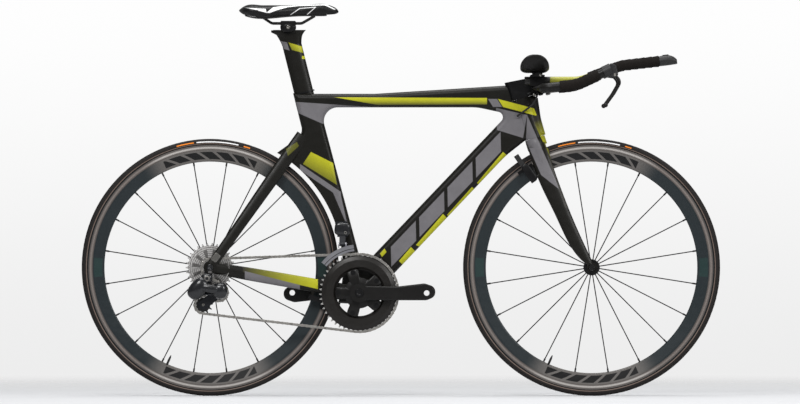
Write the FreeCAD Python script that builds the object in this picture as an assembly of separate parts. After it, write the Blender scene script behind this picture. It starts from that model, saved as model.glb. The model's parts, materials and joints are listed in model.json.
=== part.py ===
import FreeCAD, Part
import os
from math import acos, atan2, cos, degrees, hypot, pi, radians, sin, sqrt, tan

V = FreeCAD.Vector

# Time trial bicycle, modelled at real size in millimetres.
# X points forward, Y to the rider's left, Z up; the origin lies on the ground midway between the axles.
# The drive side is the -Y side.

# General fits
RUN = 0.05
SEAT_FIT = 0.1
GAP = 0.3
OVERRUN = 6.0

# Overall geometry
WHEELBASE = 992.0
BB_TYRE_GAP = 59.6
BB_DROP = 66.4
HEAD_ANGLE = 73.0
RAKE = 43.0
SEAT_ANGLE = 76.0
SEAT_SETBACK = 14.5

# Wheels
TYRE_H = 16.0
TYRE_W = 23.0
TYRE_FOOT_W = 16.6
RIM_R = 318.0
RIM_DEPTH = 43.0
RIM_W = 20.6
RIM_LIP = 1.8
RIM_NOSE_W = 7.0
TRACK_H = 13.0
BEAD_DEPTH = 9.5
SPOKES = 20
SPOKE_W = 2.8
SPOKE_T = 1.2
NIPPLE_W = 4.4
NIPPLE_L = 9.0
AXLE_R = 5.0
HUB_WAIST_R = 10.5
FLANGE_R = 21.0
FLANGE_T = 5.0
FRONT_OLD = 100.0
FRONT_FLANGE_Y = 35.0
REAR_OLD = 130.0
REAR_FLANGE_LEFT_Y = 36.0
REAR_FLANGE_DRIVE_Y = 17.0
REAR_FLANGE_R = 24.0
FREEHUB_R = 16.8
LOCKNUT_R = 8.5
SKEWER_R = 2.4
QR_NUT_R = 9.0
QR_NUT_L = 13.0
QR_CAM_R = 8.0
QR_CAM_L = 12.0
QR_LEVER_L = 52.0
QR_LEVER_W = 13.0
QR_LEVER_T = 5.0
QR_SLOT = 6.0

# Frame
FRAME_W = 38.0
FRAME_EDGE_R = 13.5
TT_LIFT = 11.5
TT_BEND_L = 41.041
TT_RISE = 23.5
TT_DEPTH = 35.5
TT_ARCH_R = 120.0
TT_DROP = 17.0
ST_FRONT_TOP = 31.8
ST_FRONT_LOW = 38.9
ST_REAR = 28.5
ST_ARCH_R = 36.0
BEAK_RISE = 13.0
BEAK_DROP = 59.0
BEAK_L = 82.0
BEAK_R = 28.0
WHEEL_GAP = 11.0
DT_DEPTH = 72.0
DT_HEAD_BACK = 71.893
DT_BB_OFFSET = 31.0
DT_LIP_R = 220.0
DT_LIP_L = 50.0
DT_LIP_DROP = 39.0
WINDOW_TIP_R = 14.0
WINDOW_TIP_X = 82.0
WINDOW_LOW_R = 8.0
BB_SHELL_R = 31.0
BB_SHELL_W = 86.5
BB_BELLY = 28.0
BB_CUP_R = 20.6
BB_CUP_L = 12.0
BB_CUP_FLANGE_R = 22.5
BB_CUP_FLANGE_T = 1.4
CROWN_RISE = 3.0
HEAD_L = 103.0
HEAD_BARREL_R = 26.5
HEAD_FRONT_TOP = 40.0
HEAD_FRONT_MID = 31.6
HEAD_FRONT_LOW = 29.4
HEAD_WAIST_R = 120.0
BEARING_R = 20.6
BEARING_H = 9.0
NOTCH_R = 35.0
PORT_R = 5.0
PORT_H = 3.0
COLLAR_H = 3.5
COLLAR_RIM = 3.2

# Rear stays
STAY_TOP_RISE = 10.0
STAY_TOP_SETBACK = 30.0
STAY_DEPTH_TOP = 34.0
STAY_DEPTH_LOW = 26.0
STAY_W_TOP = 15.0
STAY_W_MID = 15.0
STAY_W_LOW = 11.0
STAY_Y_TOP = 12.0
STAY_Y_TYRE = 26.0
STAY_Y_MID = 45.0
CHAINSTAY_DEPTH = 34.0
CHAINSTAY_TIP_DEPTH = 28.0
CHAINSTAY_W = 17.0
CHAINSTAY_ROOT_Y = 24.0
CHAINSTAY_TYRE_Y = 27.0
CHAINSTAY_MID_Y = 42.0
DROPOUT_T = 7.0
DROPOUT_R = 17.0
HANGER_T = 7.0
HANGER_R = 11.0
HANGER_DROP = 28.5
HANGER_BACK = 8.0
HANGER_BOLT_R = 5.0
STUD_R = 4.0
STUD_L = 30.0

# Seatpost and saddle
POST_CHORD = 50.0
POST_W = 24.0
POST_INSERT = 95.0
POST_TRAVEL = 40.0
POST_HEAD_H = 36.5
POST_SHOWN = 164.5
POST_HEAD_BACK = 40.0
POST_HEAD_FRONT = 46.0
POST_HEAD_W = 30.0
ST_LIFT = 1.5
SADDLE_BACK = 127.944
SADDLE_L = 259.0
SADDLE_W = 132.0
SADDLE_H = 27.0
SADDLE_LIFT = 21.5
SADDLE_SKIRT = 11.0
SADDLE_CROWN = 7.0
SHELL_T = 3.0
RAIL_R = 3.5
RAIL_LIFT = 17.0
RAIL_Y = 22.0
RAIL_NOSE_Y = 12.0
RAIL_BEND_R = 16.0
CLAMP_L = 40.0
CLAMP_W = 58.0
CLAMP_JAW_H = 6.0
CLAMP_PIVOT_R = 17.0

# Fork
STEERER_R = 14.2
CROWN_R = 26.5
CROWN_W = 67.0
BLADE_W_TOP = 15.0
BLADE_W_LOW = 11.0
BLADE_Y_TOP = 25.5
FORK_TIP_R = 13.0
FORK_TIP_T = 7.0
FORK_TYRE_GAP = 9.0
FORK_SLOT_W = 37.0

# Cockpit
STEM_R = 33.5
STEM_W = 48.0
STEM_EDGE_R = 5.0
WING_REACH = 51.486
WING_LIFT = 25.0
WING_CHORD = 52.0
WING_T = 15.0
WING_SPAN = 300.0
BAR_R = 12.0
BAR_Y = 195.0
BAR_BEND_R = 38.0
BAR_RISE_L = 87.0
BAR_TIP_L = 86.0
BAR_RISE = 48.0
BAR_SWEEP_R = 120.0
TAPE_T = 2.2
EXT_R = 11.1
EXT_Y = 52.0
EXT_LIFT = 19.5
EXT_TAIL_L = 46.0
EXT_RISE_L = 97.0
EXT_TOP_L = 110.0
EXT_TOP_RISE = 40.5
EXT_TIP_L = 97.0
EXT_TIP_RISE = 11.0
EXT_BEND_R = 90.0
GRIP_T = 2.0
SHIFTER_L = 45.0
SHIFTER_R = 12.6
BUTTON_L = 15.0
BUTTON_W = 9.0
BUTTON_H = 4.0
BUTTON_TRAVEL = 1.5
BRACKET_L = 38.0
BRACKET_W = 27.0
BRACKET_PLATE_T = 5.0
PAD_POST_R = 13.0
PAD_POST_H = 5.0
CUP_Y = 78.0
CUP_R = 46.0
CUP_T = 3.0
CUP_L = 74.0
CUP_H = 47.0
CUP_CORNER_R = 33.0
PAD_T = 9.0
LEVER_BODY_L = 32.0
LEVER_BODY_R = 15.5
LEVER_AHEAD = 13.0
LEVER_LOW = 14.0
LEVER_PIVOT_R = 3.0
LEVER_W = 9.0
LEVER_T = 8.0
LEVER_DROP = 78.0
LEVER_BACK = 24.0
LEVER_BOW = 14.0
LEVER_BALL_R = 6.0
LEVER_EAR_T = 4.0
HOUSING_R = 2.5
HOUSING_Y = 33.0
HOUSING_BEND_R = 28.0

# Brakes
BRAKE_ARM_L = 84.0
BRAKE_ARM_W = 13.0
BRAKE_ARM_T = 9.0
BRAKE_PIVOT_Y = 29.0
BRAKE_BOSS_R = 8.0
PAD_BLOCK_L = 44.0
PAD_BLOCK_H = 8.0
PAD_DROP = 3.0
PAD_BLOCK_T = 6.5
PAD_GAP = 1.5
FRONT_PAD_ANGLE = 124.0
REAR_PAD_ANGLE = -16.5
PAD_LEVER = 36.0

# Drivetrain
PITCH = 12.7
ROLLER_R = 3.75
PIN_R = 1.7
PLATE_H = 8.4
PLATE_T = 0.75
INNER_W = 2.4
LINK_GAP = 0.08
RING_TEETH = 50
INNER_TEETH = 34
COG_TEETH = (11, 12, 13, 14, 15, 17, 19, 21, 24, 27, 30)
PULLEY_TEETH = 11
TOOTH_H = 2.9
TOOTH_TIP = 2.0
TOOTH_ROOT = 5.4
TOOTH_SEAT = 0.2
SPROCKET_T = 1.7
COG_PITCH = 3.75
COG_Y = 60.0
CHAINLINE_Y = 46.5
RING_T = 1.8
RING_AERO_R = 95.5
RING_AERO_IN_R = 63.0
RING_AERO_T = 4.2
RING_GAP = 6.4
BOLT_CIRCLE_R = 55.0
BOLT_R = 5.0
BOLT_HEAD_R = 6.5
BOLT_HEAD_T = 1.6
SPIDER_ARMS = 5
SPIDER_T = 6.0
SPIDER_ARM_ROOT_W = 27.0
SPIDER_ARM_TIP_W = 19.0
CRANK_L = 175.0
CRANK_BOSS_R = 24.0
CRANK_TIP_R = 21.0
CRANK_T = 13.0
CRANK_EDGE_R = 4.0
CRANK_IN_Y = 59.0
CRANK_CAP_R = 12.0
CRANK_CAP_DEPTH = 2.0
SPINDLE_R = 12.0
PEDAL_R = 7.14
GUIDE_X = 24.0
GUIDE_DROP = 65.0
PULLEY_SPACING = 52.3
PULLEY_T = 1.8
PULLEY_BORE_R = 2.6
CAGE_ANGLE = 226.5
CAGE_T = 2.2
CAGE_GAP = 7.4
CAGE_W = 25.0
CAGE_SKEW = 10.0
RD_BOLT_R = 4.0
RD_KNUCKLE_R = 12.0
RD_KNUCKLE_W = 20.0
RD_BODY_L = 36.0
RD_LINK_L = 38.0
RD_LINK_H = 17.0
RD_LINK_T = 5.0
RD_LINK_GAP = 16.0
RD_SLANT = 45.0
RD_PIVOT_R = 2.2
RD_BACK = 16.0
RD_DROP = 30.5
RD_OUT = 12.5
RD_PKNUCKLE_L = 26.0
FD_BACK = 43.959
FD_RISE = 168.4
FD_BODY_L = 32.0
FD_BODY_H = 36.0
FD_BODY_T = 14.0
FD_LINK_L = 27.0
FD_LINK_ANGLE = 28.0
FD_LINK_W = 16.0
FD_LINK_T = 5.0
FD_PIVOT_R = 2.0
FD_CAGE_IN_R = 109.5
FD_CAGE_H = 17.0
FD_CAGE_T = 1.6
FD_CAGE_GAP = 13.0
FD_CAGE_START = 97.0
FD_CAGE_END = 141.0

# Derived places
REAR_X = -WHEELBASE / 2
FRONT_X = WHEELBASE / 2
TYRE_R = RIM_R + TYRE_H
AXLE_Z = TYRE_R
CHAINSTAY_L = TYRE_R + BB_TYRE_GAP
BB_X = REAR_X + sqrt(CHAINSTAY_L ** 2 - BB_DROP ** 2)
BB_Z = AXLE_Z - BB_DROP
TYRE_TOP_Z = AXLE_Z + TYRE_R
HEAD_BOTTOM_Z = TYRE_TOP_Z + CROWN_RISE
HEAD_TOP_Z = HEAD_BOTTOM_Z + HEAD_L
BEAK_Z = TYRE_TOP_Z + BEAK_RISE
STAY_TOP_Z = TYRE_TOP_Z + STAY_TOP_RISE
TT_TOP_Z = HEAD_TOP_Z + TT_LIFT
TT_BOTTOM_Z = TT_TOP_Z - TT_DEPTH
TT_BEND_X = BB_X + TT_BEND_L
ST_TOP_Z = TT_TOP_Z + ST_LIFT
POST_TOP_Z = ST_TOP_Z + POST_SHOWN
POST_NECK_Z = POST_TOP_Z - POST_HEAD_H
RAIL_Z = POST_TOP_Z + RAIL_LIFT
SADDLE_BASE_Z = RAIL_Z + SADDLE_LIFT
SADDLE_TOP_Z = SADDLE_BASE_Z + SADDLE_H
WING_Z = HEAD_TOP_Z + WING_LIFT
BAR_TIP_Z = WING_Z + BAR_RISE
EXT_Z = WING_Z + EXT_LIFT
EXT_TOP_Z = EXT_Z + EXT_TOP_RISE
EXT_TIP_Z = EXT_TOP_Z + EXT_TIP_RISE
LEVER_PIVOT_Z = BAR_TIP_Z - LEVER_LOW
FD_X = BB_X - FD_BACK
FD_Z = BB_Z + FD_RISE
HALF_W = FRAME_W / 2
Y_AXIS = V(0, 1, 0)
STEER_UP = V(-cos(radians(HEAD_ANGLE)), 0, sin(radians(HEAD_ANGLE)))
STEER_FWD = V(sin(radians(HEAD_ANGLE)), 0, cos(radians(HEAD_ANGLE)))
SEAT_FWD = V(sin(radians(SEAT_ANGLE)), 0, cos(radians(SEAT_ANGLE)))
BOTH_SIDES = (-1, 1)


def steer_x(z):
    """X of the steering axis at height z."""
    return FRONT_X - (RAKE + (z - AXLE_Z) * cos(radians(HEAD_ANGLE))) / sin(radians(HEAD_ANGLE))


def seat_x(z):
    """X of the seatpost axis at height z."""
    return BB_X - SEAT_SETBACK - (z - BB_Z) / tan(radians(SEAT_ANGLE))


DT_ANGLE = degrees(atan2(HEAD_BOTTOM_Z - BB_Z, steer_x(HEAD_BOTTOM_Z) - DT_HEAD_BACK - BB_X))
SADDLE_TAIL_X = seat_x(POST_TOP_Z) - SADDLE_BACK
WING_X = steer_x(HEAD_TOP_Z) + WING_REACH
BAR_RISE_X = WING_X + BAR_RISE_L
BAR_TIP_X = BAR_RISE_X + BAR_TIP_L
EXT_TAIL_X = WING_X - EXT_TAIL_L
EXT_RISE_X = WING_X + EXT_RISE_L
EXT_TOP_X = EXT_RISE_X + EXT_TOP_L
EXT_TIP_X = EXT_TOP_X + EXT_TIP_L
LEVER_PIVOT_X = BAR_TIP_X + LEVER_AHEAD


def steer_point(z):
    """Point of the steering axis at height z."""
    return V(steer_x(z), 0, z)


def polar(centre, radius, angle):
    """Point at a radius and an angle in degrees from +X towards +Z, in the plane of centre."""
    return centre + V(radius * cos(radians(angle)), 0, radius * sin(radians(angle)))


def corner_cut(before, corner, after, radius):
    """Start, middle and end of the arc that rounds a corner, or None where the corner is straight."""
    back = (before - corner).normalize()
    ahead = (after - corner).normalize()
    turn = acos(max(-1.0, min(1.0, back.dot(ahead))))
    if radius == 0 or pi - turn < 1e-4:
        return None
    reach = radius / tan(turn / 2)
    room = min((before - corner).Length, (after - corner).Length) * CORNER_ROOM_SHARE
    reach = min(reach, room)
    radius = reach * tan(turn / 2)
    bisector = (back + ahead).normalize()
    middle = corner + bisector * (radius / sin(turn / 2) - radius)
    return corner + back * reach, middle, corner + ahead * reach


CORNER_ROOM_SHARE = 0.49


def rounded_edges(points, radii, closed):
    """Lines and tangent arcs through points, each corner rounded to its radius."""
    count = len(points)
    pieces = []
    for index in range(count):
        ends = not closed and index in (0, count - 1)
        if ends:
            pieces.append((points[index], None, points[index]))
            continue
        before = points[index - 1]
        after = points[(index + 1) % count]
        cut = corner_cut(before, points[index], after, radii[index])
        pieces.append(cut or (points[index], None, points[index]))
    edges = []
    last = count if closed else count - 1
    for index in range(count):
        start, middle, end = pieces[index]
        if middle is not None:
            edges.append(Part.Arc(start, middle, end).toShape())
        if index < last:
            following = pieces[(index + 1) % count][0]
            if (following - end).Length > SMALL_SHARE * PITCH:
                edges.append(Part.LineSegment(end, following).toShape())
    return edges


SMALL_SHARE = 1e-5


def rounded_face(points, radii):
    """Flat face inside a closed outline with rounded corners."""
    return Part.Face(Part.Wire(rounded_edges(points, radii, True)))


def side_plate(points, radii, y_low, y_high):
    """Plate with an outline given as (x, z) pairs, between two y values."""
    face = rounded_face([V(x, y_low, z) for x, z in points], radii)
    return face.extrude(V(0, y_high - y_low, 0))


def tube(points, radii, radius):
    """Round bar along straight runs joined by tangent arcs."""
    path = Part.Wire(rounded_edges(points, radii, False))
    heading = (points[1] - points[0]).normalize()
    ring = Part.Wire([Part.Circle(points[0], heading, radius).toShape()])
    return path.makePipeShell([ring], True, True)


def oval(centre, first, second, half_first, half_second):
    """Closed smooth oval about centre, spanned by two unit directions."""
    points = []
    for step in range(OVAL_POINTS):
        turn = 2 * pi * step / OVAL_POINTS
        points.append(centre + first * (half_first * cos(turn)) + second * (half_second * sin(turn)))
    curve = Part.BSplineCurve()
    curve.interpolate(Points=points, PeriodicFlag=True)
    return Part.Wire([curve.toShape()])


OVAL_POINTS = 12


def loft(wires):
    """Smooth solid through closed wires."""
    return Part.makeLoft(wires, True, False)


def rod(radius, start, end):
    """Cylinder between two points."""
    return Part.makeCylinder(radius, (end - start).Length, start, end - start)


def ring_solid(outer, inner, start, end):
    """Cylinder with a bore between two points."""
    reach = (end - start).normalize() * OVERRUN
    return rod(outer, start, end).cut(rod(inner, start - reach, end + reach))


def turned(outline, centre):
    """Solid of revolution about the Y axis through centre; the outline lists (radius, y)."""
    points = [centre + V(radius, y, 0) for radius, y in outline]
    face = rounded_face(points, [0] * len(points))
    return face.revolve(centre, Y_AXIS, 360)


def mirrored(shape):
    """Mirror image on the other side of the bicycle."""
    return shape.mirror(V(0, 0, 0), Y_AXIS)


def fuse(shapes):
    """One solid from overlapping shapes, with split faces joined up."""
    joined = shapes[0].multiFuse(shapes[1:])
    return joined.removeSplitter()


def largest(shape):
    """The main solid of a cut piece, without slivers."""
    return max(shape.Solids, key=lambda solid: solid.Volume)


def save(name, shape):
    """Write one node."""
    shape.exportStep("parts/" + name + ".step")


# Wheels


def tyre(centre):
    """Tyre: round crown above the rim lips, foot between them."""
    foot = TYRE_FOOT_W / 2
    base = RIM_R - BEAD_DEPTH + SEAT_FIT
    shoulder = RIM_R + SEAT_FIT
    belly_r = (shoulder + TYRE_R) / 2
    corners = [V(base, -foot, 0), V(base, foot, 0), V(shoulder, foot, 0)]
    edges = [Part.LineSegment(centre + corners[0], centre + corners[1]).toShape()]
    edges.append(Part.LineSegment(centre + corners[1], centre + corners[2]).toShape())
    right = centre + V(shoulder, foot, 0)
    left = centre + V(shoulder, -foot, 0)
    crown = centre + V(TYRE_R, 0, 0)
    bulge = TYRE_W / 2
    edges.append(Part.Arc(right, centre + V(belly_r, bulge, 0), crown).toShape())
    edges.append(Part.Arc(crown, centre + V(belly_r, -bulge, 0), left).toShape())
    edges.append(Part.LineSegment(left, centre + corners[0]).toShape())
    return Part.Face(Part.Wire(edges)).revolve(centre, Y_AXIS, 360)


def rim(centre):
    """Deep rim: flat brake tracks, tapering walls and a rounded nose, with the tyre's channel."""
    half = RIM_W / 2
    nose = RIM_NOSE_W / 2
    inside = half - RIM_LIP
    floor = RIM_R - BEAD_DEPTH
    track = RIM_R - TRACK_H
    tip = RIM_R - RIM_DEPTH
    points = [(floor, -inside), (RIM_R, -inside), (RIM_R, -half), (track, -half), (tip, -nose)]
    points += [(tip, nose), (track, half), (RIM_R, half), (RIM_R, inside), (floor, inside)]
    radii = [0, 0, 0, RIM_DEPTH, nose, nose, RIM_DEPTH, 0, 0, 0]
    outline = [centre + V(radius, y, 0) for radius, y in points]
    return rounded_face(outline, radii).revolve(centre, Y_AXIS, 360)


def spokes(centre, flange_radius, drive_y, left_y):
    """Radial bladed spokes with nipples, alternating between the two flanges."""
    solids = []
    tip = RIM_R - RIM_DEPTH - SEAT_FIT
    for number in range(SPOKES):
        turn = 360.0 * (number + SPOKE_PHASE_SHARE) / SPOKES + 90.0
        flange_y = drive_y if number % 2 else left_y
        root = polar(centre, flange_radius + SEAT_FIT, turn) + V(0, flange_y, 0)
        end = polar(centre, tip, turn)
        along = (end - root).normalize()
        wide = V(-sin(radians(turn)), 0, cos(radians(turn)))
        thick = along.cross(wide)
        cap_root = polar(centre, tip - NIPPLE_L, turn)
        cap_middle = (cap_root + end) / 2
        blade = bar(root, cap_middle - root, wide, thick, SPOKE_W, SPOKE_T)
        cap = bar(cap_root, end - cap_root, wide, Y_AXIS, NIPPLE_W, NIPPLE_W)
        solids.append(blade.fuse(cap).removeSplitter())
    return Part.makeCompound(solids)


SPOKE_PHASE_SHARE = 0.5


def bar(root, reach, wide, thick, width, thickness):
    """Straight bar of rectangular section from root along reach."""
    across = wide * (width / 2)
    deep = thick * (thickness / 2)
    corners = [root + across + deep, root - across + deep, root - across - deep, root + across - deep]
    return Part.Face(Part.makePolygon(corners + [corners[0]])).extrude(reach)


def front_hub(centre):
    """Front hub shell turned on the axle, with two flanges and end caps."""
    bore = AXLE_R + RUN
    end = FRONT_OLD / 2 - GAP
    outer = FRONT_FLANGE_Y + FLANGE_T / 2
    inner = FRONT_FLANGE_Y - FLANGE_T / 2
    waist = inner * HUB_WAIST_SHARE
    right = [(bore, -end), (LOCKNUT_R, -end), (LOCKNUT_R, -outer), (FLANGE_R, -outer), (FLANGE_R, -inner)]
    right.append((HUB_WAIST_R, -waist))
    left = [(radius, -y) for radius, y in reversed(right)]
    return turned(right + left, centre)


HUB_WAIST_SHARE = 0.75


def rear_hub(centre):
    """Rear hub shell: large drive flange, small left flange, and the freehub step on the drive side."""
    bore = AXLE_R + RUN
    end = REAR_OLD / 2 - GAP
    drive_out = REAR_FLANGE_DRIVE_Y + FLANGE_T / 2
    drive_in = REAR_FLANGE_DRIVE_Y - FLANGE_T / 2
    left_out = REAR_FLANGE_LEFT_Y + FLANGE_T / 2
    left_in = REAR_FLANGE_LEFT_Y - FLANGE_T / 2
    points = [(bore, -drive_out), (REAR_FLANGE_R, -drive_out), (REAR_FLANGE_R, -drive_in)]
    points += [(HUB_WAIST_R, -drive_in * HUB_WAIST_SHARE), (HUB_WAIST_R, left_in * HUB_WAIST_SHARE)]
    points += [(FLANGE_R, left_in), (FLANGE_R, left_out), (LOCKNUT_R, left_out)]
    points += [(LOCKNUT_R, end), (bore, end)]
    return turned(points, centre)


def skewer(centre, old, plate):
    """Axle with a quick-release skewer: nut at the drive end, cam block with a slot at the left end."""
    out = old / 2
    nut_in = out + plate + SEAT_FIT
    axle = rod(AXLE_R, centre + V(0, -out - plate / 2, 0), centre + V(0, out + plate / 2, 0))
    thin = rod(SKEWER_R, centre + V(0, -nut_in - QR_NUT_L, 0), centre + V(0, nut_in + QR_CAM_L, 0))
    nut_face = centre + V(0, -nut_in, 0)
    nut = Part.makeCone(QR_NUT_R, QR_NUT_R * QR_NUT_SHARE, QR_NUT_L, nut_face, V(0, -1, 0))
    block = rod(QR_CAM_R, centre + V(0, nut_in, 0), centre + V(0, nut_in + QR_CAM_L, 0))
    middle = centre + V(0, nut_in + QR_CAM_L * QR_PIVOT_SHARE, 0)
    slot = Part.makeBox(QR_SLOT, QR_CAM_L, QR_CAM_R * 4)
    slot.translate(centre + V(-QR_SLOT / 2, nut_in + QR_CAM_L * QR_SLOT_SHARE, -QR_CAM_R * 2))
    across = V(QR_CAM_R * 2, 0, 0)
    hole = rod(QR_PIN_R_SHARE * QR_CAM_R + RUN, middle - across, middle + across)
    return fuse([axle, thin, nut, block]).cut(slot).cut(hole)


QR_NUT_SHARE = 0.78
QR_PIVOT_SHARE = 0.62
QR_SLOT_SHARE = 0.2
QR_PIN_R_SHARE = 0.28
QR_BEND_SHARES = ((0.0, 0.0), (0.22, 0.0), (0.5, 0.42), (1.0, 0.55))


def qr_lever(centre, old, plate, turn):
    """Quick-release lever: pin in the cam block, tongue through its slot, curved paddle."""
    pivot = centre + V(0, old / 2 + plate + SEAT_FIT + QR_CAM_L * QR_PIVOT_SHARE, 0)
    pin_reach = V(QR_CAM_R * QR_PIN_SHARE, 0, 0)
    pin = rod(QR_PIN_R_SHARE * QR_CAM_R, pivot - pin_reach, pivot + pin_reach)
    half = QR_LEVER_T / 2
    points = []
    for along, out in QR_BEND_SHARES:
        points.append(V(-half, out * QR_LEVER_W, along * QR_LEVER_L))
    back = [point + V(0, QR_LEVER_T, 0) for point in reversed(points)]
    outline = [pivot + point - V(0, half, 0) for point in points + back]
    tongue = rounded_face(outline, [0] * len(outline)).extrude(V(QR_LEVER_T, 0, 0))
    paddle_low = QR_LEVER_L * QR_PADDLE_SHARE
    paddle = Part.makeBox(QR_LEVER_W, QR_LEVER_W, QR_LEVER_L - paddle_low)
    paddle.translate(pivot + V(-QR_LEVER_W / 2, 0, paddle_low))
    wide = rounded_face(outline, [0] * len(outline)).extrude(V(QR_LEVER_W, 0, 0))
    wide.translate(V(-(QR_LEVER_W - QR_LEVER_T) / 2, 0, 0))
    lever = fuse([tongue, pin, wide.common(paddle)])
    lever.rotate(pivot, Y_AXIS, turn)
    return lever


QR_PIN_SHARE = 0.9
QR_PADDLE_SHARE = 0.4

# Frame


def down_tube_line(offset, x):
    """Height at x of a line along the down tube, offset square to it above the bottom bracket."""
    slope = tan(radians(DT_ANGLE))
    return BB_Z + (x - BB_X) * slope + offset / cos(radians(DT_ANGLE))


def window_outline():
    """Main triangle opening: seat tube, top tube and down tube edges."""
    low_rise = DT_DEPTH - DT_BB_OFFSET
    slope = tan(radians(DT_ANGLE))
    lean = 1 / tan(radians(SEAT_ANGLE))
    base = BB_Z + low_rise / cos(radians(DT_ANGLE))
    foot_x = BB_X - SEAT_SETBACK + ST_FRONT_LOW
    low_x = (foot_x + lean * (BB_Z - base + BB_X * slope)) / (1 + lean * slope)
    low = (low_x, down_tube_line(low_rise, low_x))
    rear_top = (seat_x(TT_BOTTOM_Z) + ST_FRONT_TOP, TT_BOTTOM_Z)
    tip_x = steer_x(TT_BOTTOM_Z) - WINDOW_TIP_X + TT_DROP
    tip = (tip_x, TT_BOTTOM_Z - TT_DROP)
    knee = (tip_x - WINDOW_KNEE_SHARE * TT_ARCH_R, TT_BOTTOM_Z)
    nose_x = BB_X + (tip[1] - base) / slope
    tip = (max(tip_x, nose_x), tip[1])
    return [rear_top, knee, tip, low], [ST_ARCH_R, TT_ARCH_R, WINDOW_TIP_R, WINDOW_LOW_R]


WINDOW_KNEE_SHARE = 0.5


def frame_outline():
    """Side outline of the main frame, with its rear reaching into the wheel's cut-out."""
    top_front_z = TT_TOP_Z + TT_RISE
    head_mid_z = (HEAD_TOP_Z + HEAD_BOTTOM_Z) / 2
    head_low = steer_point(HEAD_BOTTOM_Z) + STEER_FWD * HEAD_FRONT_LOW
    head_back = steer_point(HEAD_BOTTOM_Z) - STEER_FWD * CROWN_R
    lip = (head_back.x - DT_LIP_L, head_back.z - DT_LIP_DROP)
    belly_x = BB_X + BB_BELLY * BELLY_X_SHARE
    tyre_reach = TYRE_R + WHEEL_GAP
    beak_x = seat_x(BEAK_Z) - ST_REAR
    points = [(seat_x(ST_TOP_Z) - ST_REAR, ST_TOP_Z), (seat_x(ST_TOP_Z) + ST_REAR, TT_TOP_Z)]
    points += [(TT_BEND_X, TT_TOP_Z), (steer_x(top_front_z), top_front_z)]
    points += [(steer_x(HEAD_TOP_Z) + HEAD_FRONT_TOP, HEAD_TOP_Z)]
    points += [(steer_x(head_mid_z) + HEAD_FRONT_MID, head_mid_z)]
    points += [(head_low.x, head_low.z), (head_back.x, head_back.z), lip]
    points += [(belly_x, down_tube_line(-DT_BB_OFFSET, belly_x))]
    for angle, share in REAR_CUT_SHARES:
        spot = polar(V(REAR_X, 0, AXLE_Z), tyre_reach * share, angle)
        points.append((spot.x, spot.z))
    points += [(beak_x - BEAK_L, BEAK_Z - BEAK_DROP), (beak_x, BEAK_Z)]
    radii = [0, 0, DT_LIP_R, 0, 0, HEAD_WAIST_R, 0, 0, DT_LIP_R, BB_BELLY]
    radii += [0] * len(REAR_CUT_SHARES) + [0, BEAK_R]
    return points, radii


BELLY_X_SHARE = 0.5
REAR_CUT_SHARES = ((-16.0, 0.97), (12.0, 0.85), (44.0, 0.94))


def long_edges(solid):
    """Outline edges of a side plate: those that lie in its two flat faces."""
    edges = []
    for edge in solid.Edges:
        box = edge.BoundBox
        if box.YLength < SMALL_SHARE * FRAME_W:
            edges.append(edge)
    return edges


def post_section(height, clearance):
    """Seatpost section at a height, grown by a clearance."""
    centre = V(seat_x(height), 0, height)
    return oval(centre, SEAT_FWD, Y_AXIS, POST_CHORD / 2 + clearance, POST_W / 2 + clearance)


def main_frame():
    """Moulded main frame with head barrel, bottom bracket shell, seatpost socket and wheel cut-out."""
    outer, outer_radii = frame_outline()
    inner, inner_radii = window_outline()
    plate = side_plate(outer, outer_radii, -HALF_W, HALF_W)
    window = side_plate(inner, inner_radii, -HALF_W - OVERRUN, HALF_W + OVERRUN)
    body = plate.cut(window)
    body = body.makeFillet(FRAME_EDGE_R, long_edges(body))
    wheel = V(REAR_X, 0, AXLE_Z)
    reach = V(0, HALF_W + OVERRUN, 0)
    body = body.cut(rod(TYRE_R + WHEEL_GAP, wheel - reach, wheel + reach))
    head_low = steer_point(HEAD_BOTTOM_Z)
    head_top = steer_point(HEAD_TOP_Z)
    barrel = rod(HEAD_BARREL_R, head_low, head_top)
    shell_reach = V(0, BB_SHELL_W / 2, 0)
    bottom = V(BB_X, 0, BB_Z)
    shell = rod(BB_SHELL_R, bottom - shell_reach, bottom + shell_reach)
    port = housing_points()[-1]
    boss = rod(PORT_R, V(port.x, -HALF_W - PORT_H, port.z), V(port.x, 0, port.z))
    body = fuse([body, barrel, shell, boss])
    above = head_top + STEER_UP * (NOTCH_R * 4)
    body = body.cut(rod(NOTCH_R, head_top, above))
    body = body.cut(rod(BEARING_R + SEAT_FIT, head_low - STEER_UP * OVERRUN, above))
    body = body.cut(rod(BB_CUP_R + SEAT_FIT, bottom - shell_reach * 2, bottom + shell_reach * 2))
    socket_low = ST_TOP_Z - POST_INSERT - POST_TRAVEL - OVERRUN
    socket = loft([post_section(socket_low, GAP), post_section(ST_TOP_Z + OVERRUN, GAP)])
    return body.cut(socket)


def stay_oval(point, heading, depth, width):
    """Section of a stay, square to its heading in side view."""
    heading = V(heading.x, 0, heading.z).normalize()
    across = V(-heading.z, 0, heading.x)
    return oval(point, across, Y_AXIS, depth / 2, width / 2)


def clamp_rooms(stay, axle):
    """A stay with the room for the hub between the dropouts and for the clamp ends outside them."""
    inside = V(0, REAR_OLD / 2, 0)
    outside = V(0, REAR_OLD / 2 + DROPOUT_T, 0)
    stay = stay.cut(ring_space(axle, inside))
    for way in (outside, -outside):
        stay = stay.cut(rod(QR_NUT_R + GAP, axle + way, axle + way * 2))
    return stay


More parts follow.
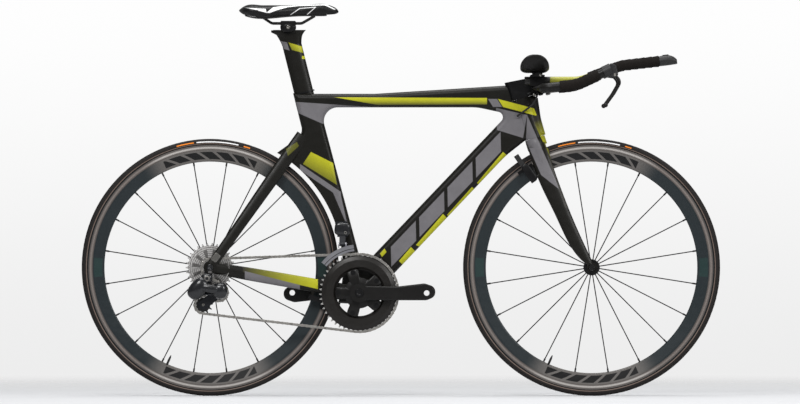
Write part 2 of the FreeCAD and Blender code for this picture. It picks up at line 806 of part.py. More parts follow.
def seat_stay(side, frame, chainstays):
    """One seat stay from the seat tube to the dropout."""
    top = V(seat_x(STAY_TOP_Z) - STAY_TOP_SETBACK, side * STAY_Y_TOP, STAY_TOP_Z)
    low_y = REAR_OLD / 2 + DROPOUT_T / 2
    low = V(REAR_X, side * low_y, AXLE_Z) + (top - V(REAR_X, top.y, AXLE_Z)).normalize() * (DROPOUT_R / 2)
    heading = low - top
    wires = []
    for share, y_value, depth, width in stay_stations(low_y):
        spot = top + heading * share
        wires.append(stay_oval(V(spot.x, side * y_value, spot.z), heading, depth, width))
    stay = clamp_rooms(loft(wires).cut(frame), V(REAR_X, 0, AXLE_Z))
    return largest(stay.cut(chainstays))


def stay_stations(low_y):
    """Stations of a seat stay: share of its length, offset, depth and width."""
    mid_depth = (STAY_DEPTH_TOP + STAY_DEPTH_LOW) / 2
    top, tyre_top, middle, low = STAY_SHARES
    rows = [(top, STAY_Y_TOP, STAY_DEPTH_TOP, STAY_W_TOP)]
    rows.append((tyre_top, STAY_Y_TYRE, STAY_DEPTH_TOP, STAY_W_TOP))
    rows.append((middle, STAY_Y_MID, mid_depth, STAY_W_MID))
    rows.append((low, low_y, STAY_DEPTH_LOW, STAY_W_LOW))
    return rows


STAY_SHARES = (0.0, 0.24, 0.55, 1.0)


def chain_stay(side, frame):
    """One chain stay from the bottom bracket to the dropout, with the dropout plate and a brake stud."""
    root = V(BB_X, side * CHAINSTAY_ROOT_Y, BB_Z)
    low_y = REAR_OLD / 2 + DROPOUT_T / 2
    axle = V(REAR_X, 0, AXLE_Z)
    heading = V(REAR_X - BB_X, 0, AXLE_Z - BB_Z)
    offsets = (CHAINSTAY_ROOT_Y, CHAINSTAY_TYRE_Y, CHAINSTAY_MID_Y, low_y)
    depths = (CHAINSTAY_DEPTH, CHAINSTAY_DEPTH, CHAINSTAY_DEPTH, CHAINSTAY_TIP_DEPTH)
    widths = (CHAINSTAY_W, CHAINSTAY_W, CHAINSTAY_W, STAY_W_LOW)
    wires = []
    for share, y_value, depth, width in zip(CHAINSTAY_SHARES, offsets, depths, widths):
        spot = V(root.x, 0, root.z) + heading * share
        wires.append(stay_oval(V(spot.x, side * y_value, spot.z), heading, depth, width))
    stay = loft(wires)
    inside = V(0, side * REAR_OLD / 2, 0)
    outside = V(0, side * (REAR_OLD / 2 + DROPOUT_T), 0)
    plate = rod(DROPOUT_R, axle + inside, axle + outside)
    pivot = rear_brake_pivot(side)
    stud = brake_stud(pivot, brake_rear_axis())
    stay = fuse([stay, plate, stud]).cut(frame)
    slot = rod(AXLE_R + SEAT_FIT, axle + inside - outside, axle + outside * 2)
    mouth = Part.makeBox(2 * AXLE_R + 2 * SEAT_FIT, REAR_OLD * 2, DROPOUT_R * 2)
    mouth.translate(axle + V(-AXLE_R - SEAT_FIT, -REAR_OLD, -DROPOUT_R * 2))
    return largest(clamp_rooms(stay.cut(slot).cut(mouth), axle))


CHAINSTAY_SHARES = (0.06, 0.22, 0.62, 0.99)


def ring_space(axle, reach):
    """Room for the hub ends and the small cogs between the dropouts."""
    return rod(DROPOUT_R * 3, axle - reach, axle + reach)


def derailleur_hanger():
    """Replaceable hanger on the outer face of the drive dropout, with the hole for the derailleur bolt."""
    axle = V(REAR_X, 0, AXLE_Z)
    eye = hanger_eye()
    inner_y = -REAR_OLD / 2
    outer_y = inner_y - HANGER_T
    points = hanger_outline(eye)
    bend = HANGER_R * HANGER_ROUND_SHARE
    plate = side_plate(points, [0, bend, bend, 0], outer_y, inner_y)
    knuckle = rod(HANGER_R, V(eye.x, inner_y, eye.z), V(eye.x, outer_y, eye.z))
    body = fuse([plate, knuckle])
    rest = rod(DROPOUT_R + SEAT_FIT, axle - V(0, REAR_OLD, 0), axle + V(0, REAR_OLD, 0))
    through = V(0, REAR_OLD, 0)
    return body.cut(rest).cut(rod(HANGER_BOLT_R + SEAT_FIT, eye - through, eye + through))


HANGER_ROUND_SHARE = 0.9


def hanger_eye():
    """Centre of the derailleur bolt in side view."""
    return V(REAR_X - HANGER_BACK, 0, AXLE_Z - HANGER_DROP)


def hanger_outline(eye):
    """Outline of the hanger plate between the dropout and the eye."""
    points = [(REAR_X - HANGER_R, AXLE_Z), (eye.x - HANGER_R, eye.z), (eye.x + HANGER_R, eye.z)]
    return points + [(REAR_X + HANGER_R, AXLE_Z)]


def bottom_bracket_cups():
    """Pair of bearing cups pressed into the shell, each with a flange."""
    cups = []
    for side in BOTH_SIDES:
        face = V(BB_X, side * BB_SHELL_W / 2, BB_Z)
        inward = V(0, -side, 0)
        cup = rod(BB_CUP_R, face + inward * BB_CUP_L, face)
        flange = rod(BB_CUP_FLANGE_R, face, face - inward * BB_CUP_FLANGE_T)
        reach = inward * (BB_CUP_L + OVERRUN)
        cups.append(cup.fuse(flange).removeSplitter().cut(rod(SPINDLE_R + RUN, face + reach, face - reach)))
    return Part.makeCompound(cups)


def headset_bearings():
    """Upper and lower headset bearings in the head tube."""
    low = steer_point(HEAD_BOTTOM_Z)
    top = steer_point(HEAD_TOP_Z)
    rings = []
    for start in (low, top - STEER_UP * BEARING_H):
        rings.append(ring_solid(BEARING_R, STEERER_R + RUN, start, start + STEER_UP * BEARING_H))
    return Part.makeCompound(rings)


def seat_collar():
    """Collar round the post where it enters the frame."""
    low = loft([post_section(ST_TOP_Z, COLLAR_RIM), post_section(ST_TOP_Z + COLLAR_H, COLLAR_RIM)])
    bore = loft([post_section(ST_TOP_Z - OVERRUN, GAP), post_section(ST_TOP_Z + COLLAR_H + OVERRUN, GAP)])
    return low.cut(bore)

# Seatpost and saddle


def seatpost():
    """Aero seatpost with a flared head that cradles the saddle clamp."""
    low = ST_TOP_Z - POST_INSERT
    shaft = loft([post_section(low, 0), post_section(POST_NECK_Z, 0)])
    clamp = clamp_centre()
    base = POST_NECK_Z - POST_CHORD * HEAD_BASE_SHARE
    neck = head_section(POST_NECK_Z, POST_W)
    head = loft([post_section(base, 0), neck, head_section(POST_TOP_Z, POST_HEAD_W)])
    pocket_reach = V(0, POST_HEAD_W, 0)
    pocket = rod(CLAMP_PIVOT_R + GAP, clamp - pocket_reach, clamp + pocket_reach)
    return fuse([shaft, head]).cut(pocket)


HEAD_BASE_SHARE = 0.5


def head_section(height, width):
    """Section of the post head at a height: longer towards the top."""
    clamp = clamp_centre()
    share = (height - POST_NECK_Z) / (POST_TOP_Z - POST_NECK_Z)
    neck_x = seat_x(POST_NECK_Z)
    back = (neck_x - POST_CHORD / 2) * (1 - share) + (clamp.x - POST_HEAD_BACK) * share
    front = (neck_x + POST_CHORD / 2) * (1 - share) + (clamp.x + POST_HEAD_FRONT) * share
    centre = V((back + front) / 2, 0, height)
    return oval(centre, SEAT_FWD * (1 - share) + V(share, 0, 0), Y_AXIS, (front - back) / 2, width / 2)


def clamp_centre():
    """Axis about which the saddle clamp tilts."""
    return V(seat_x(POST_TOP_Z), 0, POST_TOP_Z + CLAMP_PIVOT_R * CLAMP_RISE_SHARE)


CLAMP_RISE_SHARE = 0.4


def saddle_clamp():
    """Clamp that rocks in the post head: round barrel below, two jaws round the rails above."""
    centre = clamp_centre()
    reach = V(0, POST_HEAD_W / 2, 0)
    barrel = rod(CLAMP_PIVOT_R, centre - reach, centre + reach)
    jaw_low = RAIL_Z - RAIL_R - CLAMP_JAW_H / 2
    jaw_high = RAIL_Z + RAIL_R + CLAMP_JAW_H / 2
    half = CLAMP_L / 2
    points = [(centre.x - half, jaw_low), (centre.x - half, jaw_high)]
    points += [(centre.x + half, jaw_high), (centre.x + half, jaw_low)]
    jaw = side_plate(points, [CLAMP_JAW_H / 2] * len(points), -CLAMP_W / 2, CLAMP_W / 2)
    keep_low = centre.z - CLAMP_PIVOT_R * 2
    lower = Part.makeBox(CLAMP_L * 2, CLAMP_W, RAIL_Z - keep_low)
    lower.translate(V(centre.x - CLAMP_L, -CLAMP_W / 2, keep_low))
    body = fuse([barrel.common(lower), jaw])
    for side in BOTH_SIDES:
        start = V(centre.x - CLAMP_L * 2, side * RAIL_Y, RAIL_Z)
        body = body.cut(rod(RAIL_R + SEAT_FIT, start, start + V(CLAMP_L * 4, 0, 0)))
    return body


def saddle_rails():
    """Pair of bent saddle rails."""
    rails = []
    for side in BOTH_SIDES:
        points = []
        for along, height_share, spread in RAIL_SHARES:
            x = SADDLE_TAIL_X + SADDLE_L * along
            z = RAIL_Z + (SADDLE_BASE_Z - RAIL_Z) * height_share
            y = RAIL_NOSE_Y + (RAIL_Y - RAIL_NOSE_Y) * spread
            points.append(V(x, side * y, z))
        rails.append(tube(points, [0, RAIL_BEND_R, RAIL_BEND_R, 0], RAIL_R))
    return Part.makeCompound(rails)


RAIL_SHARES = ((0.24, 0.72, 1.0), (0.33, 0.0, 1.0), (0.63, 0.0, 1.0), (0.76, 0.9, 0.0))


def cushion_wire(along, half, top, base, crown):
    """Saddle section: flat base, drawn-in sides and a crowned top."""
    x = SADDLE_TAIL_X + SADDLE_L * along
    tuck = half * TUCK_SHARE
    belly = (top + base) / 2
    left = V(x, -tuck, base)
    right = V(x, tuck, base)
    edge = top - crown
    shoulder_r = V(x, half * SHOULDER_SHARE, edge)
    shoulder_l = V(x, -half * SHOULDER_SHARE, edge)
    edges = [Part.LineSegment(left, right).toShape()]
    edges.append(Part.Arc(right, V(x, half, belly), shoulder_r).toShape())
    edges.append(Part.Arc(shoulder_r, V(x, 0, top), shoulder_l).toShape())
    edges.append(Part.Arc(shoulder_l, V(x, -half, belly), left).toShape())
    return Part.Wire(edges)


TUCK_SHARE = 0.86
SHOULDER_SHARE = 0.88
SADDLE_SHARES = (
    (0.0, 0.62, 0.56, 0.45, 0.35),
    (0.06, 0.92, 0.9, 0.1, 0.8),
    (0.25, 1.0, 0.96, -0.55, 1.0),
    (0.45, 0.7, 0.97, -0.2, 0.9),
    (0.65, 0.4, 1.0, 0.05, 0.75),
    (0.88, 0.31, 1.05, 0.1, 0.7),
    (1.0, 0.2, 0.62, 0.3, 0.4),
)


def saddle_cover():
    """Padded saddle top with a crown, drawn-in sides and rounded tail and nose."""
    height = SADDLE_TOP_Z - SADDLE_BASE_Z
    wires = []
    for along, width, top, base, crown in SADDLE_SHARES:
        z_top = SADDLE_BASE_Z + height * top
        z_base = SADDLE_BASE_Z + SADDLE_SKIRT * base
        wires.append(cushion_wire(along, SADDLE_W / 2 * width, z_top, z_base, SADDLE_CROWN * crown))
    return loft(wires)


def saddle_shell():
    """Thin shell under the padding that holds the rail ends."""
    wires = []
    for along, width, top, base, crown in SADDLE_SHARES[1:-1]:
        x = SADDLE_TAIL_X + SADDLE_L * along
        half = SADDLE_W / 2 * width * TUCK_SHARE * SHELL_SHARE
        z_top = SADDLE_BASE_Z + SADDLE_SKIRT * base - GAP
        z_low = z_top - SHELL_T
        corners = [V(x, -half, z_low), V(x, half, z_low), V(x, half, z_top), V(x, -half, z_top)]
        wires.append(Part.makePolygon(corners + [corners[0]]))
    return Part.makeLoft(wires, True, False)


SHELL_SHARE = 0.95


# Fork


def blade_edge(z, share, table):
    """Edge of the blades: offset from the steering axis, between shares of the rake and crown size."""
    for (low, low_offset), (high, high_offset) in zip(table, table[1:]):
        if share <= high:
            part = (share - low) / (high - low)
            return steer_x(z) + CROWN_R * (low_offset + (high_offset - low_offset) * part)
    return steer_x(z) + CROWN_R * table[-1][1]


BLADE_FRONT_SHARES = ((0.0, 2.06), (0.04, 1.92), (0.29, 1.44), (0.53, 1.09), (0.79, 0.94), (1.0, 1.0))
BLADE_REAR_SHARES = ((0.0, 1.4), (0.02, 1.38), (0.06, 0.56), (0.29, -0.06), (0.52, -0.53), (0.69, -0.96))
BLADE_REAR_SHARES += ((0.87, -0.97), (1.0, -1.0))
BLADE_STATION_SHARES = (0.015, 0.16, 0.29, 0.45, 0.62, 0.78, 0.92)


def fork_blade(side):
    """One fork blade, deep at the crown and slender at the tip."""
    wires = []
    low_y = FRONT_OLD / 2 + FORK_TIP_T / 2
    for share in BLADE_STATION_SHARES:
        z = AXLE_Z + (HEAD_BOTTOM_Z - AXLE_Z) * share
        front = blade_edge(z, share, BLADE_FRONT_SHARES)
        rear = blade_edge(z, share, BLADE_REAR_SHARES)
        width = BLADE_W_LOW + (BLADE_W_TOP - BLADE_W_LOW) * share
        y_value = low_y + (BLADE_Y_TOP - low_y) * min(1.0, share / BLADE_BOW_SHARE)
        centre = V((front + rear) / 2, side * y_value, z)
        wires.append(oval(centre, V(1, 0, 0), Y_AXIS, (front - rear) / 2, width / 2))
    blade = loft(wires)
    axle = V(FRONT_X, 0, AXLE_Z)
    inside = V(0, side * FRONT_OLD / 2, 0)
    outside = V(0, side * (FRONT_OLD / 2 + FORK_TIP_T), 0)
    tip = rod(FORK_TIP_R, axle + inside, axle + outside)
    clamp_room = rod(QR_NUT_R + GAP, axle + outside, axle + outside * 2)
    return fuse([blade, tip]).cut(clamp_room)


BLADE_BOW_SHARE = 0.8


def fork():
    """Fork: steerer, crown over the tyre, two blades with open tips and the front brake's studs."""
    low = steer_point(HEAD_BOTTOM_Z)
    crown_wires = []
    for drop_share, front_share, wide_share in CROWN_SHARES:
        drop = CROWN_R * drop_share
        centre = low - STEER_UP * drop
        crown_wires.append(oval(centre, STEER_FWD, Y_AXIS, CROWN_R * front_share, CROWN_W / 2 * wide_share))
    crown = loft(crown_wires)
    steerer_top = steer_point(HEAD_TOP_Z) + STEER_UP * (STEM_H_SHARE * STEM_R)
    steerer = rod(STEERER_R, low - STEER_UP * CROWN_R, steerer_top)
    axle = V(FRONT_X, 0, AXLE_Z)
    half_slot = V(0, FORK_SLOT_W / 2, 0)
    room = rod(TYRE_R + FORK_TYRE_GAP, axle - half_slot, axle + half_slot)
    body = fuse([crown, fork_blade(-1), fork_blade(1)]).cut(room)
    studs = [brake_stud(front_brake_pivot(side), brake_front_axis()) for side in BOTH_SIDES]
    body = fuse([body, steerer] + studs)
    hub_reach = V(0, FRONT_OLD / 2, 0)
    body = body.cut(rod(FORK_TIP_R * 2, axle - hub_reach, axle + hub_reach))
    slot_reach = V(0, FRONT_OLD, 0)
    body = body.cut(rod(AXLE_R + SEAT_FIT, axle - slot_reach, axle + slot_reach))
    mouth = Part.makeBox(2 * AXLE_R + 2 * SEAT_FIT, FRONT_OLD * 2, FORK_TIP_R * 2)
    mouth.translate(axle + V(-AXLE_R - SEAT_FIT, -FRONT_OLD, -FORK_TIP_R * 2))
    return body.cut(mouth)


STEM_H_SHARE = 1.2
CROWN_SHARES = ((0.012, 0.98, 0.78), (0.25, 1.0, 0.9), (0.9, 1.0, 1.0), (1.9, 0.99, 1.0), (2.7, 0.8, 0.95))

# Cockpit


def wing_section(y_value, chord, thickness, clearance):
    """Section of the base bar's wing at a distance from the middle."""
    centre = V(WING_X, y_value, WING_Z)
    return oval(centre, V(1, 0, 0), V(0, 0, 1), chord / 2 + clearance, thickness / 2 + clearance)


def wing(clearance):
    """Wing of the base bar between its two round ends."""
    wires = []
    for share, blend in WING_SHARES:
        size = 2 * BAR_R * WING_END_SHARE * blend
        chord = WING_CHORD * (1 - blend) + size
        thickness = WING_T * (1 - blend) + size
        wires.append(wing_section(WING_SPAN / 2 * share, chord, thickness, clearance))
    return loft(wires)


WING_END_SHARE = 0.95
WING_SHARES = ((-1.04, 1.0), (-0.82, 0.4), (-0.6, 0.0), (0.0, 0.0), (0.6, 0.0), (0.82, 0.4), (1.04, 1.0))


def horn_points(side):
    """Centre line of a bullhorn from the end of the wing to its tip."""
    y_value = side * BAR_Y
    knee_z = WING_Z + (BAR_TIP_Z - WING_Z) * HORN_KNEE_SHARE
    points = [V(WING_X, side * WING_SPAN / 2, WING_Z), V(WING_X, y_value, WING_Z)]
    return points + [V(BAR_RISE_X, y_value, knee_z), V(BAR_TIP_X, y_value, BAR_TIP_Z)]


HORN_KNEE_SHARE = 0.17


def base_bar():
    """Base bar: flat wing whose ends turn forward into rising bullhorns."""
    parts = [wing(0)]
    for side in BOTH_SIDES:
        parts.append(tube(horn_points(side), [0, BAR_BEND_R, BAR_SWEEP_R, 0], BAR_R))
    return fuse(parts)


def bar_tape():
    """Tape wound round each bullhorn, behind the lever bodies."""
    wraps = []
    for side in BOTH_SIDES:
        corner, knee, tip = horn_points(side)[1:]
        start = corner + (knee - corner) * TAPE_START_SHARE
        end = knee + (tip - knee) * TAPE_END_SHARE
        route = [start, knee, end]
        radii = [0, BAR_SWEEP_R, 0]
        wraps.append(tube(route, radii, BAR_R + GAP + TAPE_T).cut(tube(route, radii, BAR_R + GAP)))
    return Part.makeCompound(wraps)


TAPE_START_SHARE = 0.5
TAPE_END_SHARE = 0.68


def stem_point(forward, up):
    """Point beside the steering axis, measured from the top of the head tube."""
    return steer_point(HEAD_TOP_Z) + STEER_FWD * forward + STEER_UP * up


def stem():
    """Stem: round at the back so that it turns in the frame's notch, clamping the wing at the front."""
    foot_back = stem_point(-NOTCH_R, GAP)
    foot_front = stem_point(STEM_R * STEM_FOOT_SHARE, GAP)
    nose_x = WING_X + WING_CHORD * STEM_NOSE_SHARE
    nose_low = WING_Z - WING_T / 2 - STEM_EDGE_R
    nose_high = WING_Z + WING_T / 2 + STEM_EDGE_R
    brow = stem_point(STEM_R * STEM_BROW_SHARE, STEM_R * STEM_TOP_SHARE)
    back = stem_point(-NOTCH_R, STEM_R * STEM_BACK_SHARE)
    points = [(foot_back.x, foot_back.z), (foot_front.x, foot_front.z)]
    points += [(nose_x, nose_low), (nose_x, nose_high)]
    points += [(brow.x, brow.z), (back.x, back.z)]
    radii = [0, STEM_R, STEM_EDGE_R, STEM_EDGE_R, STEM_R, 0]
    body = side_plate(points, radii, -STEM_W / 2, STEM_W / 2)
    low = stem_point(0, -STEM_R)
    high = stem_point(0, STEM_R * 3)
    round_back = rod(STEM_R, low, high)
    front = side_plate(front_block(low, high), [0, 0, 0, 0], -STEM_W, STEM_W)
    body = body.common(round_back.fuse(front))
    body = body.cut(rod(STEERER_R + RUN, low, stem_point(0, STEM_R * STEM_H_SHARE + GAP)))
    return body.cut(wing(SEAT_FIT))


def front_block(low, high):
    """Outline of everything ahead of the steering axis beside the stem."""
    ahead = STEER_FWD * (STEM_R * 5)
    corners = [low, high, high + ahead, low + ahead]
    return [(point.x, point.z) for point in corners]


STEM_FOOT_SHARE = 1.15
STEM_NOSE_SHARE = 0.14
STEM_BROW_SHARE = 0.75
STEM_TOP_SHARE = 1.37
STEM_BACK_SHARE = 1.55


def extension_points(side):
    """Centre line of an extension bar from its tail to its tip."""
    y_value = side * EXT_Y
    points = [V(EXT_TAIL_X, y_value, EXT_Z), V(EXT_RISE_X, y_value, EXT_Z)]
    return points + [V(EXT_TOP_X, y_value, EXT_TOP_Z), V(EXT_TIP_X, y_value, EXT_TIP_Z)]


def extension_bars():
    """Pair of extension bars with a raised front."""
    bars = []
    for side in BOTH_SIDES:
        bars.append(tube(extension_points(side), [0, EXT_BEND_R, EXT_BEND_R, 0], EXT_R))
    return Part.makeCompound(bars)


def extension_grips():
    """Soft grips over the front of the extensions."""
    grips = []
    for side in BOTH_SIDES:
        rise, top, tip = extension_points(side)[1:]
        start = top + (rise - top) * GRIP_BACK_SHARE
        end = tip - (tip - top).normalize() * GAP
        route = [start, top, end]
        radii = [0, EXT_BEND_R, 0]
        grips.append(tube(route, radii, EXT_R + GAP + GRIP_T).cut(tube(route, radii, EXT_R + GAP)))
    return Part.makeCompound(grips)


GRIP_BACK_SHARE = 0.22


def shifter_axes(side):
    """Tip of an extension, its heading and the direction square to it, upward."""
    top, tip = extension_points(side)[2:]
    heading = (tip - top).normalize()
    return tip, heading, V(-heading.z, 0, heading.x)


def shifter_pocket(side, clearance):
    """Room of a shift button in the top of its shifter."""
    tip, heading, up = shifter_axes(side)
    floor = SHIFTER_R - BUTTON_H
    root = tip + heading * (SHIFTER_L * BUTTON_START_SHARE - clearance) + up * (floor - clearance)
    reach = heading * (BUTTON_L + 2 * clearance)
    wide = BUTTON_W + 2 * clearance
    tall = BUTTON_H + BUTTON_PROUD_SHARE * BUTTON_H + clearance
    return bar(root + up * (tall / 2), reach, Y_AXIS, up, wide, tall)


BUTTON_START_SHARE = 0.22
BUTTON_PROUD_SHARE = 0.6


def shifter(side):
    """Bar-end shifter: round plug that tapers to a blunt tip, with a pocket for its button."""
    tip, heading, up = shifter_axes(side)
    wires = []
    for along, size, drop in SHIFTER_SHARES:
        radius = SHIFTER_R * size
        centre = tip + heading * (SEAT_FIT + SHIFTER_L * along) - up * (SHIFTER_R * drop)
        wires.append(oval(centre, up, Y_AXIS, radius, (radius + SHIFTER_R) / 2))
    pocket = shifter_pocket(side, GAP)
    deep = shifter_pocket(side, GAP)
    deep.translate(up * -BUTTON_TRAVEL)
    return loft(wires).cut(pocket.fuse(deep))


SHIFTER_SHARES = ((0.0, 1.0, 0.0), (0.6, 0.98, 0.02), (0.85, 0.75, 0.22), (1.0, 0.45, 0.5))


def bracket(side):
    """Arm rest bracket: clamp round the extension on top of the wing, with a plate and post for the cup."""
    y_value = side * EXT_Y
    half = BRACKET_L / 2
    low = WING_Z
    high = EXT_Z + EXT_R + BRACKET_PLATE_T
    centre_x = WING_X - BRACKET_BACK_SHARE * BRACKET_L
    points = [(centre_x - half, low + WING_T / 2 + GAP), (centre_x - half, high), (centre_x + half, high)]
    points.append((centre_x + half, low))
    block = side_plate(points, [0, BRACKET_PLATE_T, BRACKET_PLATE_T, 0], -BRACKET_W / 2, BRACKET_W / 2)
    block.translate(V(0, y_value, 0))
    near = min(y_value, side * CUP_Y) - PAD_POST_R
    far = max(y_value, side * CUP_Y) + PAD_POST_R
    points = points_box(centre_x, half, high - BRACKET_PLATE_T, high)
    plate = side_plate(points, [BRACKET_PLATE_T / 2] * len(points), near, far)
    foot = V(centre_x, side * CUP_Y, high - BRACKET_PLATE_T)
    post = rod(PAD_POST_R, foot, V(foot.x, foot.y, high + PAD_POST_H))
    body = fuse([block, plate, post])
    tail = V(EXT_TAIL_X - OVERRUN, y_value, EXT_Z)
    bore = rod(EXT_R + RUN, tail, V(EXT_RISE_X, y_value, EXT_Z))
    return body.cut(bore).cut(wing(SEAT_FIT))


BRACKET_BACK_SHARE = 0.35


def points_box(x, half, low, high):
    """Outline of an upright rectangle about x."""
    return [(x - half, low), (x - half, high), (x + half, high), (x + half, low)]


def cup_base():
    """Middle of the arm cup's underside in side view."""
    x = WING_X - BRACKET_BACK_SHARE * BRACKET_L - CUP_BACK_SHARE * CUP_L
    return V(x, 0, EXT_Z + EXT_R + BRACKET_PLATE_T + PAD_POST_H)


CUP_BACK_SHARE = 0.09


def trough(side, outer, inner, clearance):
    """Curved trough along X between two radii, cut to the cup's domed side outline."""
    base = cup_base()
    half = CUP_L / 2 - clearance
    axis_z = base.z + CUP_R
    start = V(base.x - CUP_L, side * CUP_Y, axis_z)
    end = V(base.x + CUP_L, side * CUP_Y, axis_z)
    shell = ring_solid(outer, inner, start, end)
    low = base.z - OVERRUN
    high = base.z + CUP_H - clearance
    corner = CUP_CORNER_R
    wide = CUP_R + OVERRUN
    dome = side_plate(points_box(base.x, half, low, high), [0, corner, corner, 0], -wide, wide)
    dome.translate(V(0, side * CUP_Y, 0))
    return shell.common(dome)


def arm_cup(side):
    """Arm cup: trough with raised sides on the bracket's post."""
    return trough(side, CUP_R, CUP_R - CUP_T, 0)


def arm_pad(side):
    """Soft pad lining the cup, clear of it by the soft gap."""
    outer = CUP_R - CUP_T - GAP
    return trough(side, outer, outer - PAD_T, PAD_T * PAD_INSET_SHARE)


PAD_INSET_SHARE = 0.35


def lever_pivot(side):
    """Pivot of a brake lever."""
    return V(LEVER_PIVOT_X, side * BAR_Y, LEVER_PIVOT_Z)


def lever_body(side):
    """Brake lever body on the end of a bullhorn, with ears and a pin for the lever."""
    pivot = lever_pivot(side)
    points = [(pivot.x + LEVER_BODY_L * x, pivot.z + LEVER_BODY_L * z) for x, z in LEVER_BODY_SHARES]
    ears = LEVER_T / 2 + GAP + LEVER_EAR_T
    radii = [LEVER_BODY_L * LEVER_ROUND_SHARE] * len(points)
    body = side_plate(points, radii, -ears, ears)
    body = body.makeFillet(LEVER_EAR_T * EAR_EDGE_SHARE, long_edges(body))
    body.translate(V(0, side * BAR_Y, 0))
    knee, tip = horn_points(side)[2:]
    heading = (tip - knee).normalize()
    socket = rod(LEVER_BODY_R, tip - heading * (LEVER_BODY_L * SOCKET_SHARE), tip + heading * LEVER_EAR_T)
    slot = Part.makeBox(LEVER_BODY_L * 2, LEVER_T + 2 * GAP, LEVER_BODY_L)
    slot_x = LEVER_BODY_L * SLOT_BACK_SHARE
    slot.translate(pivot - V(slot_x, LEVER_T / 2 + GAP, LEVER_BODY_L * SLOT_HIGH_SHARE))
    pin_reach = V(0, ears - LEVER_EAR_T / 2, 0)
    pin = rod(LEVER_PIVOT_R, pivot - pin_reach, pivot + pin_reach)
    body = fuse([body, socket]).cut(slot)
    body = fuse([body, pin])
    return body.cut(rod(BAR_R + SEAT_FIT, knee, tip + heading * SEAT_FIT))


LEVER_BODY_SHARES = ((-0.95, 0.1), (-0.35, 0.98), (0.1, 0.78), (0.28, 0.0), (0.05, -0.2), (-0.5, -0.12))
LEVER_ROUND_SHARE = 0.16
EAR_EDGE_SHARE = 0.7
SOCKET_SHARE = 0.55
SLOT_BACK_SHARE = 0.36
SLOT_HIGH_SHARE = 0.78


def brake_lever(side):
    """Brake lever: eye on the pin, bowed blade and a ball at its tip."""
    pivot = lever_pivot(side)
    points = []
    for back, drop, bow in LEVER_SHARES:
        points.append(pivot + V(LEVER_BOW * bow - LEVER_BACK * back, 0, -LEVER_DROP * drop))
    bend = LEVER_DROP * LEVER_BEND_SHARE
    blade = tube(points, [0, bend, bend, 0], LEVER_T * BLADE_R_SHARE)
    ball = Part.makeSphere(LEVER_BALL_R, points[-1])
    half = V(0, LEVER_T / 2, 0)
    eye = rod(LEVER_W * EYE_R_SHARE, pivot - half, pivot + half)
    body = fuse([blade, ball, eye])
    return body.cut(rod(LEVER_PIVOT_R + RUN, pivot - half * 2, pivot + half * 2))


LEVER_SHARES = ((0.0, 0.0, 0.0), (0.0, 0.22, 1.1), (0.45, 0.62, 0.6), (1.0, 1.0, 0.0))
LEVER_BEND_SHARE = 0.35
BLADE_R_SHARE = 0.47
EYE_R_SHARE = 0.6


def housing_points():
    """Route of the brake housing from the underside of the wing to the port in the frame."""
    y_top = -HOUSING_Y
    back, under = HOUSING_TOP_SHARES
    points = [V(WING_X - WING_CHORD * back, y_top, WING_Z - WING_T * under)]
    for step_back, step_down in HOUSING_RUN_SHARES:
        last = points[-1]
        points.append(V(last.x - HOUSING_BEND_R * step_back, y_top, last.z - HOUSING_BEND_R * step_down))
    points[-1].y = -HALF_W - PORT_H - HOUSING_R - GAP
    return points


HOUSING_TOP_SHARES = (0.23, 0.7)
HOUSING_RUN_SHARES = ((0.2, 0.9), (1.0, 0.79), (0.72, 0.5))


def brake_housing():
    """Brake housing between the base bar and the frame's port."""
    return tube(housing_points(), [0, HOUSING_BEND_R, HOUSING_BEND_R * 2, 0], HOUSING_R)


# Brakes


def brake_axes(angle):
    """Radial and tangential unit directions of a brake at an angle round its wheel."""
    turn = radians(angle)
    return V(cos(turn), 0, sin(turn)), V(-sin(turn), 0, cos(turn))


def brake_pivot(centre, angle, side):
    """Pivot of a brake arm, inside the rim."""
    radial = brake_axes(angle)[0]
    return centre + radial * (RIM_R - TRACK_H / 2 - PAD_LEVER) + V(0, side * BRAKE_PIVOT_Y, 0)


def rear_brake_pivot(side):
    """Pivot of a rear brake arm under the chain stays."""
    return brake_pivot(V(REAR_X, 0, AXLE_Z), REAR_PAD_ANGLE, side)


def front_brake_pivot(side):
    """Pivot of a front brake arm behind the fork."""
    return brake_pivot(V(FRONT_X, 0, AXLE_Z), FRONT_PAD_ANGLE, side)


def brake_rear_axis():
    """Direction from a rear brake arm towards the chain stay."""
    return brake_axes(REAR_PAD_ANGLE)[1]


def brake_front_axis():
    """Direction from a front brake arm towards the fork blade."""
    return brake_axes(FRONT_PAD_ANGLE)[1] * -1


def brake_stud(pivot, toward):
    """Stud that carries a brake arm, sunk into the blade or stay behind it."""
    return rod(STUD_R, pivot - toward * (BRAKE_ARM_W / 2), pivot + toward * STUD_L)


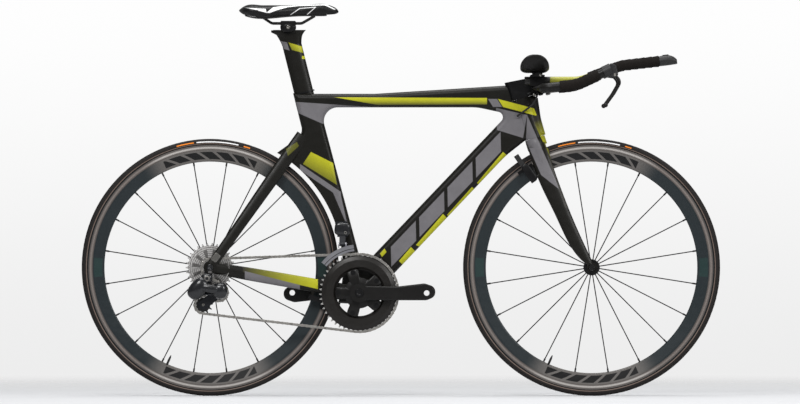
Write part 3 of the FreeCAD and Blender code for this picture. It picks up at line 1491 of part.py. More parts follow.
def brake_arm(centre, angle, side):
    """Brake arm with its pad: boss on the stud, tapering arm past the rim, pad facing the track."""
    radial, tangent = brake_axes(angle)
    pivot = brake_pivot(centre, angle, side)
    out = V(0, side, 0)
    inner = -BRAKE_ARM_T / 2
    outer = BRAKE_ARM_T / 2
    rows = [(-BRAKE_BOSS_R, inner), (-BRAKE_BOSS_R, outer), (PAD_LEVER, outer)]
    rows += [(BRAKE_ARM_L - BRAKE_BOSS_R, inner), (BRAKE_ARM_L - BRAKE_BOSS_R, inner * 3)]
    rows += [(PAD_LEVER + BRAKE_BOSS_R, inner)]
    points = [pivot + radial * along + out * across - tangent * (BRAKE_ARM_W / 2) for along, across in rows]
    radii = [BRAKE_ARM_T / 4, BRAKE_ARM_T / 4, BRAKE_ARM_L, BRAKE_ARM_T / 4, BRAKE_ARM_T / 4, BRAKE_ARM_L]
    arm = rounded_face(points, radii).extrude(tangent * BRAKE_ARM_W)
    pad_face = RIM_W / 2 + PAD_GAP
    holder_in = pad_face + PAD_BLOCK_T
    start = centre + radial * (RIM_R - TRACK_H / 2 - PAD_DROP)
    pad_mid = start + out * (pad_face + PAD_BLOCK_T / 2)
    half_pad = tangent * (PAD_BLOCK_L / 2)
    block = bar(pad_mid - half_pad, half_pad * 2, radial, out, PAD_BLOCK_H, PAD_BLOCK_T)
    holder = rod(PAD_BLOCK_H / 2, start + out * holder_in, start + out * BRAKE_PIVOT_Y)
    bolt_reach = tangent * BRAKE_ARM_W
    body = fuse([arm, holder, block])
    return body.cut(rod(STUD_R + RUN, pivot - bolt_reach, pivot + bolt_reach))

# Drivetrain


def pitch_radius(teeth):
    """Radius of the chain's pins on a sprocket."""
    return PITCH / (2 * sin(pi / teeth))


def toothed_face(teeth, centre, phase, bore):
    """Sprocket face: one gap per roller, straight flanks, flat tips, and a round bore."""
    middle = pitch_radius(teeth)
    root = middle - ROLLER_R - TOOTH_SEAT
    tip = middle + TOOTH_H
    root_turn = TOOTH_ROOT / 2 / root
    tip_turn = TOOTH_TIP / 2 / tip
    step = 2 * pi / teeth
    points = []
    for tooth in range(teeth):
        gap = radians(phase) + tooth * step
        for radius, turn in ((root, gap - root_turn), (root, gap + root_turn)):
            points.append(centre + V(radius * cos(turn), 0, radius * sin(turn)))
        crest = gap + step / 2
        for radius, turn in ((tip, crest - tip_turn), (tip, crest + tip_turn)):
            points.append(centre + V(radius * cos(turn), 0, radius * sin(turn)))
    outer = Part.makePolygon(points + [points[0]])
    hole = Part.Wire([Part.Circle(centre, Y_AXIS, bore).toShape()])
    return Part.Face(outer).cut(Part.Face(hole))


def sprocket(teeth, centre, phase, bore, thickness):
    """Toothed plate of a thickness about centre."""
    face = toothed_face(teeth, centre - V(0, thickness / 2, 0), phase, bore)
    return face.extrude(V(0, thickness, 0))


def tangent_points(first, first_radius, second, second_radius, first_side, second_side):
    """Ends of the straight run between two circles in side view.

    A side of 1 keeps the run on the left of its heading, -1 on the right.
    """
    across = second - first
    distance = hypot(across.x, across.z)
    bearing = atan2(across.z, across.x)
    swing = acos((first_side * first_radius - second_side * second_radius) / distance)
    normal = bearing + swing
    unit = V(cos(normal), 0, sin(normal))
    return first + unit * (first_side * first_radius), second + unit * (second_side * second_radius)


def chain_wheels(cage_turn):
    """Wheels that the chain goes round in order, with radius and side of the chain."""
    ring = V(BB_X, 0, BB_Z)
    cog = V(REAR_X, 0, AXLE_Z)
    guide = guide_centre()
    tension = polar(guide, PULLEY_SPACING, cage_turn)
    ring_r = pitch_radius(RING_TEETH)
    pulley_r = pitch_radius(PULLEY_TEETH)
    cog_r = pitch_radius(COG_TEETH[0])
    return [(ring, ring_r, 1), (tension, pulley_r, 1), (guide, pulley_r, -1), (cog, cog_r, 1)]


def guide_centre():
    """Centre of the guide pulley in side view."""
    return V(REAR_X + GUIDE_X, 0, AXLE_Z - GUIDE_DROP)


def chain_track(cage_turn):
    """Chain line as a list of runs and arcs, going down and back from the ring."""
    wheels = chain_wheels(cage_turn)
    runs = []
    for index, (centre, radius, side) in enumerate(wheels):
        other, other_radius, other_side = wheels[(index + 1) % len(wheels)]
        runs.append(tangent_points(centre, radius, other, other_radius, side, other_side))
    track = []
    for index, (centre, radius, side) in enumerate(wheels):
        start = runs[index - 1][1] - centre
        end = runs[index][0] - centre
        first = atan2(start.z, start.x)
        last = atan2(end.z, end.x)
        sweep = (first - last) % (2 * pi) if side > 0 else (last - first) % (2 * pi)
        track.append(("arc", centre, radius, first, -sweep if side > 0 else sweep))
        track.append(("run",) + runs[index])
    return track


def piece_length(piece):
    """Length of one run or arc of the chain line."""
    if piece[0] == "arc":
        return abs(piece[4]) * piece[2]
    return (piece[2] - piece[1]).Length


def track_point(track, distance):
    """Point of the chain line at a distance from its start, going round again past its end."""
    total = sum(piece_length(piece) for piece in track)
    distance = distance % total
    for piece in track:
        length = piece_length(piece)
        if distance <= length:
            break
        distance -= length
    share = distance / length
    if piece[0] == "arc":
        turn = piece[3] + piece[4] * share
        return piece[1] + V(piece[2] * cos(turn), 0, piece[2] * sin(turn))
    return piece[1] + (piece[2] - piece[1]) * share


def next_pin(track, distance):
    """Distance along the line of the pin one pitch further on."""
    here = track_point(track, distance)
    low = distance + PITCH * NEXT_SHARES[0]
    high = distance + PITCH * NEXT_SHARES[1]
    for attempt in range(BISECTIONS):
        middle = (low + high) / 2
        if (track_point(track, middle) - here).Length < PITCH:
            low = middle
        else:
            high = middle
    return (low + high) / 2


BISECTIONS = 40
NEXT_SHARES = (0.9, 1.2)


def chain_error(cage_turn, links):
    """How far the last pin overshoots the first after a number of links."""
    track = chain_track(cage_turn)
    distance = 0.0
    for link in range(links):
        distance = next_pin(track, distance)
    return distance - sum(piece_length(piece) for piece in track)


def solve_chain():
    """Number of links and cage angle at which the chain closes on itself."""
    track = chain_track(CAGE_ANGLE)
    total = sum(piece_length(piece) for piece in track)
    links = 2 * round(total / PITCH / 2)
    for reach in range(CAGE_STEPS):
        for way in BOTH_SIDES:
            near = CAGE_ANGLE + way * reach * CAGE_SEARCH
            far = near + way * CAGE_SEARCH
            if chain_error(near, links) * chain_error(far, links) <= 0:
                return links, close_chain(near, far, links)
    raise ValueError("the chain does not close on these sprockets")


def close_chain(near, far, links):
    """Cage angle between two others at which the chain closes."""
    near_error = chain_error(near, links)
    for attempt in range(CAGE_BISECTIONS):
        middle = (near + far) / 2
        error = chain_error(middle, links)
        if error * near_error > 0:
            near = middle
        else:
            far = middle
    return (near + far) / 2


CAGE_SEARCH = 5.0
CAGE_STEPS = 12
CAGE_BISECTIONS = 22


def pin_distances(track, links):
    """Distances of all pins along the chain line."""
    distances = [0.0]
    for link in range(links - 1):
        distances.append(next_pin(track, distances[-1]))
    return distances


def chain_offset(track, distance):
    """Sideways place of the chain: on the ring's line, the cog's line, or crossing between them."""
    lengths = [piece_length(piece) for piece in track]
    ring_arc, lower, tension, middle, guide, upper_short, cog, upper = lengths
    position = distance - ring_arc
    if position <= 0:
        return -CHAINLINE_Y
    if position <= lower:
        return -CHAINLINE_Y + (CHAINLINE_Y - COG_Y) * ease(position / lower)
    position -= lower + tension + middle + guide + upper_short + cog
    if position <= 0:
        return -COG_Y
    return -COG_Y + (COG_Y - CHAINLINE_Y) * ease(position / upper)


def ease(share):
    """Smooth step that stays level near both ends."""
    level = max(0.0, min(1.0, (share - LEVEL_SHARE) / (1 - 2 * LEVEL_SHARE)))
    return level * level * (3 - 2 * level)


LEVEL_SHARE = 0.14


def six_sided(centre, radius, start_y, end_y):
    """Six-sided bar along Y, used for rollers and pins."""
    points = []
    for corner in range(6):
        turn = pi * corner / 3
        points.append(centre + V(radius * cos(turn), start_y, radius * sin(turn)))
    return Part.Face(Part.makePolygon(points + [points[0]])).extrude(V(0, end_y - start_y, 0))


def link_plate(inner_y, outer_y):
    """Chain plate between two pins, waisted to six corners at each end."""
    half = PITCH / 2
    tall = PLATE_H / 2
    points = []
    for x_share, z_share in PLATE_SHARES:
        pin_x = half if x_share > 0 else -half
        x = pin_x + tall * x_share
        points.append(V(x, inner_y, tall * z_share))
    return Part.Face(Part.makePolygon(points + [points[0]])).extrude(V(0, outer_y - inner_y, 0))


PLATE_SHARES = (
    (1.0, -0.42),
    (1.0, 0.42),
    (0.42, 1.0),
    (-0.42, 1.0),
    (-1.0, 0.42),
    (-1.0, -0.42),
    (-0.42, -1.0),
    (0.42, -1.0),
)


def inner_link():
    """Inner link: two plates joined by two bushings with rollers, bored for the pins."""
    inside = INNER_W / 2
    outside = inside + PLATE_T
    parts = [link_plate(inside, outside), link_plate(-outside, -inside)]
    for side in BOTH_SIDES:
        parts.append(six_sided(V(side * PITCH / 2, 0, 0), ROLLER_R, -inside, inside))
    body = fuse(parts)
    for side in BOTH_SIDES:
        body = body.cut(six_sided(V(side * PITCH / 2, 0, 0), PIN_R + LINK_GAP, -outside * 2, outside * 2))
    return body


def outer_link():
    """Outer link: two plates joined by two pins."""
    inside = INNER_W / 2 + PLATE_T + LINK_GAP
    outside = inside + PLATE_T
    parts = [link_plate(inside, outside), link_plate(-outside, -inside)]
    for side in BOTH_SIDES:
        parts.append(six_sided(V(side * PITCH / 2, 0, 0), PIN_R, -inside, inside))
    return fuse(parts)


def chain(links, cage_turn):
    """Roller chain round the ring, the small cog and both pulleys."""
    track = chain_track(cage_turn)
    pins = []
    for distance in pin_distances(track, links):
        point = track_point(track, distance)
        pins.append(V(point.x, chain_offset(track, distance), point.z))
    shapes = (inner_link(), outer_link())
    solids = []
    for index, start in enumerate(pins):
        end = pins[(index + 1) % links]
        along = (end - start).normalize()
        up = along.cross(Y_AXIS).normalize()
        side = up.cross(along)
        middle = (start + end) / 2
        matrix = FreeCAD.Matrix(along.x, side.x, up.x, middle.x, along.y, side.y, up.y, middle.y)
        matrix.A31, matrix.A32, matrix.A33, matrix.A34 = along.z, side.z, up.z, middle.z
        link = shapes[index % 2].copy()
        link.Placement = FreeCAD.Placement(matrix)
        solids.append(link)
    return Part.makeCompound(solids)


def seat_phase(track, links, centre, radius):
    """Angle of a pin that lies on a wheel, so that the wheel's gaps take the rollers."""
    for distance in pin_distances(track, links):
        point = track_point(track, distance)
        across = point - centre
        if abs(hypot(across.x, across.z) - radius) < SMALL_SHARE * PITCH:
            return atan2(across.z, across.x) * 180 / pi
    return 0.0


def cassette(phase):
    """Cassette: sprockets on the freehub body, smallest outside, with a lockring."""
    centre = V(REAR_X, 0, AXLE_Z)
    solids = []
    for number, teeth in enumerate(COG_TEETH):
        y_value = -COG_Y + number * COG_PITCH
        solids.append(sprocket(teeth, centre + V(0, y_value, 0), phase, FREEHUB_R + RUN, SPROCKET_T))
    inner = centre + V(0, -REAR_FLANGE_DRIVE_Y - FLANGE_T / 2 - GAP, 0)
    outer = centre + V(0, -COG_Y - SPROCKET_T, 0)
    end = centre + V(0, -REAR_OLD / 2 + GAP, 0)
    body = ring_solid(FREEHUB_R, AXLE_R + RUN, outer, inner)
    lock = ring_solid(FREEHUB_R * LOCKRING_SHARE, AXLE_R + RUN, end, outer)
    solids.append(body.fuse(lock).removeSplitter())
    return Part.makeCompound(solids)


LOCKRING_SHARE = 0.8


def bolt_circle(y_value):
    """Centres of the chainring bolts at a sideways place."""
    centre = V(BB_X, y_value, BB_Z)
    turns = [SPIDER_TURN + 360.0 * arm / SPIDER_ARMS for arm in range(SPIDER_ARMS)]
    return [polar(centre, BOLT_CIRCLE_R, turn) for turn in turns]


SPIDER_TURN = -37.0


def ring_plate(teeth, y_value, phase, opening):
    """Chainring plate: teeth outside, opening inside, and a tab with a bolt hole at each spider arm."""
    centre = V(BB_X, y_value, BB_Z)
    plate = sprocket(teeth, centre, phase, opening, RING_T)
    half = V(0, RING_T / 2, 0)
    tabs = [rod(BOLT_R * TAB_SHARE, spot - half, spot + half) for spot in bolt_circle(y_value)]
    body = fuse([plate] + tabs)
    holes = [rod(BOLT_R + SEAT_FIT, spot - half * 4, spot + half * 4) for spot in bolt_circle(y_value)]
    return body.cut(Part.makeCompound(holes))


TAB_SHARE = 2.2


def outer_chainring(phase):
    """Outer chainring with a domed aero disc on its outer face."""
    plate = ring_plate(RING_TEETH, -CHAINLINE_Y, phase, RING_AERO_IN_R)
    face = -CHAINLINE_Y - RING_T / 2
    crest = face - RING_AERO_T
    width = RING_AERO_R - RING_AERO_IN_R
    rows = [(RING_AERO_IN_R, face + RING_T / 2), (RING_AERO_R, face + RING_T / 2), (RING_AERO_R, face)]
    rows += [(RING_AERO_R - width * DISC_SHARES[0], crest)]
    rows += [(RING_AERO_IN_R + width * DISC_SHARES[1], crest)]
    rows += [(RING_AERO_IN_R, face)]
    return fuse([plate, turned(rows, V(BB_X, 0, BB_Z))])


DISC_SHARES = (0.3, 0.14)


def inner_chainring(phase):
    """Small chainring inside the outer one."""
    opening = pitch_radius(INNER_TEETH) - ROLLER_R * INNER_RIM_SHARE
    return ring_plate(INNER_TEETH, -CHAINLINE_Y + RING_GAP, phase, opening)


INNER_RIM_SHARE = 2.4


def chainring_bolts():
    """Bolts through spider and rings, each with a spacer between the rings."""
    outer_face = -CHAINLINE_Y - RING_T / 2 - SEAT_FIT - SPIDER_T
    inner_face = -CHAINLINE_Y + RING_GAP + RING_T / 2
    spacer_out = -CHAINLINE_Y + RING_T / 2 + RUN
    spacer_in = -CHAINLINE_Y + RING_GAP - RING_T / 2 - RUN
    bolts = []
    for spot in bolt_circle(0):
        head = rod(BOLT_HEAD_R, spot + V(0, outer_face - BOLT_HEAD_T, 0), spot + V(0, outer_face - RUN, 0))
        shank = rod(BOLT_R, spot + V(0, outer_face - BOLT_HEAD_T, 0), spot + V(0, inner_face, 0))
        spacer = rod(BOLT_HEAD_R, spot + V(0, spacer_out, 0), spot + V(0, spacer_in, 0))
        bolts.append(fuse([head, shank, spacer]))
    return Part.makeCompound(bolts)


def crank_arm(boss_y):
    """Crank arm pointing forward on the drive side; its boss reaches in to boss_y from the middle."""
    points = [(BB_X + CRANK_L * x, BB_Z + CRANK_TIP_R * z) for x, z, bend in CRANK_SHARES]
    radii = [CRANK_TIP_R * bend for x, z, bend in CRANK_SHARES]
    arm = side_plate(points, radii, -CRANK_IN_Y - CRANK_T, -CRANK_IN_Y)
    arm = arm.makeFillet(CRANK_EDGE_R, long_edges(arm))
    boss = rod(CRANK_BOSS_R, V(BB_X, -boss_y, BB_Z), V(BB_X, -CRANK_IN_Y - CRANK_T, BB_Z))
    eye = V(BB_X + CRANK_L, 0, BB_Z)
    thread = rod(PEDAL_R, eye - V(0, CRANK_IN_Y * 2, 0), eye)
    return fuse([arm, boss]).cut(thread)


CRANK_SHARES = (
    (0.0, 0.9, 0.0),
    (0.55, 0.8, 4.0),
    (0.97, 1.2, 1.0),
    (1.128, 0.75, 0.8),
    (1.128, -0.45, 0.8),
    (1.0, -0.9, 1.0),
    (0.0, -0.9, 0.0),
)


def spider_arm(number):
    """One spider arm from the boss to its chainring bolt."""
    centre = V(BB_X, 0, BB_Z)
    half_root = SPIDER_ARM_ROOT_W / 2
    half_tip = SPIDER_ARM_TIP_W / 2
    outer_y = -CHAINLINE_Y - RING_T / 2 - SEAT_FIT - SPIDER_T
    tip = RING_AERO_IN_R - GAP
    points = [(centre.x, centre.z - half_root), (centre.x + tip, centre.z - half_tip)]
    points += [(centre.x + tip, centre.z + half_tip), (centre.x, centre.z + half_root)]
    bend = half_tip * TIP_ROUND_SHARE
    arm = side_plate(points, [0, bend, bend, 0], outer_y, outer_y + SPIDER_T)
    arm.rotate(centre, Y_AXIS, -(SPIDER_TURN + 360.0 * number / SPIDER_ARMS))
    return arm


TIP_ROUND_SHARE = 0.9


def boss_reach():
    """Distance from the middle at which the crank bosses end, beside the bearing cups."""
    return BB_SHELL_W / 2 + BB_CUP_FLANGE_T + GAP


def drive_crank():
    """Drive crank as three solids: the arm, the spider with its boss, and the spindle."""
    end = CRANK_IN_Y + CRANK_T * SPINDLE_END_SHARE
    left_end = V(BB_X, end, BB_Z)
    right_end = V(BB_X, -end, BB_Z)
    spindle = rod(SPINDLE_R, right_end, left_end)
    bore = rod(SPINDLE_R + SEAT_FIT, right_end - V(0, GAP, 0), left_end)
    boss = rod(CRANK_BOSS_R, V(BB_X, -boss_reach(), BB_Z), V(BB_X, -CRANK_IN_Y + SEAT_FIT, BB_Z))
    arms = [spider_arm(number) for number in range(SPIDER_ARMS)]
    deep = V(0, CRANK_IN_Y - CRANK_EDGE_R, 0)
    holes = [rod(BOLT_R + SEAT_FIT, spot - deep, spot) for spot in bolt_circle(0)]
    spider = fuse([boss] + arms).cut(bore).cut(Part.makeCompound(holes))
    face = V(BB_X, -CRANK_IN_Y - CRANK_T, BB_Z)
    socket = rod(CRANK_CAP_R, face, face + V(0, CRANK_CAP_DEPTH, 0))
    arm = crank_arm(CRANK_IN_Y).cut(bore).cut(socket)
    return Part.makeCompound(arm.Solids + spider.Solids + [spindle])


SPINDLE_END_SHARE = 0.7


def left_crank():
    """Left crank, opposite the drive crank, bored for the spindle."""
    arm = mirrored(crank_arm(boss_reach()))
    arm.rotate(V(BB_X, 0, BB_Z), Y_AXIS, 180)
    bore_out = CRANK_IN_Y + CRANK_T * SPINDLE_END_SHARE + GAP
    return arm.cut(rod(SPINDLE_R + SEAT_FIT, V(BB_X, 0, BB_Z), V(BB_X, bore_out, BB_Z)))

# Rear derailleur


def rd_axes():
    """Axis of the linkage pivots and the direction that the lower knuckle moves in, both unit vectors."""
    slant = radians(RD_SLANT)
    return V(0, sin(slant), cos(slant)), V(0, cos(slant), -sin(slant))


def rd_root():
    """Middle of the two linkage pivots on the upper knuckle."""
    eye = hanger_eye()
    return V(eye.x - RD_BACK, -REAR_OLD / 2 - HANGER_T - RD_OUT, eye.z - RD_DROP)


def rd_pivots(start):
    """Pivot points of the outer and the inner link, about a middle point."""
    axis, travel = rd_axes()
    return start - travel * (RD_LINK_GAP / 2), start + travel * (RD_LINK_GAP / 2)


def rd_plate(points, low, high):
    """Plate square to the pivot axis, with an outline given in (forward, travel) pairs about the root."""
    axis, travel = rd_axes()
    root = rd_root() + axis * low
    corners = [root + V(forward, 0, 0) + travel * across for forward, across in points]
    radii = [RD_LINK_T] * len(corners)
    return rounded_face(corners, radii).extrude(axis * (high - low))


def rd_link(start):
    """Link between the knuckles: flat bar with a round eye at each end."""
    axis, travel = rd_axes()
    base = start - axis * (RD_LINK_H / 2)
    half = travel * (RD_LINK_T / 2)
    reach = V(RD_LINK_L, 0, 0)
    corners = [base - half, base + half, base + half + reach, base - half + reach]
    body = Part.Face(Part.makePolygon(corners + [corners[0]])).extrude(axis * RD_LINK_H)
    eyes = []
    holes = []
    for spot in (base, base + reach):
        eyes.append(rod(RD_LINK_T * EYE_SHARE, spot, spot + axis * RD_LINK_H))
        holes.append(rod(RD_PIVOT_R + RUN, spot - axis * RD_LINK_H, spot + axis * (RD_LINK_H * 2)))
    return fuse([body] + eyes).cut(Part.makeCompound(holes))


EYE_SHARE = 0.9


def rd_ears(outline):
    """Pair of ears above and below the links."""
    inner = RD_LINK_H / 2 + GAP
    outer = inner + RD_LINK_T
    return [rd_plate(outline, inner, outer), rd_plate(outline, -outer, -inner)]


def rd_pins(forward):
    """Pins of the two links through a pair of ears."""
    axis, travel = rd_axes()
    reach = axis * (RD_LINK_H / 2 + GAP + RD_LINK_T)
    pivots = rd_pivots(rd_root() + V(forward, 0, 0))
    return [rod(RD_PIVOT_R, pivot - reach, pivot + reach) for pivot in pivots]


def link_rooms(body, forward, way):
    """A knuckle with the room that the links sweep between its ears."""
    axis, travel = rd_axes()
    half = axis * (RD_LINK_H / 2 + GAP)
    for pivot in rd_pivots(rd_root() + V(forward, 0, 0)):
        body = body.cut(rod(RD_LINK_T * EYE_SHARE + GAP, pivot - half, pivot + half))
        for swing in RD_SWINGS:
            turn = radians(swing)
            heading = V(way, 0, 0) * cos(turn) + travel * (way * sin(turn))
            thick = axis.cross(heading)
            room = bar(pivot, heading * RD_LINK_L, axis, thick, half.Length * 2, RD_LINK_T + GAP * 2)
            body = body.cut(room)
    return body


RD_SWINGS = (0.0, 12.5, 25.0, 37.5, 50.0)


def rd_knuckle():
    """Upper knuckle: boss with the hanger bolt, body block and ears for the links."""
    eye = hanger_eye()
    face = -REAR_OLD / 2 - HANGER_T - GAP
    boss = rod(RD_KNUCKLE_R, V(eye.x, face, eye.z), V(eye.x, face - RD_KNUCKLE_W, eye.z))
    bolt = rod(HANGER_BOLT_R, V(eye.x, face, eye.z), V(eye.x, -REAR_OLD / 2 - GAP, eye.z))
    wide = RD_LINK_GAP / 2 + RD_LINK_T * EAR_SHARE
    back = -RD_BODY_L * BODY_BACK_SHARE
    ear = [(back, -wide), (back, wide), (RD_LINK_T * EAR_SHARE, wide), (RD_LINK_T * EAR_SHARE, -wide)]
    tall = RD_LINK_H / 2 + GAP + RD_LINK_T
    far = back - RD_BODY_L * BODY_SHARE
    block = rd_plate([(far, -wide), (far, wide), (back, wide), (back, -wide)], -tall, tall)
    neck_low = rd_root() + V(back - RD_KNUCKLE_R / 2, 0, RD_KNUCKLE_R)
    neck = rod(RD_KNUCKLE_R * NECK_SHARE, V(eye.x, neck_low.y, eye.z), neck_low)
    body = link_rooms(fuse([boss, bolt, block, neck] + rd_ears(ear)), 0, 1)
    body = fuse([body] + rd_pins(0))
    ring = V(eye.x, face - RD_KNUCKLE_W, eye.z)
    return body.cut(rod(RD_BOLT_R, ring, ring + V(0, RD_KNUCKLE_W / 4, 0)))


BODY_BACK_SHARE = 0.28
BODY_SHARE = 0.55
EAR_SHARE = 1.3
NECK_SHARE = 0.8


def cage_pivot():
    """Axis of the cage on the lower knuckle, in side view."""
    guide = guide_centre()
    return V(guide.x + CAGE_SKEW, 0, guide.z + CAGE_SKEW * CAGE_RISE_SHARE)


CAGE_RISE_SHARE = 0.3


def cage_faces():
    """Sideways places of the cage's outer plate: its inner and outer face."""
    inner = -COG_Y - CAGE_GAP / 2
    return inner, inner - CAGE_T


def rd_p_knuckle():
    """Lower knuckle: ears for the links, block in front of them and the cage pivot."""
    wide = RD_LINK_GAP / 2 + RD_LINK_T * EAR_SHARE
    start = RD_LINK_L - RD_LINK_T * EAR_SHARE
    front = RD_LINK_L + RD_LINK_T * P_EAR_SHARE
    ear = [(start, -wide), (start, wide), (front, wide), (front, -wide)]
    tall = RD_LINK_H / 2 + GAP + RD_LINK_T
    far = front + RD_PKNUCKLE_L * P_BLOCK_SHARE
    block = rd_plate([(front, -wide), (front, wide), (far, wide), (far, -wide)], -tall, tall)
    pivot = cage_pivot()
    inner_y = cage_faces()[1] - GAP
    root = rd_root()
    boss = rod(RD_KNUCKLE_R, V(pivot.x, inner_y, pivot.z), V(pivot.x, root.y, pivot.z))
    pin = rod(RD_BOLT_R, V(pivot.x, cage_faces()[0] - GAP, pivot.z), V(pivot.x, root.y, pivot.z))
    body = link_rooms(fuse([block, boss] + rd_ears(ear)), RD_LINK_L, -1)
    far_side = Part.makeBox(RD_LINK_L * 4, RD_LINK_L, RD_LINK_L * 4)
    far_side.translate(V(pivot.x - RD_LINK_L * 2, inner_y, pivot.z - RD_LINK_L * 2))
    return fuse([body.cut(far_side), pin] + rd_pins(RD_LINK_L))


P_EAR_SHARE = 1.6
P_BLOCK_SHARE = 0.62


def rd_cage(cage_turn):
    """Cage: two plates round the pulleys, joined by the pulley bolts, bored for the cage pivot."""
    guide = guide_centre()
    tension = polar(guide, PULLEY_SPACING, cage_turn)
    pivot = cage_pivot()
    along = (tension - guide).normalize()
    across = V(-along.z, 0, along.x)
    half = CAGE_W / 2
    inner, outer = cage_faces()
    inboard = -COG_Y + CAGE_GAP / 2
    corners = [guide - along * half - across * half, guide - along * half + across * half]
    corners += [tension + along * half + across * half, tension + along * half - across * half]
    outline = [(point.x, point.z) for point in corners]
    radii = [half * CAGE_ROUND_SHARE] * 4
    out_plate = side_plate(outline, radii, outer, inner)
    lug = rod(RD_KNUCKLE_R * LUG_SHARE, V(pivot.x, outer, pivot.z), V(pivot.x, inner, pivot.z))
    in_plate = side_plate(outline, radii, inboard, inboard + CAGE_T)
    bolts = []
    for spot in (guide, tension):
        bolts.append(rod(PULLEY_BORE_R, V(spot.x, outer, spot.z), V(spot.x, inboard + CAGE_T, spot.z)))
    body = fuse([out_plate, in_plate, lug] + bolts)
    hole = rod(RD_BOLT_R + RUN, V(pivot.x, outer - CAGE_T, pivot.z), V(pivot.x, inner + CAGE_T, pivot.z))
    return body.cut(hole)


CAGE_ROUND_SHARE = 0.9
LUG_SHARE = 0.75


def pulley(centre, phase):
    """Jockey pulley on its bolt."""
    return sprocket(PULLEY_TEETH, centre + V(0, -COG_Y, 0), phase, PULLEY_BORE_R + RUN, PULLEY_T)


# Front derailleur


def fd_root():
    """Pivot of the front derailleur's link on its body."""
    return V(FD_X, -HALF_W - FD_BODY_T, FD_Z - FD_BODY_H / 2)


def fd_hang():
    """Pivot of the cage at the lower end of the link."""
    turn = radians(FD_LINK_ANGLE)
    return fd_root() + V(0, -FD_LINK_L * sin(turn), -FD_LINK_L * cos(turn))


def fd_body():
    """Front derailleur body on the side of the seat tube, with ears for the link."""
    half = FD_BODY_L / 2
    tall = FD_BODY_H / 2
    lean = FD_BODY_H / 2 / tan(radians(SEAT_ANGLE))
    outline = [(FD_X - half + lean, FD_Z - tall), (FD_X - half - lean, FD_Z + tall)]
    outline += [(FD_X + half - lean, FD_Z + tall), (FD_X + half + lean, FD_Z - tall)]
    radii = [FD_BODY_T / 3] * 4
    block = side_plate(outline, radii, -HALF_W - FD_BODY_T, -HALF_W - SEAT_FIT)
    root = fd_root()
    parts = [block]
    for side in BOTH_SIDES:
        near = root + V(side * (FD_LINK_W / 2 + GAP), 0, 0)
        far = near + V(side * FD_LINK_T, 0, 0)
        parts.append(rod(FD_LINK_T, near, far))
    reach = V(FD_LINK_W / 2 + GAP + FD_LINK_T / 2, 0, 0)
    body = fuse(parts)
    room = rod(FD_LINK_T + GAP, root - V(FD_LINK_W / 2 + GAP, 0, 0), root + V(FD_LINK_W / 2 + GAP, 0, 0))
    return fuse([body.cut(room), rod(FD_PIVOT_R, root - reach, root + reach)])


def fd_link():
    """Link between the front derailleur's body and its cage."""
    root = fd_root()
    hang = fd_hang()
    half = V(FD_LINK_W / 2, 0, 0)
    along = (hang - root).normalize()
    thick = V(1, 0, 0).cross(along)
    web = bar(root - half, half * 2, along, thick, FD_LINK_L * 2, FD_LINK_T)
    keep = bar(root, hang - root, V(1, 0, 0), thick, FD_LINK_W, FD_LINK_T)
    parts = [web.common(keep)]
    holes = []
    for spot in (root, hang):
        parts.append(rod(FD_LINK_T, spot - half, spot + half))
        holes.append(rod(FD_PIVOT_R + RUN, spot - half * 2, spot + half * 2))
    return fuse(parts).cut(Part.makeCompound(holes))


def fd_sector(inner_r, outer_r, start, end, y_low, y_high):
    """Part of a ring about the bottom bracket between two angles."""
    centre = V(BB_X, y_low, BB_Z)
    middle = (start + end) / 2
    low_arc = [polar(centre, inner_r, turn) for turn in (start, middle, end)]
    high_arc = [polar(centre, outer_r, turn) for turn in (end, middle, start)]
    edges = [Part.Arc(*low_arc).toShape()]
    edges.append(Part.LineSegment(polar(centre, inner_r, end), polar(centre, outer_r, end)).toShape())
    edges.append(Part.Arc(*high_arc).toShape())
    edges.append(Part.LineSegment(polar(centre, outer_r, start), polar(centre, inner_r, start)).toShape())
    return Part.Face(Part.Wire(edges)).extrude(V(0, y_high - y_low, 0))


def fd_cage():
    """Front derailleur cage: two curved plates over the outer ring, bridged above and behind the chain."""
    half = FD_CAGE_GAP / 2
    out_y = -CHAINLINE_Y - half
    in_y = -CHAINLINE_Y + half
    outer_r = FD_CAGE_IN_R + FD_CAGE_H
    parts = [fd_sector(FD_CAGE_IN_R, outer_r, FD_CAGE_START, FD_CAGE_END, out_y - FD_CAGE_T, out_y)]
    parts.append(fd_sector(FD_CAGE_IN_R, outer_r, FD_CAGE_START, FD_CAGE_END, in_y, in_y + FD_CAGE_T))
    bridge = FD_CAGE_H * FD_BRIDGE_SHARE
    tail = FD_CAGE_END - FD_TAIL_TURN
    parts.append(fd_sector(FD_CAGE_IN_R, FD_CAGE_IN_R + bridge, tail, FD_CAGE_END, out_y, in_y))
    hang = fd_hang()
    across = hang - V(BB_X, hang.y, BB_Z)
    turn = atan2(across.z, across.x) * 180 / pi
    spread = FD_TAIL_TURN / 2
    parts.append(fd_sector(outer_r - FD_CAGE_T, outer_r, turn - spread * 3, turn + spread * 3, out_y, in_y))
    for side in BOTH_SIDES:
        near = hang + V(side * (FD_LINK_W / 2 + GAP), 0, 0)
        far = near + V(side * FD_LINK_T / 2, 0, 0)
        parts.append(rod(FD_LINK_T, near, far))
        low = polar(V(BB_X, hang.y, BB_Z), outer_r - FD_CAGE_T / 2, turn)
        span = far - near
        up = V(0, 0, 1)
        parts.append(bar(V(near.x, hang.y, low.z), span, Y_AXIS, up, FD_LINK_T * 2, FD_LINK_T))
        rise = bar(V(near.x, hang.y, (low.z + hang.z) / 2), span, Y_AXIS, up, FD_LINK_T, hang.z - low.z)
        parts.append(rise)
    reach = V(FD_LINK_W / 2 + GAP + FD_LINK_T / 2, 0, 0)
    parts.append(rod(FD_PIVOT_R, hang - reach, hang + reach))
    return fuse(parts)


FD_BRIDGE_SHARE = 0.35
FD_TAIL_TURN = 3.5


# Build


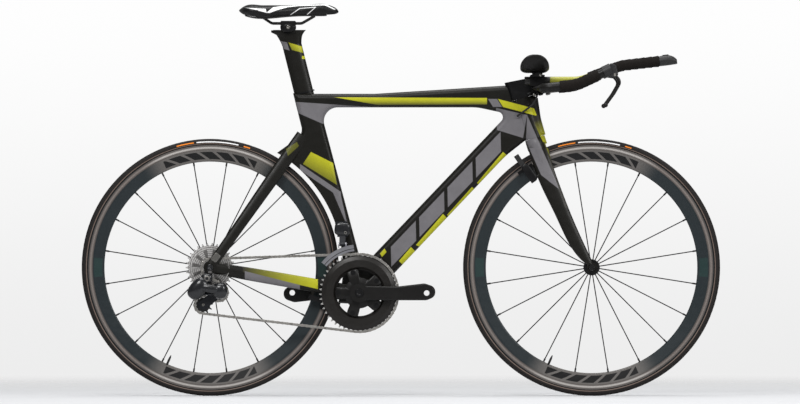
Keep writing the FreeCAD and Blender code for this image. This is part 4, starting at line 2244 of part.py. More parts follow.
def pair(maker):
    """Both sides of a mirrored piece in one node."""
    return Part.makeCompound([maker(-1), maker(1)])


def build_wheels():
    """Tyres, rims, spokes, hubs and quick releases."""
    front = V(FRONT_X, 0, AXLE_Z)
    rear = V(REAR_X, 0, AXLE_Z)
    for name, centre in (("front", front), ("rear", rear)):
        save(name + "_tyre", tyre(centre))
        save(name + "_rim", rim(centre))
    save("front_spokes", spokes(front, FLANGE_R, -FRONT_FLANGE_Y, FRONT_FLANGE_Y))
    save("rear_spokes", spokes(rear, REAR_FLANGE_R, -REAR_FLANGE_DRIVE_Y, REAR_FLANGE_LEFT_Y))
    save("front_hub", front_hub(front))
    save("rear_hub", rear_hub(rear))
    for name, centre, old, plate, turn in (
        ("front", front, FRONT_OLD, FORK_TIP_T, FRONT_QR_TURN),
        ("rear", rear, REAR_OLD, DROPOUT_T, REAR_QR_TURN),
    ):
        axle = skewer(centre, old, plate)
        axle.rotate(centre, Y_AXIS, turn)
        save(name + "_axle", axle)
        save(name + "_qr_lever", qr_lever(centre, old, plate, turn))


FRONT_QR_TURN = -24.0
REAR_QR_TURN = 35.0


def build_frame():
    """Frame pieces and what is fixed in them."""
    body = main_frame()
    save("main_frame", body)
    low_stays = Part.makeCompound([chain_stay(side, body) for side in BOTH_SIDES])
    save("chain_stays", low_stays)
    save("seat_stays", Part.makeCompound([seat_stay(side, body, low_stays) for side in BOTH_SIDES]))
    save("derailleur_hanger", derailleur_hanger())
    save("bottom_bracket_cups", bottom_bracket_cups())
    save("headset_bearings", headset_bearings())
    save("seat_collar", largest(seat_collar().cut(body)))
    save("seatpost", seatpost())
    save("saddle_clamp", saddle_clamp())
    cover = saddle_cover()
    low_cover = cover.copy()
    low_cover.translate(V(0, 0, -GAP))
    rails = saddle_rails().cut(low_cover)
    save("saddle_rails", rails)
    save("saddle_cover", cover)
    save("saddle_shell", saddle_shell().cut(low_cover).cut(rails))


def build_front():
    """Fork, cockpit and front brake."""
    save("fork", fork())
    save("stem", stem())
    save("base_bar", base_bar())
    save("bar_tape", Part.makeCompound([bar_tape(), extension_grips()]))
    save("armrest_brackets", pair(bracket))
    save("armrest_cups", pair(arm_cup))
    save("armrest_pads", pair(arm_pad))
    save("extension_bars", extension_bars())
    save("shifter_bodies", pair(shifter))
    save("brake_lever_bodies", pair(lever_body))
    save("brake_housing", brake_housing())
    for side, name in zip(BOTH_SIDES, ("right", "left")):
        save(name + "_brake_lever", brake_lever(side))
        save(name + "_shift_button", shifter_pocket(side, 0))
        save("front_brake_arm_" + name, brake_arm(V(FRONT_X, 0, AXLE_Z), FRONT_PAD_ANGLE, side))
        save("rear_brake_arm_" + name, brake_arm(V(REAR_X, 0, AXLE_Z), REAR_PAD_ANGLE, side))


def build_drivetrain():
    """Cranks, rings, cassette, chain and both derailleurs."""
    links, cage_turn = solve_chain()
    track = chain_track(cage_turn)
    wheels = chain_wheels(cage_turn)
    phases = [seat_phase(track, links, centre, radius) for centre, radius, side in wheels]
    save("chain", chain(links, cage_turn))
    save("outer_chainring", outer_chainring(phases[0]))
    save("inner_chainring", inner_chainring(phases[0]))
    save("chainring_bolts", chainring_bolts())
    save("drive_crank", drive_crank())
    save("left_crank", left_crank())
    save("cassette", cassette(phases[3]))
    save("tension_pulley", pulley(wheels[1][0], phases[1]))
    save("guide_pulley", pulley(wheels[2][0], phases[2]))
    save("rd_knuckle", rd_knuckle())
    outer, inner = rd_pivots(rd_root())
    save("rd_outer_link", rd_link(outer))
    save("rd_inner_link", rd_link(inner))
    save("rd_lower_knuckle", rd_p_knuckle())
    save("rd_cage", rd_cage(cage_turn))
    save("fd_body", fd_body())
    save("fd_link", fd_link())
    save("fd_cage", fd_cage())
    print("chain links", links, "cage angle", round(cage_turn, 3))


os.makedirs("parts", exist_ok=True)
build_wheels()
build_frame()
build_front()
build_drivetrain()
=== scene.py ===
"""Dresses the time trial bicycle: paint, rubber, carbon, steel, padding, tape, housing, camera and light."""
from __future__ import annotations

import json
import logging
import math
from dataclasses import dataclass
from enum import Enum

import bpy
import numpy as np
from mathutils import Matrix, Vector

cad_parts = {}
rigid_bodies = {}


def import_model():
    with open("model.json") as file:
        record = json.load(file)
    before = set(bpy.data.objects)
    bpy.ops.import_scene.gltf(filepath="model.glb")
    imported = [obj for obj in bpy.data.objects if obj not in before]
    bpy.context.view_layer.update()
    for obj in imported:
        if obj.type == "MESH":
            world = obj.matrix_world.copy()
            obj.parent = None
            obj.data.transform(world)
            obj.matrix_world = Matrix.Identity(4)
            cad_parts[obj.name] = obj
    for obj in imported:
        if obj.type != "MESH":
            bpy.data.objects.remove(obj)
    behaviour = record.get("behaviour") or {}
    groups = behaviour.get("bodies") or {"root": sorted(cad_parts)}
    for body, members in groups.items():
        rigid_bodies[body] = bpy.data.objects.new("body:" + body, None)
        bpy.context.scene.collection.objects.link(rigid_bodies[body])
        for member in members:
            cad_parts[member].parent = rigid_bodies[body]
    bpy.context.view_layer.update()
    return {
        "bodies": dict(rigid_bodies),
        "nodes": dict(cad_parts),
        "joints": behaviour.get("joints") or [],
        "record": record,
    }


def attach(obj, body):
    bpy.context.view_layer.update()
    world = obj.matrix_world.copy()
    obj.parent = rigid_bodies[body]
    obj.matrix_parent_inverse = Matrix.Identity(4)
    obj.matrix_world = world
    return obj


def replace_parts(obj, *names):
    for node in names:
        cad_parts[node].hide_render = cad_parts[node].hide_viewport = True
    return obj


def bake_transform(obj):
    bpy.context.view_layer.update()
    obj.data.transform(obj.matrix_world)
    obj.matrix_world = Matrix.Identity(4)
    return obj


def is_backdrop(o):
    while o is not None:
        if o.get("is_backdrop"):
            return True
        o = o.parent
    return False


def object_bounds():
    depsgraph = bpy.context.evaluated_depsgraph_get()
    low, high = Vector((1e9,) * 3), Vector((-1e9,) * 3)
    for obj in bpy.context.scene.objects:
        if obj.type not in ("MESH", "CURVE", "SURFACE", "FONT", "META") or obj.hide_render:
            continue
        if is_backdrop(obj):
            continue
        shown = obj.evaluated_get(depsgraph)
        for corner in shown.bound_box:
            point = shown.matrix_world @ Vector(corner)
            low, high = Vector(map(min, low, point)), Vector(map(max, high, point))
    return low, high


LOG = logging.getLogger("bicycle")
Point = tuple[float, float, float]
Pair = tuple[float, float]
Colour = tuple[float, float, float, float]
Socket = bpy.types.NodeSocket
Piece = bpy.types.Object
REAR_AXLE: Point = (-0.496, 0.0, 0.334)
FRONT_AXLE: Point = (0.496, 0.0, 0.334)
BOTTOM_BRACKET: Point = (-0.10804, 0.0, 0.2676)
AXLES = {"front": FRONT_AXLE, "rear": REAR_AXLE}
ACROSS: Point = (0.0, 1.0, 0.0)


def tone(red: int, green: int, blue: int) -> Colour:
    """Linear colour of a display colour given in steps of 255.

    Args:
        red: red step.
        green: green step.
        blue: blue step.

    Returns:
        Linear colour with an alpha of one.
    """
    steps = np.array([red, green, blue]) / 255.0
    linear = np.where(steps <= 0.04045, steps / 12.92, ((steps + 0.055) / 1.055) ** 2.4)
    return (float(linear[0]), float(linear[1]), float(linear[2]), 1.0)


def shaded(colour: Colour, gain: float, lift: float = 0.0) -> Colour:
    """The colour made lighter or darker by a gain, then lifted."""
    return tuple(part * gain + lift for part in colour[:3]) + (1.0,)


def unit(vectors: np.ndarray) -> np.ndarray:
    """The same vectors, each with a length of one."""
    return vectors / np.linalg.norm(vectors, axis=-1, keepdims=True)


def turns(count: int) -> np.ndarray:
    """Angles of a full turn in equal steps."""
    return np.arange(count) * (math.tau / count)


def walked(path: np.ndarray) -> np.ndarray:
    """Distance along a path at each of its places."""
    return np.concatenate([[0.0], np.cumsum(np.linalg.norm(np.diff(path, axis=0), axis=1))])


def quarter(share: np.ndarray, power: float = 2.0) -> np.ndarray:
    """Height of a rounded corner: one at nought, falling to nought at one along a curve of that power."""
    return np.sqrt(np.clip(1.0 - np.abs(share) ** power, 0.0, 1.0))


def between(value: np.ndarray, low: float, high: float) -> np.ndarray:
    """Share of the way from low to high, kept between nought and one."""
    return np.clip((value - low) / (high - low), 0.0, 1.0)


def eased(share: np.ndarray) -> np.ndarray:
    """Smooth step of a share."""
    return share * share * (3.0 - 2.0 * share)


class Tone(Enum):
    """Colours of painted, printed and shaded areas."""

    BLACK = tone(38, 36, 31)
    GREY = tone(100, 98, 101)
    YELLOW = tone(166, 165, 28)
    OLIVE = tone(80, 80, 22)
    WHITE = tone(226, 226, 226)
    ORANGE = tone(226, 128, 34)
    PINE = tone(29, 48, 47)
    TAUPE = tone(104, 90, 82)
    BEAD = tone(30, 27, 26)
    TRACK = tone(130, 121, 116)
    TRACK_LINE = tone(98, 92, 88)
    TRACK_EDGE = tone(72, 66, 63)
    # painted highlight on the brake track near the top and bottom of the wheel
    TRACK_BRIGHT = tone(176, 172, 168)
    SECTOR = tone(98, 94, 91)
    INK = tone(9, 9, 10)
    COG_SHADE = tone(92, 90, 88)
    # painted shade in the grooves of the derailleur cage
    GROOVE = tone(60, 60, 62)


class Way(Enum):
    """Sideways direction of the two halves of a paired piece."""

    RIGHT = -1
    LEFT = 1

    def label(self) -> str:
        """The side's name as piece and body names have it."""
        return self.name.lower()


@dataclass(frozen=True)
class SideView:
    """Scale of the side view: metres in a pixel, and the pixels of the middle and of the ground."""

    metres: float = 0.002601
    middle: float = 400.9
    ground: float = 395.8

    def place(self, pixel: Pair) -> Point:
        """Place of a pixel in the bicycle's middle plane."""
        return ((pixel[0] - self.middle) * self.metres, 0.0, (self.ground - pixel[1]) * self.metres)


VIEW = SideView()


class Wiring:
    """Adds and joins the nodes of one shader node tree."""

    def __init__(self, tree: bpy.types.NodeTree, place: Socket | None = None) -> None:
        """Keeps the tree that the nodes go into.

        Args:
            tree: a material's tree or a node group.
            place: place on the piece, in the bicycle's own metres.
        """
        self.tree = tree
        self.place = place

    @classmethod
    def material(cls, name: str) -> tuple[bpy.types.Material, Wiring]:
        """Makes a material.

        Args:
            name: the material's name.

        Returns:
            The material and the wiring of its nodes.
        """
        material = bpy.data.materials.new(name)
        material.use_nodes = True
        wiring = cls(material.node_tree)
        wiring.place = wiring.add("TexCoord").outputs["Object"]
        return material, wiring

    def add(self, kind: str, *values: object, **settings: object) -> bpy.types.Node:
        """Adds one node.

        Args:
            kind: the node's type name without its prefix.
            values: sources or plain values of its first inputs.
            settings: attributes set on the node.

        Returns:
            The node.
        """
        node = self.tree.nodes.new("ShaderNode" + kind)
        for name, value in settings.items():
            setattr(node, name, value)
        for socket, value in zip(node.inputs, values):
            self.feed(socket, value)
        return node

    def feed(self, socket: Socket, value: object) -> None:
        """Links a socket's source to it, or sets its plain value.

        Args:
            socket: input socket.
            value: output socket, number, colour or vector.
        """
        if isinstance(value, Socket):
            self.tree.links.new(value, socket)
        else:
            socket.default_value = value

    def feed_all(self, node: bpy.types.Node, inputs: dict[str, object]) -> Socket:
        """Feeds inputs of a node by their names.

        Args:
            node: the node.
            inputs: value or socket for each name.

        Returns:
            The node's first output.
        """
        for key, value in inputs.items():
            self.feed(node.inputs[key], value)
        return node.outputs[0]

    def math(self, operation: str, first: object, second: object = 0.0, clamp: bool = False) -> Socket:
        """Result of one operation on two values."""
        return self.add("Math", first, second, operation=operation, use_clamp=clamp).outputs[0]

    def times(self, first: object, second: object) -> Socket:
        """Product of two values."""
        return self.math("MULTIPLY", first, second)

    def plus(self, first: object, second: object, clamp: bool = False) -> Socket:
        """Sum of two values."""
        return self.math("ADD", first, second, clamp)

    def rest(self, value: object, whole: float = 1.0) -> Socket:
        """What a value leaves of the whole."""
        return self.math("SUBTRACT", whole, value)

    def wave(self, value: object, scale: float = 1.0) -> Socket:
        """Sine of a value times a scale."""
        return self.math("SINE", value if scale == 1.0 else self.times(value, scale))

    def vector(self, operation: str, first: object, second: object = (0.0, 0.0, 0.0)) -> Socket:
        """Result of one operation on two vectors: a vector, or the value of a dot product or a length."""
        node = self.add("VectorMath", first, second, operation=operation)
        return node.outputs[1 if operation in ("DOT_PRODUCT", "LENGTH") else 0]

    def split(self, vector: object) -> bpy.types.bpy_prop_collection:
        """The three parts of a vector."""
        return self.add("SeparateXYZ", vector).outputs

    def blend(self, amount: object, first: object, second: object) -> Socket:
        """Goes from the first colour to the second by an amount.

        Args:
            amount: value or socket from nought to one.
            first: colour or socket.
            second: colour or socket.

        Returns:
            The colour's socket.
        """
        node = self.add("Mix", amount, data_type="RGBA")
        self.feed(node.inputs[6], first)
        self.feed(node.inputs[7], second)
        return node.outputs[2]

    def ramp(self, value: object, low: float, high: float) -> Socket:
        """Smooth step of a value from nought at low to one at high."""
        return self.add("MapRange", value, low, high, interpolation_type="SMOOTHSTEP").outputs[0]

    def band(self, value: object, limits: Pair, soft: float) -> Socket:
        """One between two limits and nought outside them, with soft edges."""
        rise, fall = (self.ramp(value, limit - soft, limit + soft) for limit in limits)
        return self.math("SUBTRACT", rise, fall, True)

    def noise(self, place: object, scale: object, **settings: object) -> Socket:
        """Cloudy value about a half.

        Args:
            place: vector socket.
            scale: clouds in a metre.
            settings: other inputs by name.

        Returns:
            The value's socket.
        """
        return self.feed_all(self.add("TexNoise"), {"Vector": place, "Scale": scale, **settings})

    def group(self, name: str, **inputs: object) -> bpy.types.Node:
        """Places a shared node group at the piece's own place.

        Args:
            name: the group's name.
            inputs: value or socket for each other input.

        Returns:
            The group's node.
        """
        node = self.add("Group", node_tree=bpy.data.node_groups[name])
        self.feed_all(node, {"Position": self.place, **inputs})
        return node

    def polar(self, centre: Point) -> tuple[Socket, Socket]:
        """Radius and angle in degrees about an axle that runs sideways."""
        node = self.group("about_axle", Centre=centre)
        return node.outputs[0], node.outputs[1]


class SharedEffects:
    """Node groups that several finishes use, each built once."""

    def build(self) -> None:
        """Builds every group."""
        for effect in (self.panel, self.fade, self.grain, self.marks, self.about_axle, self.twill):
            effect()

    def start(self, name: str, inputs: dict[str, str], *outputs: str) -> tuple[Wiring, dict, dict]:
        """Makes an empty group with its sockets, the first of them the place on the piece.

        Args:
            name: the group's name.
            inputs: kind of socket for each other input's name.
            outputs: names of the value outputs.

        Returns:
            Wiring of the group, its input sockets by name and its output sockets by name.
        """
        tree = bpy.data.node_groups.new(name, "ShaderNodeTree")
        kinds = {"Position": "Vector", **inputs}
        for key, kind in kinds.items():
            tree.interface.new_socket(key, in_out="INPUT", socket_type="NodeSocket" + kind)
        for key in outputs:
            tree.interface.new_socket(key, in_out="OUTPUT", socket_type="NodeSocketFloat")
        entry, leave = tree.nodes.new("NodeGroupInput"), tree.nodes.new("NodeGroupOutput")
        wiring = Wiring(tree, entry.outputs["Position"])
        return wiring, {key: entry.outputs[key] for key in kinds}, {key: leave.inputs[key] for key in outputs}

    def panel(self) -> None:
        """Mask of a four-cornered panel in side view: the least of the four distances inside its edges."""
        names = ["Corner " + letter for letter in "ABCD"]
        wiring, entry, leave = self.start("side_panel", {**dict.fromkeys(names, "Vector"), "Softness": "Float"}, "Mask")
        corners = [entry[name] for name in names]
        depths = []
        for first, second in zip(corners, corners[1:] + corners[:1]):
            along = wiring.vector("SUBTRACT", second, first)
            inward = wiring.vector("NORMALIZE", wiring.vector("CROSS_PRODUCT", along, ACROSS))
            depths.append(wiring.vector("DOT_PRODUCT", wiring.vector("SUBTRACT", wiring.place, first), inward))
        least = depths[0]
        for depth in depths[1:]:
            least = wiring.math("MINIMUM", least, depth)
        wiring.feed(leave["Mask"], wiring.plus(wiring.math("DIVIDE", least, entry["Softness"]), 0.5, True))

    def fade(self) -> None:
        """Share of the way from one point to another, kept between nought and one."""
        wiring, entry, leave = self.start("fade_between", {"From": "Vector", "To": "Vector"}, "Amount")
        along = wiring.vector("SUBTRACT", entry["To"], entry["From"])
        gone = wiring.vector("SUBTRACT", wiring.place, entry["From"])
        square = wiring.vector("DOT_PRODUCT", along, along)
        wiring.feed(leave["Amount"], wiring.math("DIVIDE", wiring.vector("DOT_PRODUCT", gone, along), square, True))

    def grain(self) -> None:
        """Fine surface grain: a cloud of small bumps with a broader wave under it."""
        wiring, entry, leave = self.start("fine_grain", {"Scale": "Float"}, "Height")
        broad_share, broad_scale = 0.4, 0.22
        fine = wiring.noise(wiring.place, entry["Scale"])
        broad = wiring.noise(wiring.place, wiring.times(entry["Scale"], broad_scale))
        height = wiring.plus(wiring.times(fine, 1.0 - broad_share), wiring.times(broad, broad_share))
        wiring.feed(leave["Height"], height)

    def marks(self) -> None:
        """Handling marks: streaks of dust and rubbing as a mask from nought to one."""
        wiring, entry, leave = self.start("handling_marks", {"Scale": "Float"}, "Mask")
        streaked, faint, strong = (1.0, 1.0, 2.6), 0.42, 0.72
        stretched = wiring.vector("MULTIPLY", wiring.place, streaked)
        cloud = wiring.noise(stretched, entry["Scale"], Detail=6.0, Roughness=0.65)
        wiring.feed(leave["Mask"], wiring.ramp(cloud, faint, strong))

    def about_axle(self) -> None:
        """Radius in metres and angle in degrees about an axle that runs sideways."""
        wiring, entry, leave = self.start("about_axle", {"Centre": "Vector"}, "Radius", "Angle")
        flat = (1.0, 0.0, 1.0)
        gone = wiring.vector("MULTIPLY", wiring.vector("SUBTRACT", wiring.place, entry["Centre"]), flat)
        x, _, z = wiring.split(gone)
        wiring.feed(leave["Radius"], wiring.vector("LENGTH", gone))
        wiring.feed(leave["Angle"], wiring.times(wiring.math("ARCTAN2", z, x), 180.0 / math.pi))

    def twill(self) -> None:
        """Twill weave of carbon cloth: slanting bands that swap between the two threads."""
        wiring, entry, leave = self.start("twill_weave", {"Scale": "Float"}, "Weave")
        thread_share, limit = 0.6, 0.9
        x, y, z = wiring.split(wiring.place)
        across = wiring.times(wiring.plus(x, y), entry["Scale"])
        upward = wiring.times(wiring.plus(z, y), entry["Scale"])
        slant = wiring.wave(wiring.plus(across, upward))
        thread = wiring.wave(wiring.math("SUBTRACT", across, upward), 0.5)
        weave = wiring.plus(slant, wiring.times(thread, thread_share))
        wiring.feed(leave["Weave"], wiring.ramp(weave, -limit, limit))


@dataclass(frozen=True)
class Finish:
    """A finish: colour, gloss, grain and the marks of handling."""

    name: str
    colour: Colour
    roughness: float
    metallic: float = 0.0
    coat: float = 0.0
    coat_roughness: float = 0.12
    grain_scale: float = 1400.0
    grain_depth: float = 0.00003
    bump_strength: float = 0.6
    marks_scale: float = 26.0
    marks_gain: float = 0.10
    mottle: float = 0.12
    mottle_scale: float = 1.7
    sheen: float = 0.0
    mirror: float = 0.35

    def make(self) -> bpy.types.Material:
        """Builds the material.

        Returns:
            The material.
        """
        material, wiring = Wiring.material(self.name)
        surface = material.node_tree.nodes["Principled BSDF"]
        bump = wiring.add("Bump")
        wiring.feed_all(bump, {"Strength": self.bump_strength, "Distance": self.grain_depth,
                               "Height": self.relief(wiring)})
        wiring.feed_all(surface, {
            "Coat Roughness": self.coat_roughness, "Sheen Weight": self.sheen, "Specular IOR Level": self.mirror,
            "Metallic": self.shine(wiring), "Coat Weight": self.coat, "Base Color": self.paint(wiring),
            "Roughness": self.gloss(wiring), "Normal": bump.outputs[0]})
        return material

    def mottled(self, wiring: Wiring, colour: Colour) -> Socket:
        """A colour that wanders a little lighter and darker over the surface.

        Args:
            wiring: the material's wiring.
            colour: the middle colour.

        Returns:
            The colour's socket.
        """
        cloud = wiring.noise(wiring.place, self.marks_scale * self.mottle_scale, Detail=3.0)
        return wiring.blend(cloud, shaded(colour, 1.0 - self.mottle), shaded(colour, 1.0 + self.mottle))

    def grain(self, wiring: Wiring) -> Socket:
        """Fine grain of the surface."""
        return wiring.group("fine_grain", Scale=self.grain_scale).outputs[0]

    def paint(self, wiring: Wiring) -> Socket:
        """Colour over the surface: the finish's own colour, slightly mottled."""
        return self.mottled(wiring, self.colour)

    def shine(self, wiring: Wiring) -> object:
        """Metal share over the surface: the same everywhere."""
        return self.metallic

    def gloss(self, wiring: Wiring) -> Socket:
        """Roughness over the surface: its own value, and rougher where it was handled."""
        marks = wiring.group("handling_marks", Scale=self.marks_scale).outputs[0]
        return wiring.plus(wiring.times(marks, self.marks_gain), self.roughness, True)

    def relief(self, wiring: Wiring) -> Socket:
        """Height over the surface: fine grain."""
        return self.grain(wiring)


@dataclass(frozen=True)
class Panel:
    """A colour panel in side view: corners in pixels, its colour, and a second colour that it fades to."""

    corners: tuple[Pair, Pair, Pair, Pair]
    colour: Tone
    fade_from: Pair = (0.0, 0.0)
    fade_to: Pair = (0.0, 0.0)
    fade_colour: Tone | None = None
    soft: float = 0.0012

    def ordered(self) -> list[Point]:
        """Corners as points, turned so that the inside is on the side the panel group expects.

        Returns:
            Four points.
        """
        places = np.array([VIEW.place(pixel) for pixel in self.corners])
        ahead = np.roll(places, -1, axis=0)
        area = float(np.sum(places[:, 0] * ahead[:, 2] - ahead[:, 0] * places[:, 2]))
        return [tuple(row) for row in (places if area > 0.0 else places[::-1]).tolist()]


@dataclass(frozen=True)
class PaintFinish(Finish):
    """Satin paint with colour panels and a thin lacquer."""

    panels: tuple[Panel, ...] = ()

    def paint(self, wiring: Wiring) -> Socket:
        """Colour over the surface: the dark base with each panel laid over it in turn.

        Args:
            wiring: the material's wiring.

        Returns:
            The colour's socket.
        """
        colour = self.mottled(wiring, self.colour)
        for panel in self.panels:
            corners = {"Corner " + letter: corner for letter, corner in zip("ABCD", panel.ordered())}
            mask = wiring.group("side_panel", Softness=panel.soft, **corners).outputs[0]
            ink = self.mottled(wiring, panel.colour.value)
            if panel.fade_colour is not None:
                ends = {"From": VIEW.place(panel.fade_from), "To": VIEW.place(panel.fade_to)}
                ink = wiring.blend(wiring.group("fade_between", **ends).outputs[0], ink, panel.fade_colour.value)
            colour = wiring.blend(mask, colour, ink)
        return colour


@dataclass(frozen=True)
class CarbonFinish(Finish):
    """Moulded carbon: dark twill under satin lacquer."""

    weave_scale: float = 2100.0
    weave_gain: float = 0.22
    weave_lift: float = 0.002
    weave_share: float = 1.0

    def paint(self, wiring: Wiring) -> Socket:
        """Colour over the surface: two threads of nearly the same colour.

        Args:
            wiring: the material's wiring.

        Returns:
            The colour's socket.
        """
        weave = wiring.group("twill_weave", Scale=self.weave_scale).outputs[0]
        light = shaded(self.colour, 1.0 + self.weave_gain, self.weave_lift)
        return wiring.blend(wiring.times(weave, self.weave_share), self.mottled(wiring, self.colour), light)


@dataclass(frozen=True)
class RimFinish(CarbonFinish):
    """Deep rim: slate walls over twill, a machined brake track, and plain blocks on the walls.

    Radii are in metres. Angles are in degrees from upright.
    """

    weave_scale: float = 1900.0
    weave_gain: float = 0.3
    weave_lift: float = 0.0
    weave_share: float = 0.6
    centre: Point = (0.0, 0.0, 0.0)
    track: Pair = (0.3055, 0.3165)
    core: Pair = (0.3090, 0.3130)
    core_soft: float = 0.003
    track_soft: float = 0.0004
    track_dryness: float = 0.18
    line_scale: float = 9000.0
    wall: Pair = (0.2815, 0.3005)
    wall_soft: float = 0.0003
    block: Pair = (0.12, 0.88)
    block_soft: float = 0.012
    block_pitch: float = 8.0
    block_lean: float = 260.0
    row_end: Pair = (23.8, 24.2)
    sector_end: Pair = (22.0, 36.0)
    sector_share: float = 0.85
    box: Pair = (0.2805, 0.3025)
    box_soft: float = 0.0004
    box_end: Pair = (4.6, 5.0)

    def paint(self, wiring: Wiring) -> Socket:
        """Colour over the surface: slate, block rows above and below, side boxes, and the pale track, with a painted
        highlight on the track near the top and the bottom.

        Args:
            wiring: the material's wiring.

        Returns:
            The colour's socket.
        """
        radius, angle = wiring.polar(self.centre)
        upright = wiring.rest(wiring.math("ABSOLUTE", angle), 90.0)
        away = wiring.math("ABSOLUTE", upright)
        sector = wiring.rest(wiring.ramp(away, *self.sector_end))
        colour = wiring.blend(wiring.times(sector, self.sector_share), super().paint(wiring), Tone.SECTOR.value)
        slanted = wiring.plus(upright, wiring.times(radius, self.block_lean))
        phase = wiring.math("FRACT", wiring.math("DIVIDE", slanted, self.block_pitch))
        across = wiring.band(phase, self.block, self.block_soft)
        high = wiring.band(radius, self.wall, self.wall_soft)
        row = wiring.rest(wiring.ramp(away, *self.row_end))
        colour = wiring.blend(wiring.times(row, wiring.times(across, high)), colour, Tone.INK.value)
        level = wiring.math("ABSOLUTE", wiring.math("SUBTRACT", away, 90.0))
        box = wiring.rest(wiring.ramp(level, *self.box_end))
        box = wiring.times(wiring.band(radius, self.box, self.box_soft), box)
        colour = wiring.blend(box, colour, Tone.PINE.value)
        lines = wiring.ramp(wiring.wave(radius, self.line_scale), -1.0, 1.0)
        shade = wiring.blend(lines, Tone.TRACK.value, Tone.TRACK_LINE.value)
        # painted highlight: the track turns pale near the top and the bottom of the wheel
        shade = wiring.blend(sector, shade, Tone.TRACK_BRIGHT.value)
        shade = wiring.blend(wiring.band(radius, self.core, self.core_soft), Tone.TRACK_EDGE.value, shade)
        return wiring.blend(wiring.band(radius, self.track, self.track_soft), colour, shade)

    def gloss(self, wiring: Wiring) -> Socket:
        """Roughness over the surface: satin walls and a drier brake track."""
        track = wiring.band(wiring.polar(self.centre)[0], self.track, self.track_soft)
        return wiring.plus(super().gloss(wiring), wiring.times(track, self.track_dryness), True)


@dataclass(frozen=True)
class TyreFinish(Finish):
    """Tyre rubber: dark tread, brown-grey sidewall lines and short plain coloured bars."""

    BARS = ((97.5, 105.5, Tone.ORANGE), (77.0, 96.2, Tone.WHITE), (71.5, 74.5, Tone.ORANGE))
    centre: Point = (0.0, 0.0, 0.0)
    bead: Pair = (0.3188, 0.3206)
    wall_line: Pair = (0.3208, 0.3228)
    bar: Pair = (0.3250, 0.3278)
    bar_soft: float = 0.12
    soft: float = 0.0003
    wall_soft: float = 0.0004
    shoulder: Pair = (0.3290, 0.3325)
    shoulder_soft: float = 0.0006
    cut_edge: Pair = (0.55, 0.9)
    cut_turn: float = 4.2
    cut_slant: float = 900.0
    cord_scale: float = 15000.0
    cord_depth: float = 0.08

    def paint(self, wiring: Wiring) -> Socket:
        """Colour over the surface: rubber, two sidewall lines and the bars near the top.

        Args:
            wiring: the material's wiring.

        Returns:
            The colour's socket.
        """
        radius, angle = wiring.polar(self.centre)
        colour = self.mottled(wiring, self.colour)
        colour = wiring.blend(wiring.band(radius, self.bead, self.soft), colour, Tone.BEAD.value)
        colour = wiring.blend(wiring.band(radius, self.wall_line, self.wall_soft), colour, Tone.TAUPE.value)
        for low, high, shade in self.BARS:
            bar = wiring.times(wiring.band(angle, (low, high), self.bar_soft), wiring.band(radius, self.bar, self.soft))
            colour = wiring.blend(bar, colour, shade.value)
        return colour

    def relief(self, wiring: Wiring) -> Socket:
        """Height over the surface: slanting tread cuts on the shoulders and fine cord lines on the walls.

        Args:
            wiring: the material's wiring.

        Returns:
            The height's socket.
        """
        radius, angle = wiring.polar(self.centre)
        side = wiring.math("ABSOLUTE", wiring.split(wiring.place)[1])
        slant = wiring.plus(wiring.times(angle, self.cut_turn), wiring.times(side, self.cut_slant))
        shoulder = wiring.band(radius, self.shoulder, self.shoulder_soft)
        cuts = wiring.times(wiring.ramp(wiring.wave(slant), *self.cut_edge), shoulder)
        cord = wiring.times(wiring.wave(radius, self.cord_scale), self.cord_depth)
        return wiring.math("SUBTRACT", wiring.plus(self.grain(wiring), cord), cuts)


@dataclass(frozen=True)
class TurnedFinish(Finish):
    """Turned metal: fine rings about an axle, and bright metal outside a radius."""

    centre: Point = (0.0, 0.0, 0.0)
    bright_from: float = 9.0
    bright_soft: float = 0.0004
    bright: Colour = (0.55, 0.54, 0.52, 1.0)
    ring_scale: float = 7000.0
    ring_depth: float = 0.4

    def outside(self, wiring: Wiring) -> Socket:
        """Mask of what lies outside the bright radius."""
        low, high = self.bright_from - self.bright_soft, self.bright_from + self.bright_soft
        return wiring.ramp(wiring.polar(self.centre)[0], low, high)

    def paint(self, wiring: Wiring) -> Socket:
        """Colour over the surface: dark inside the bright radius and bare metal outside it."""
        inner = self.mottled(wiring, self.colour)
        return wiring.blend(self.outside(wiring), inner, self.mottled(wiring, self.bright))

    def shine(self, wiring: Wiring) -> object:
        """Metal share over the surface: bare metal outside the bright radius."""
        return wiring.math("MAXIMUM", self.outside(wiring), self.metallic)

    def relief(self, wiring: Wiring) -> Socket:
        """Height over the surface: fine turned rings on a little grain."""
        rings = wiring.wave(wiring.polar(self.centre)[0], self.ring_scale)
        return wiring.plus(wiring.times(rings, self.ring_depth), self.grain(wiring))


@dataclass(frozen=True)
class CogFinish(TurnedFinish):
    """Stacked sprockets: each cog's face is bright at its rim and dark where the next one shades it."""

    step: float = 0.0051
    groove: Pair = (0.05, 0.30)
    groove_soft: float = 0.10
    arms: float = 11.0
    arm_edge: Pair = (-0.1, 0.5)
    hollow: Pair = (0.022, 0.046)
    hollow_soft: float = 0.001
    hollow_share: float = 0.8

    def paint(self, wiring: Wiring) -> Socket:
        """Colour over the surface: bright rings, with painted shade in the grooves between them and in the cut-outs
        between arms.

        Args:
            wiring: the material's wiring.

        Returns:
            The colour's socket.
        """
        radius, angle = wiring.polar(self.centre)
        ring = wiring.math("FRACT", wiring.math("DIVIDE", radius, self.step))
        fan = wiring.ramp(wiring.wave(angle, self.arms * math.pi / 180.0), *self.arm_edge)
        # painted shade: dark bands where each cog's face is shaded by the next, and dark cut-outs between the arms
        hollow = wiring.times(fan, wiring.band(radius, self.hollow, self.hollow_soft))
        groove = wiring.band(ring, self.groove, self.groove_soft)
        dark = wiring.math("MAXIMUM", groove, wiring.times(hollow, self.hollow_share))
        return wiring.blend(dark, super().paint(wiring), Tone.COG_SHADE.value)


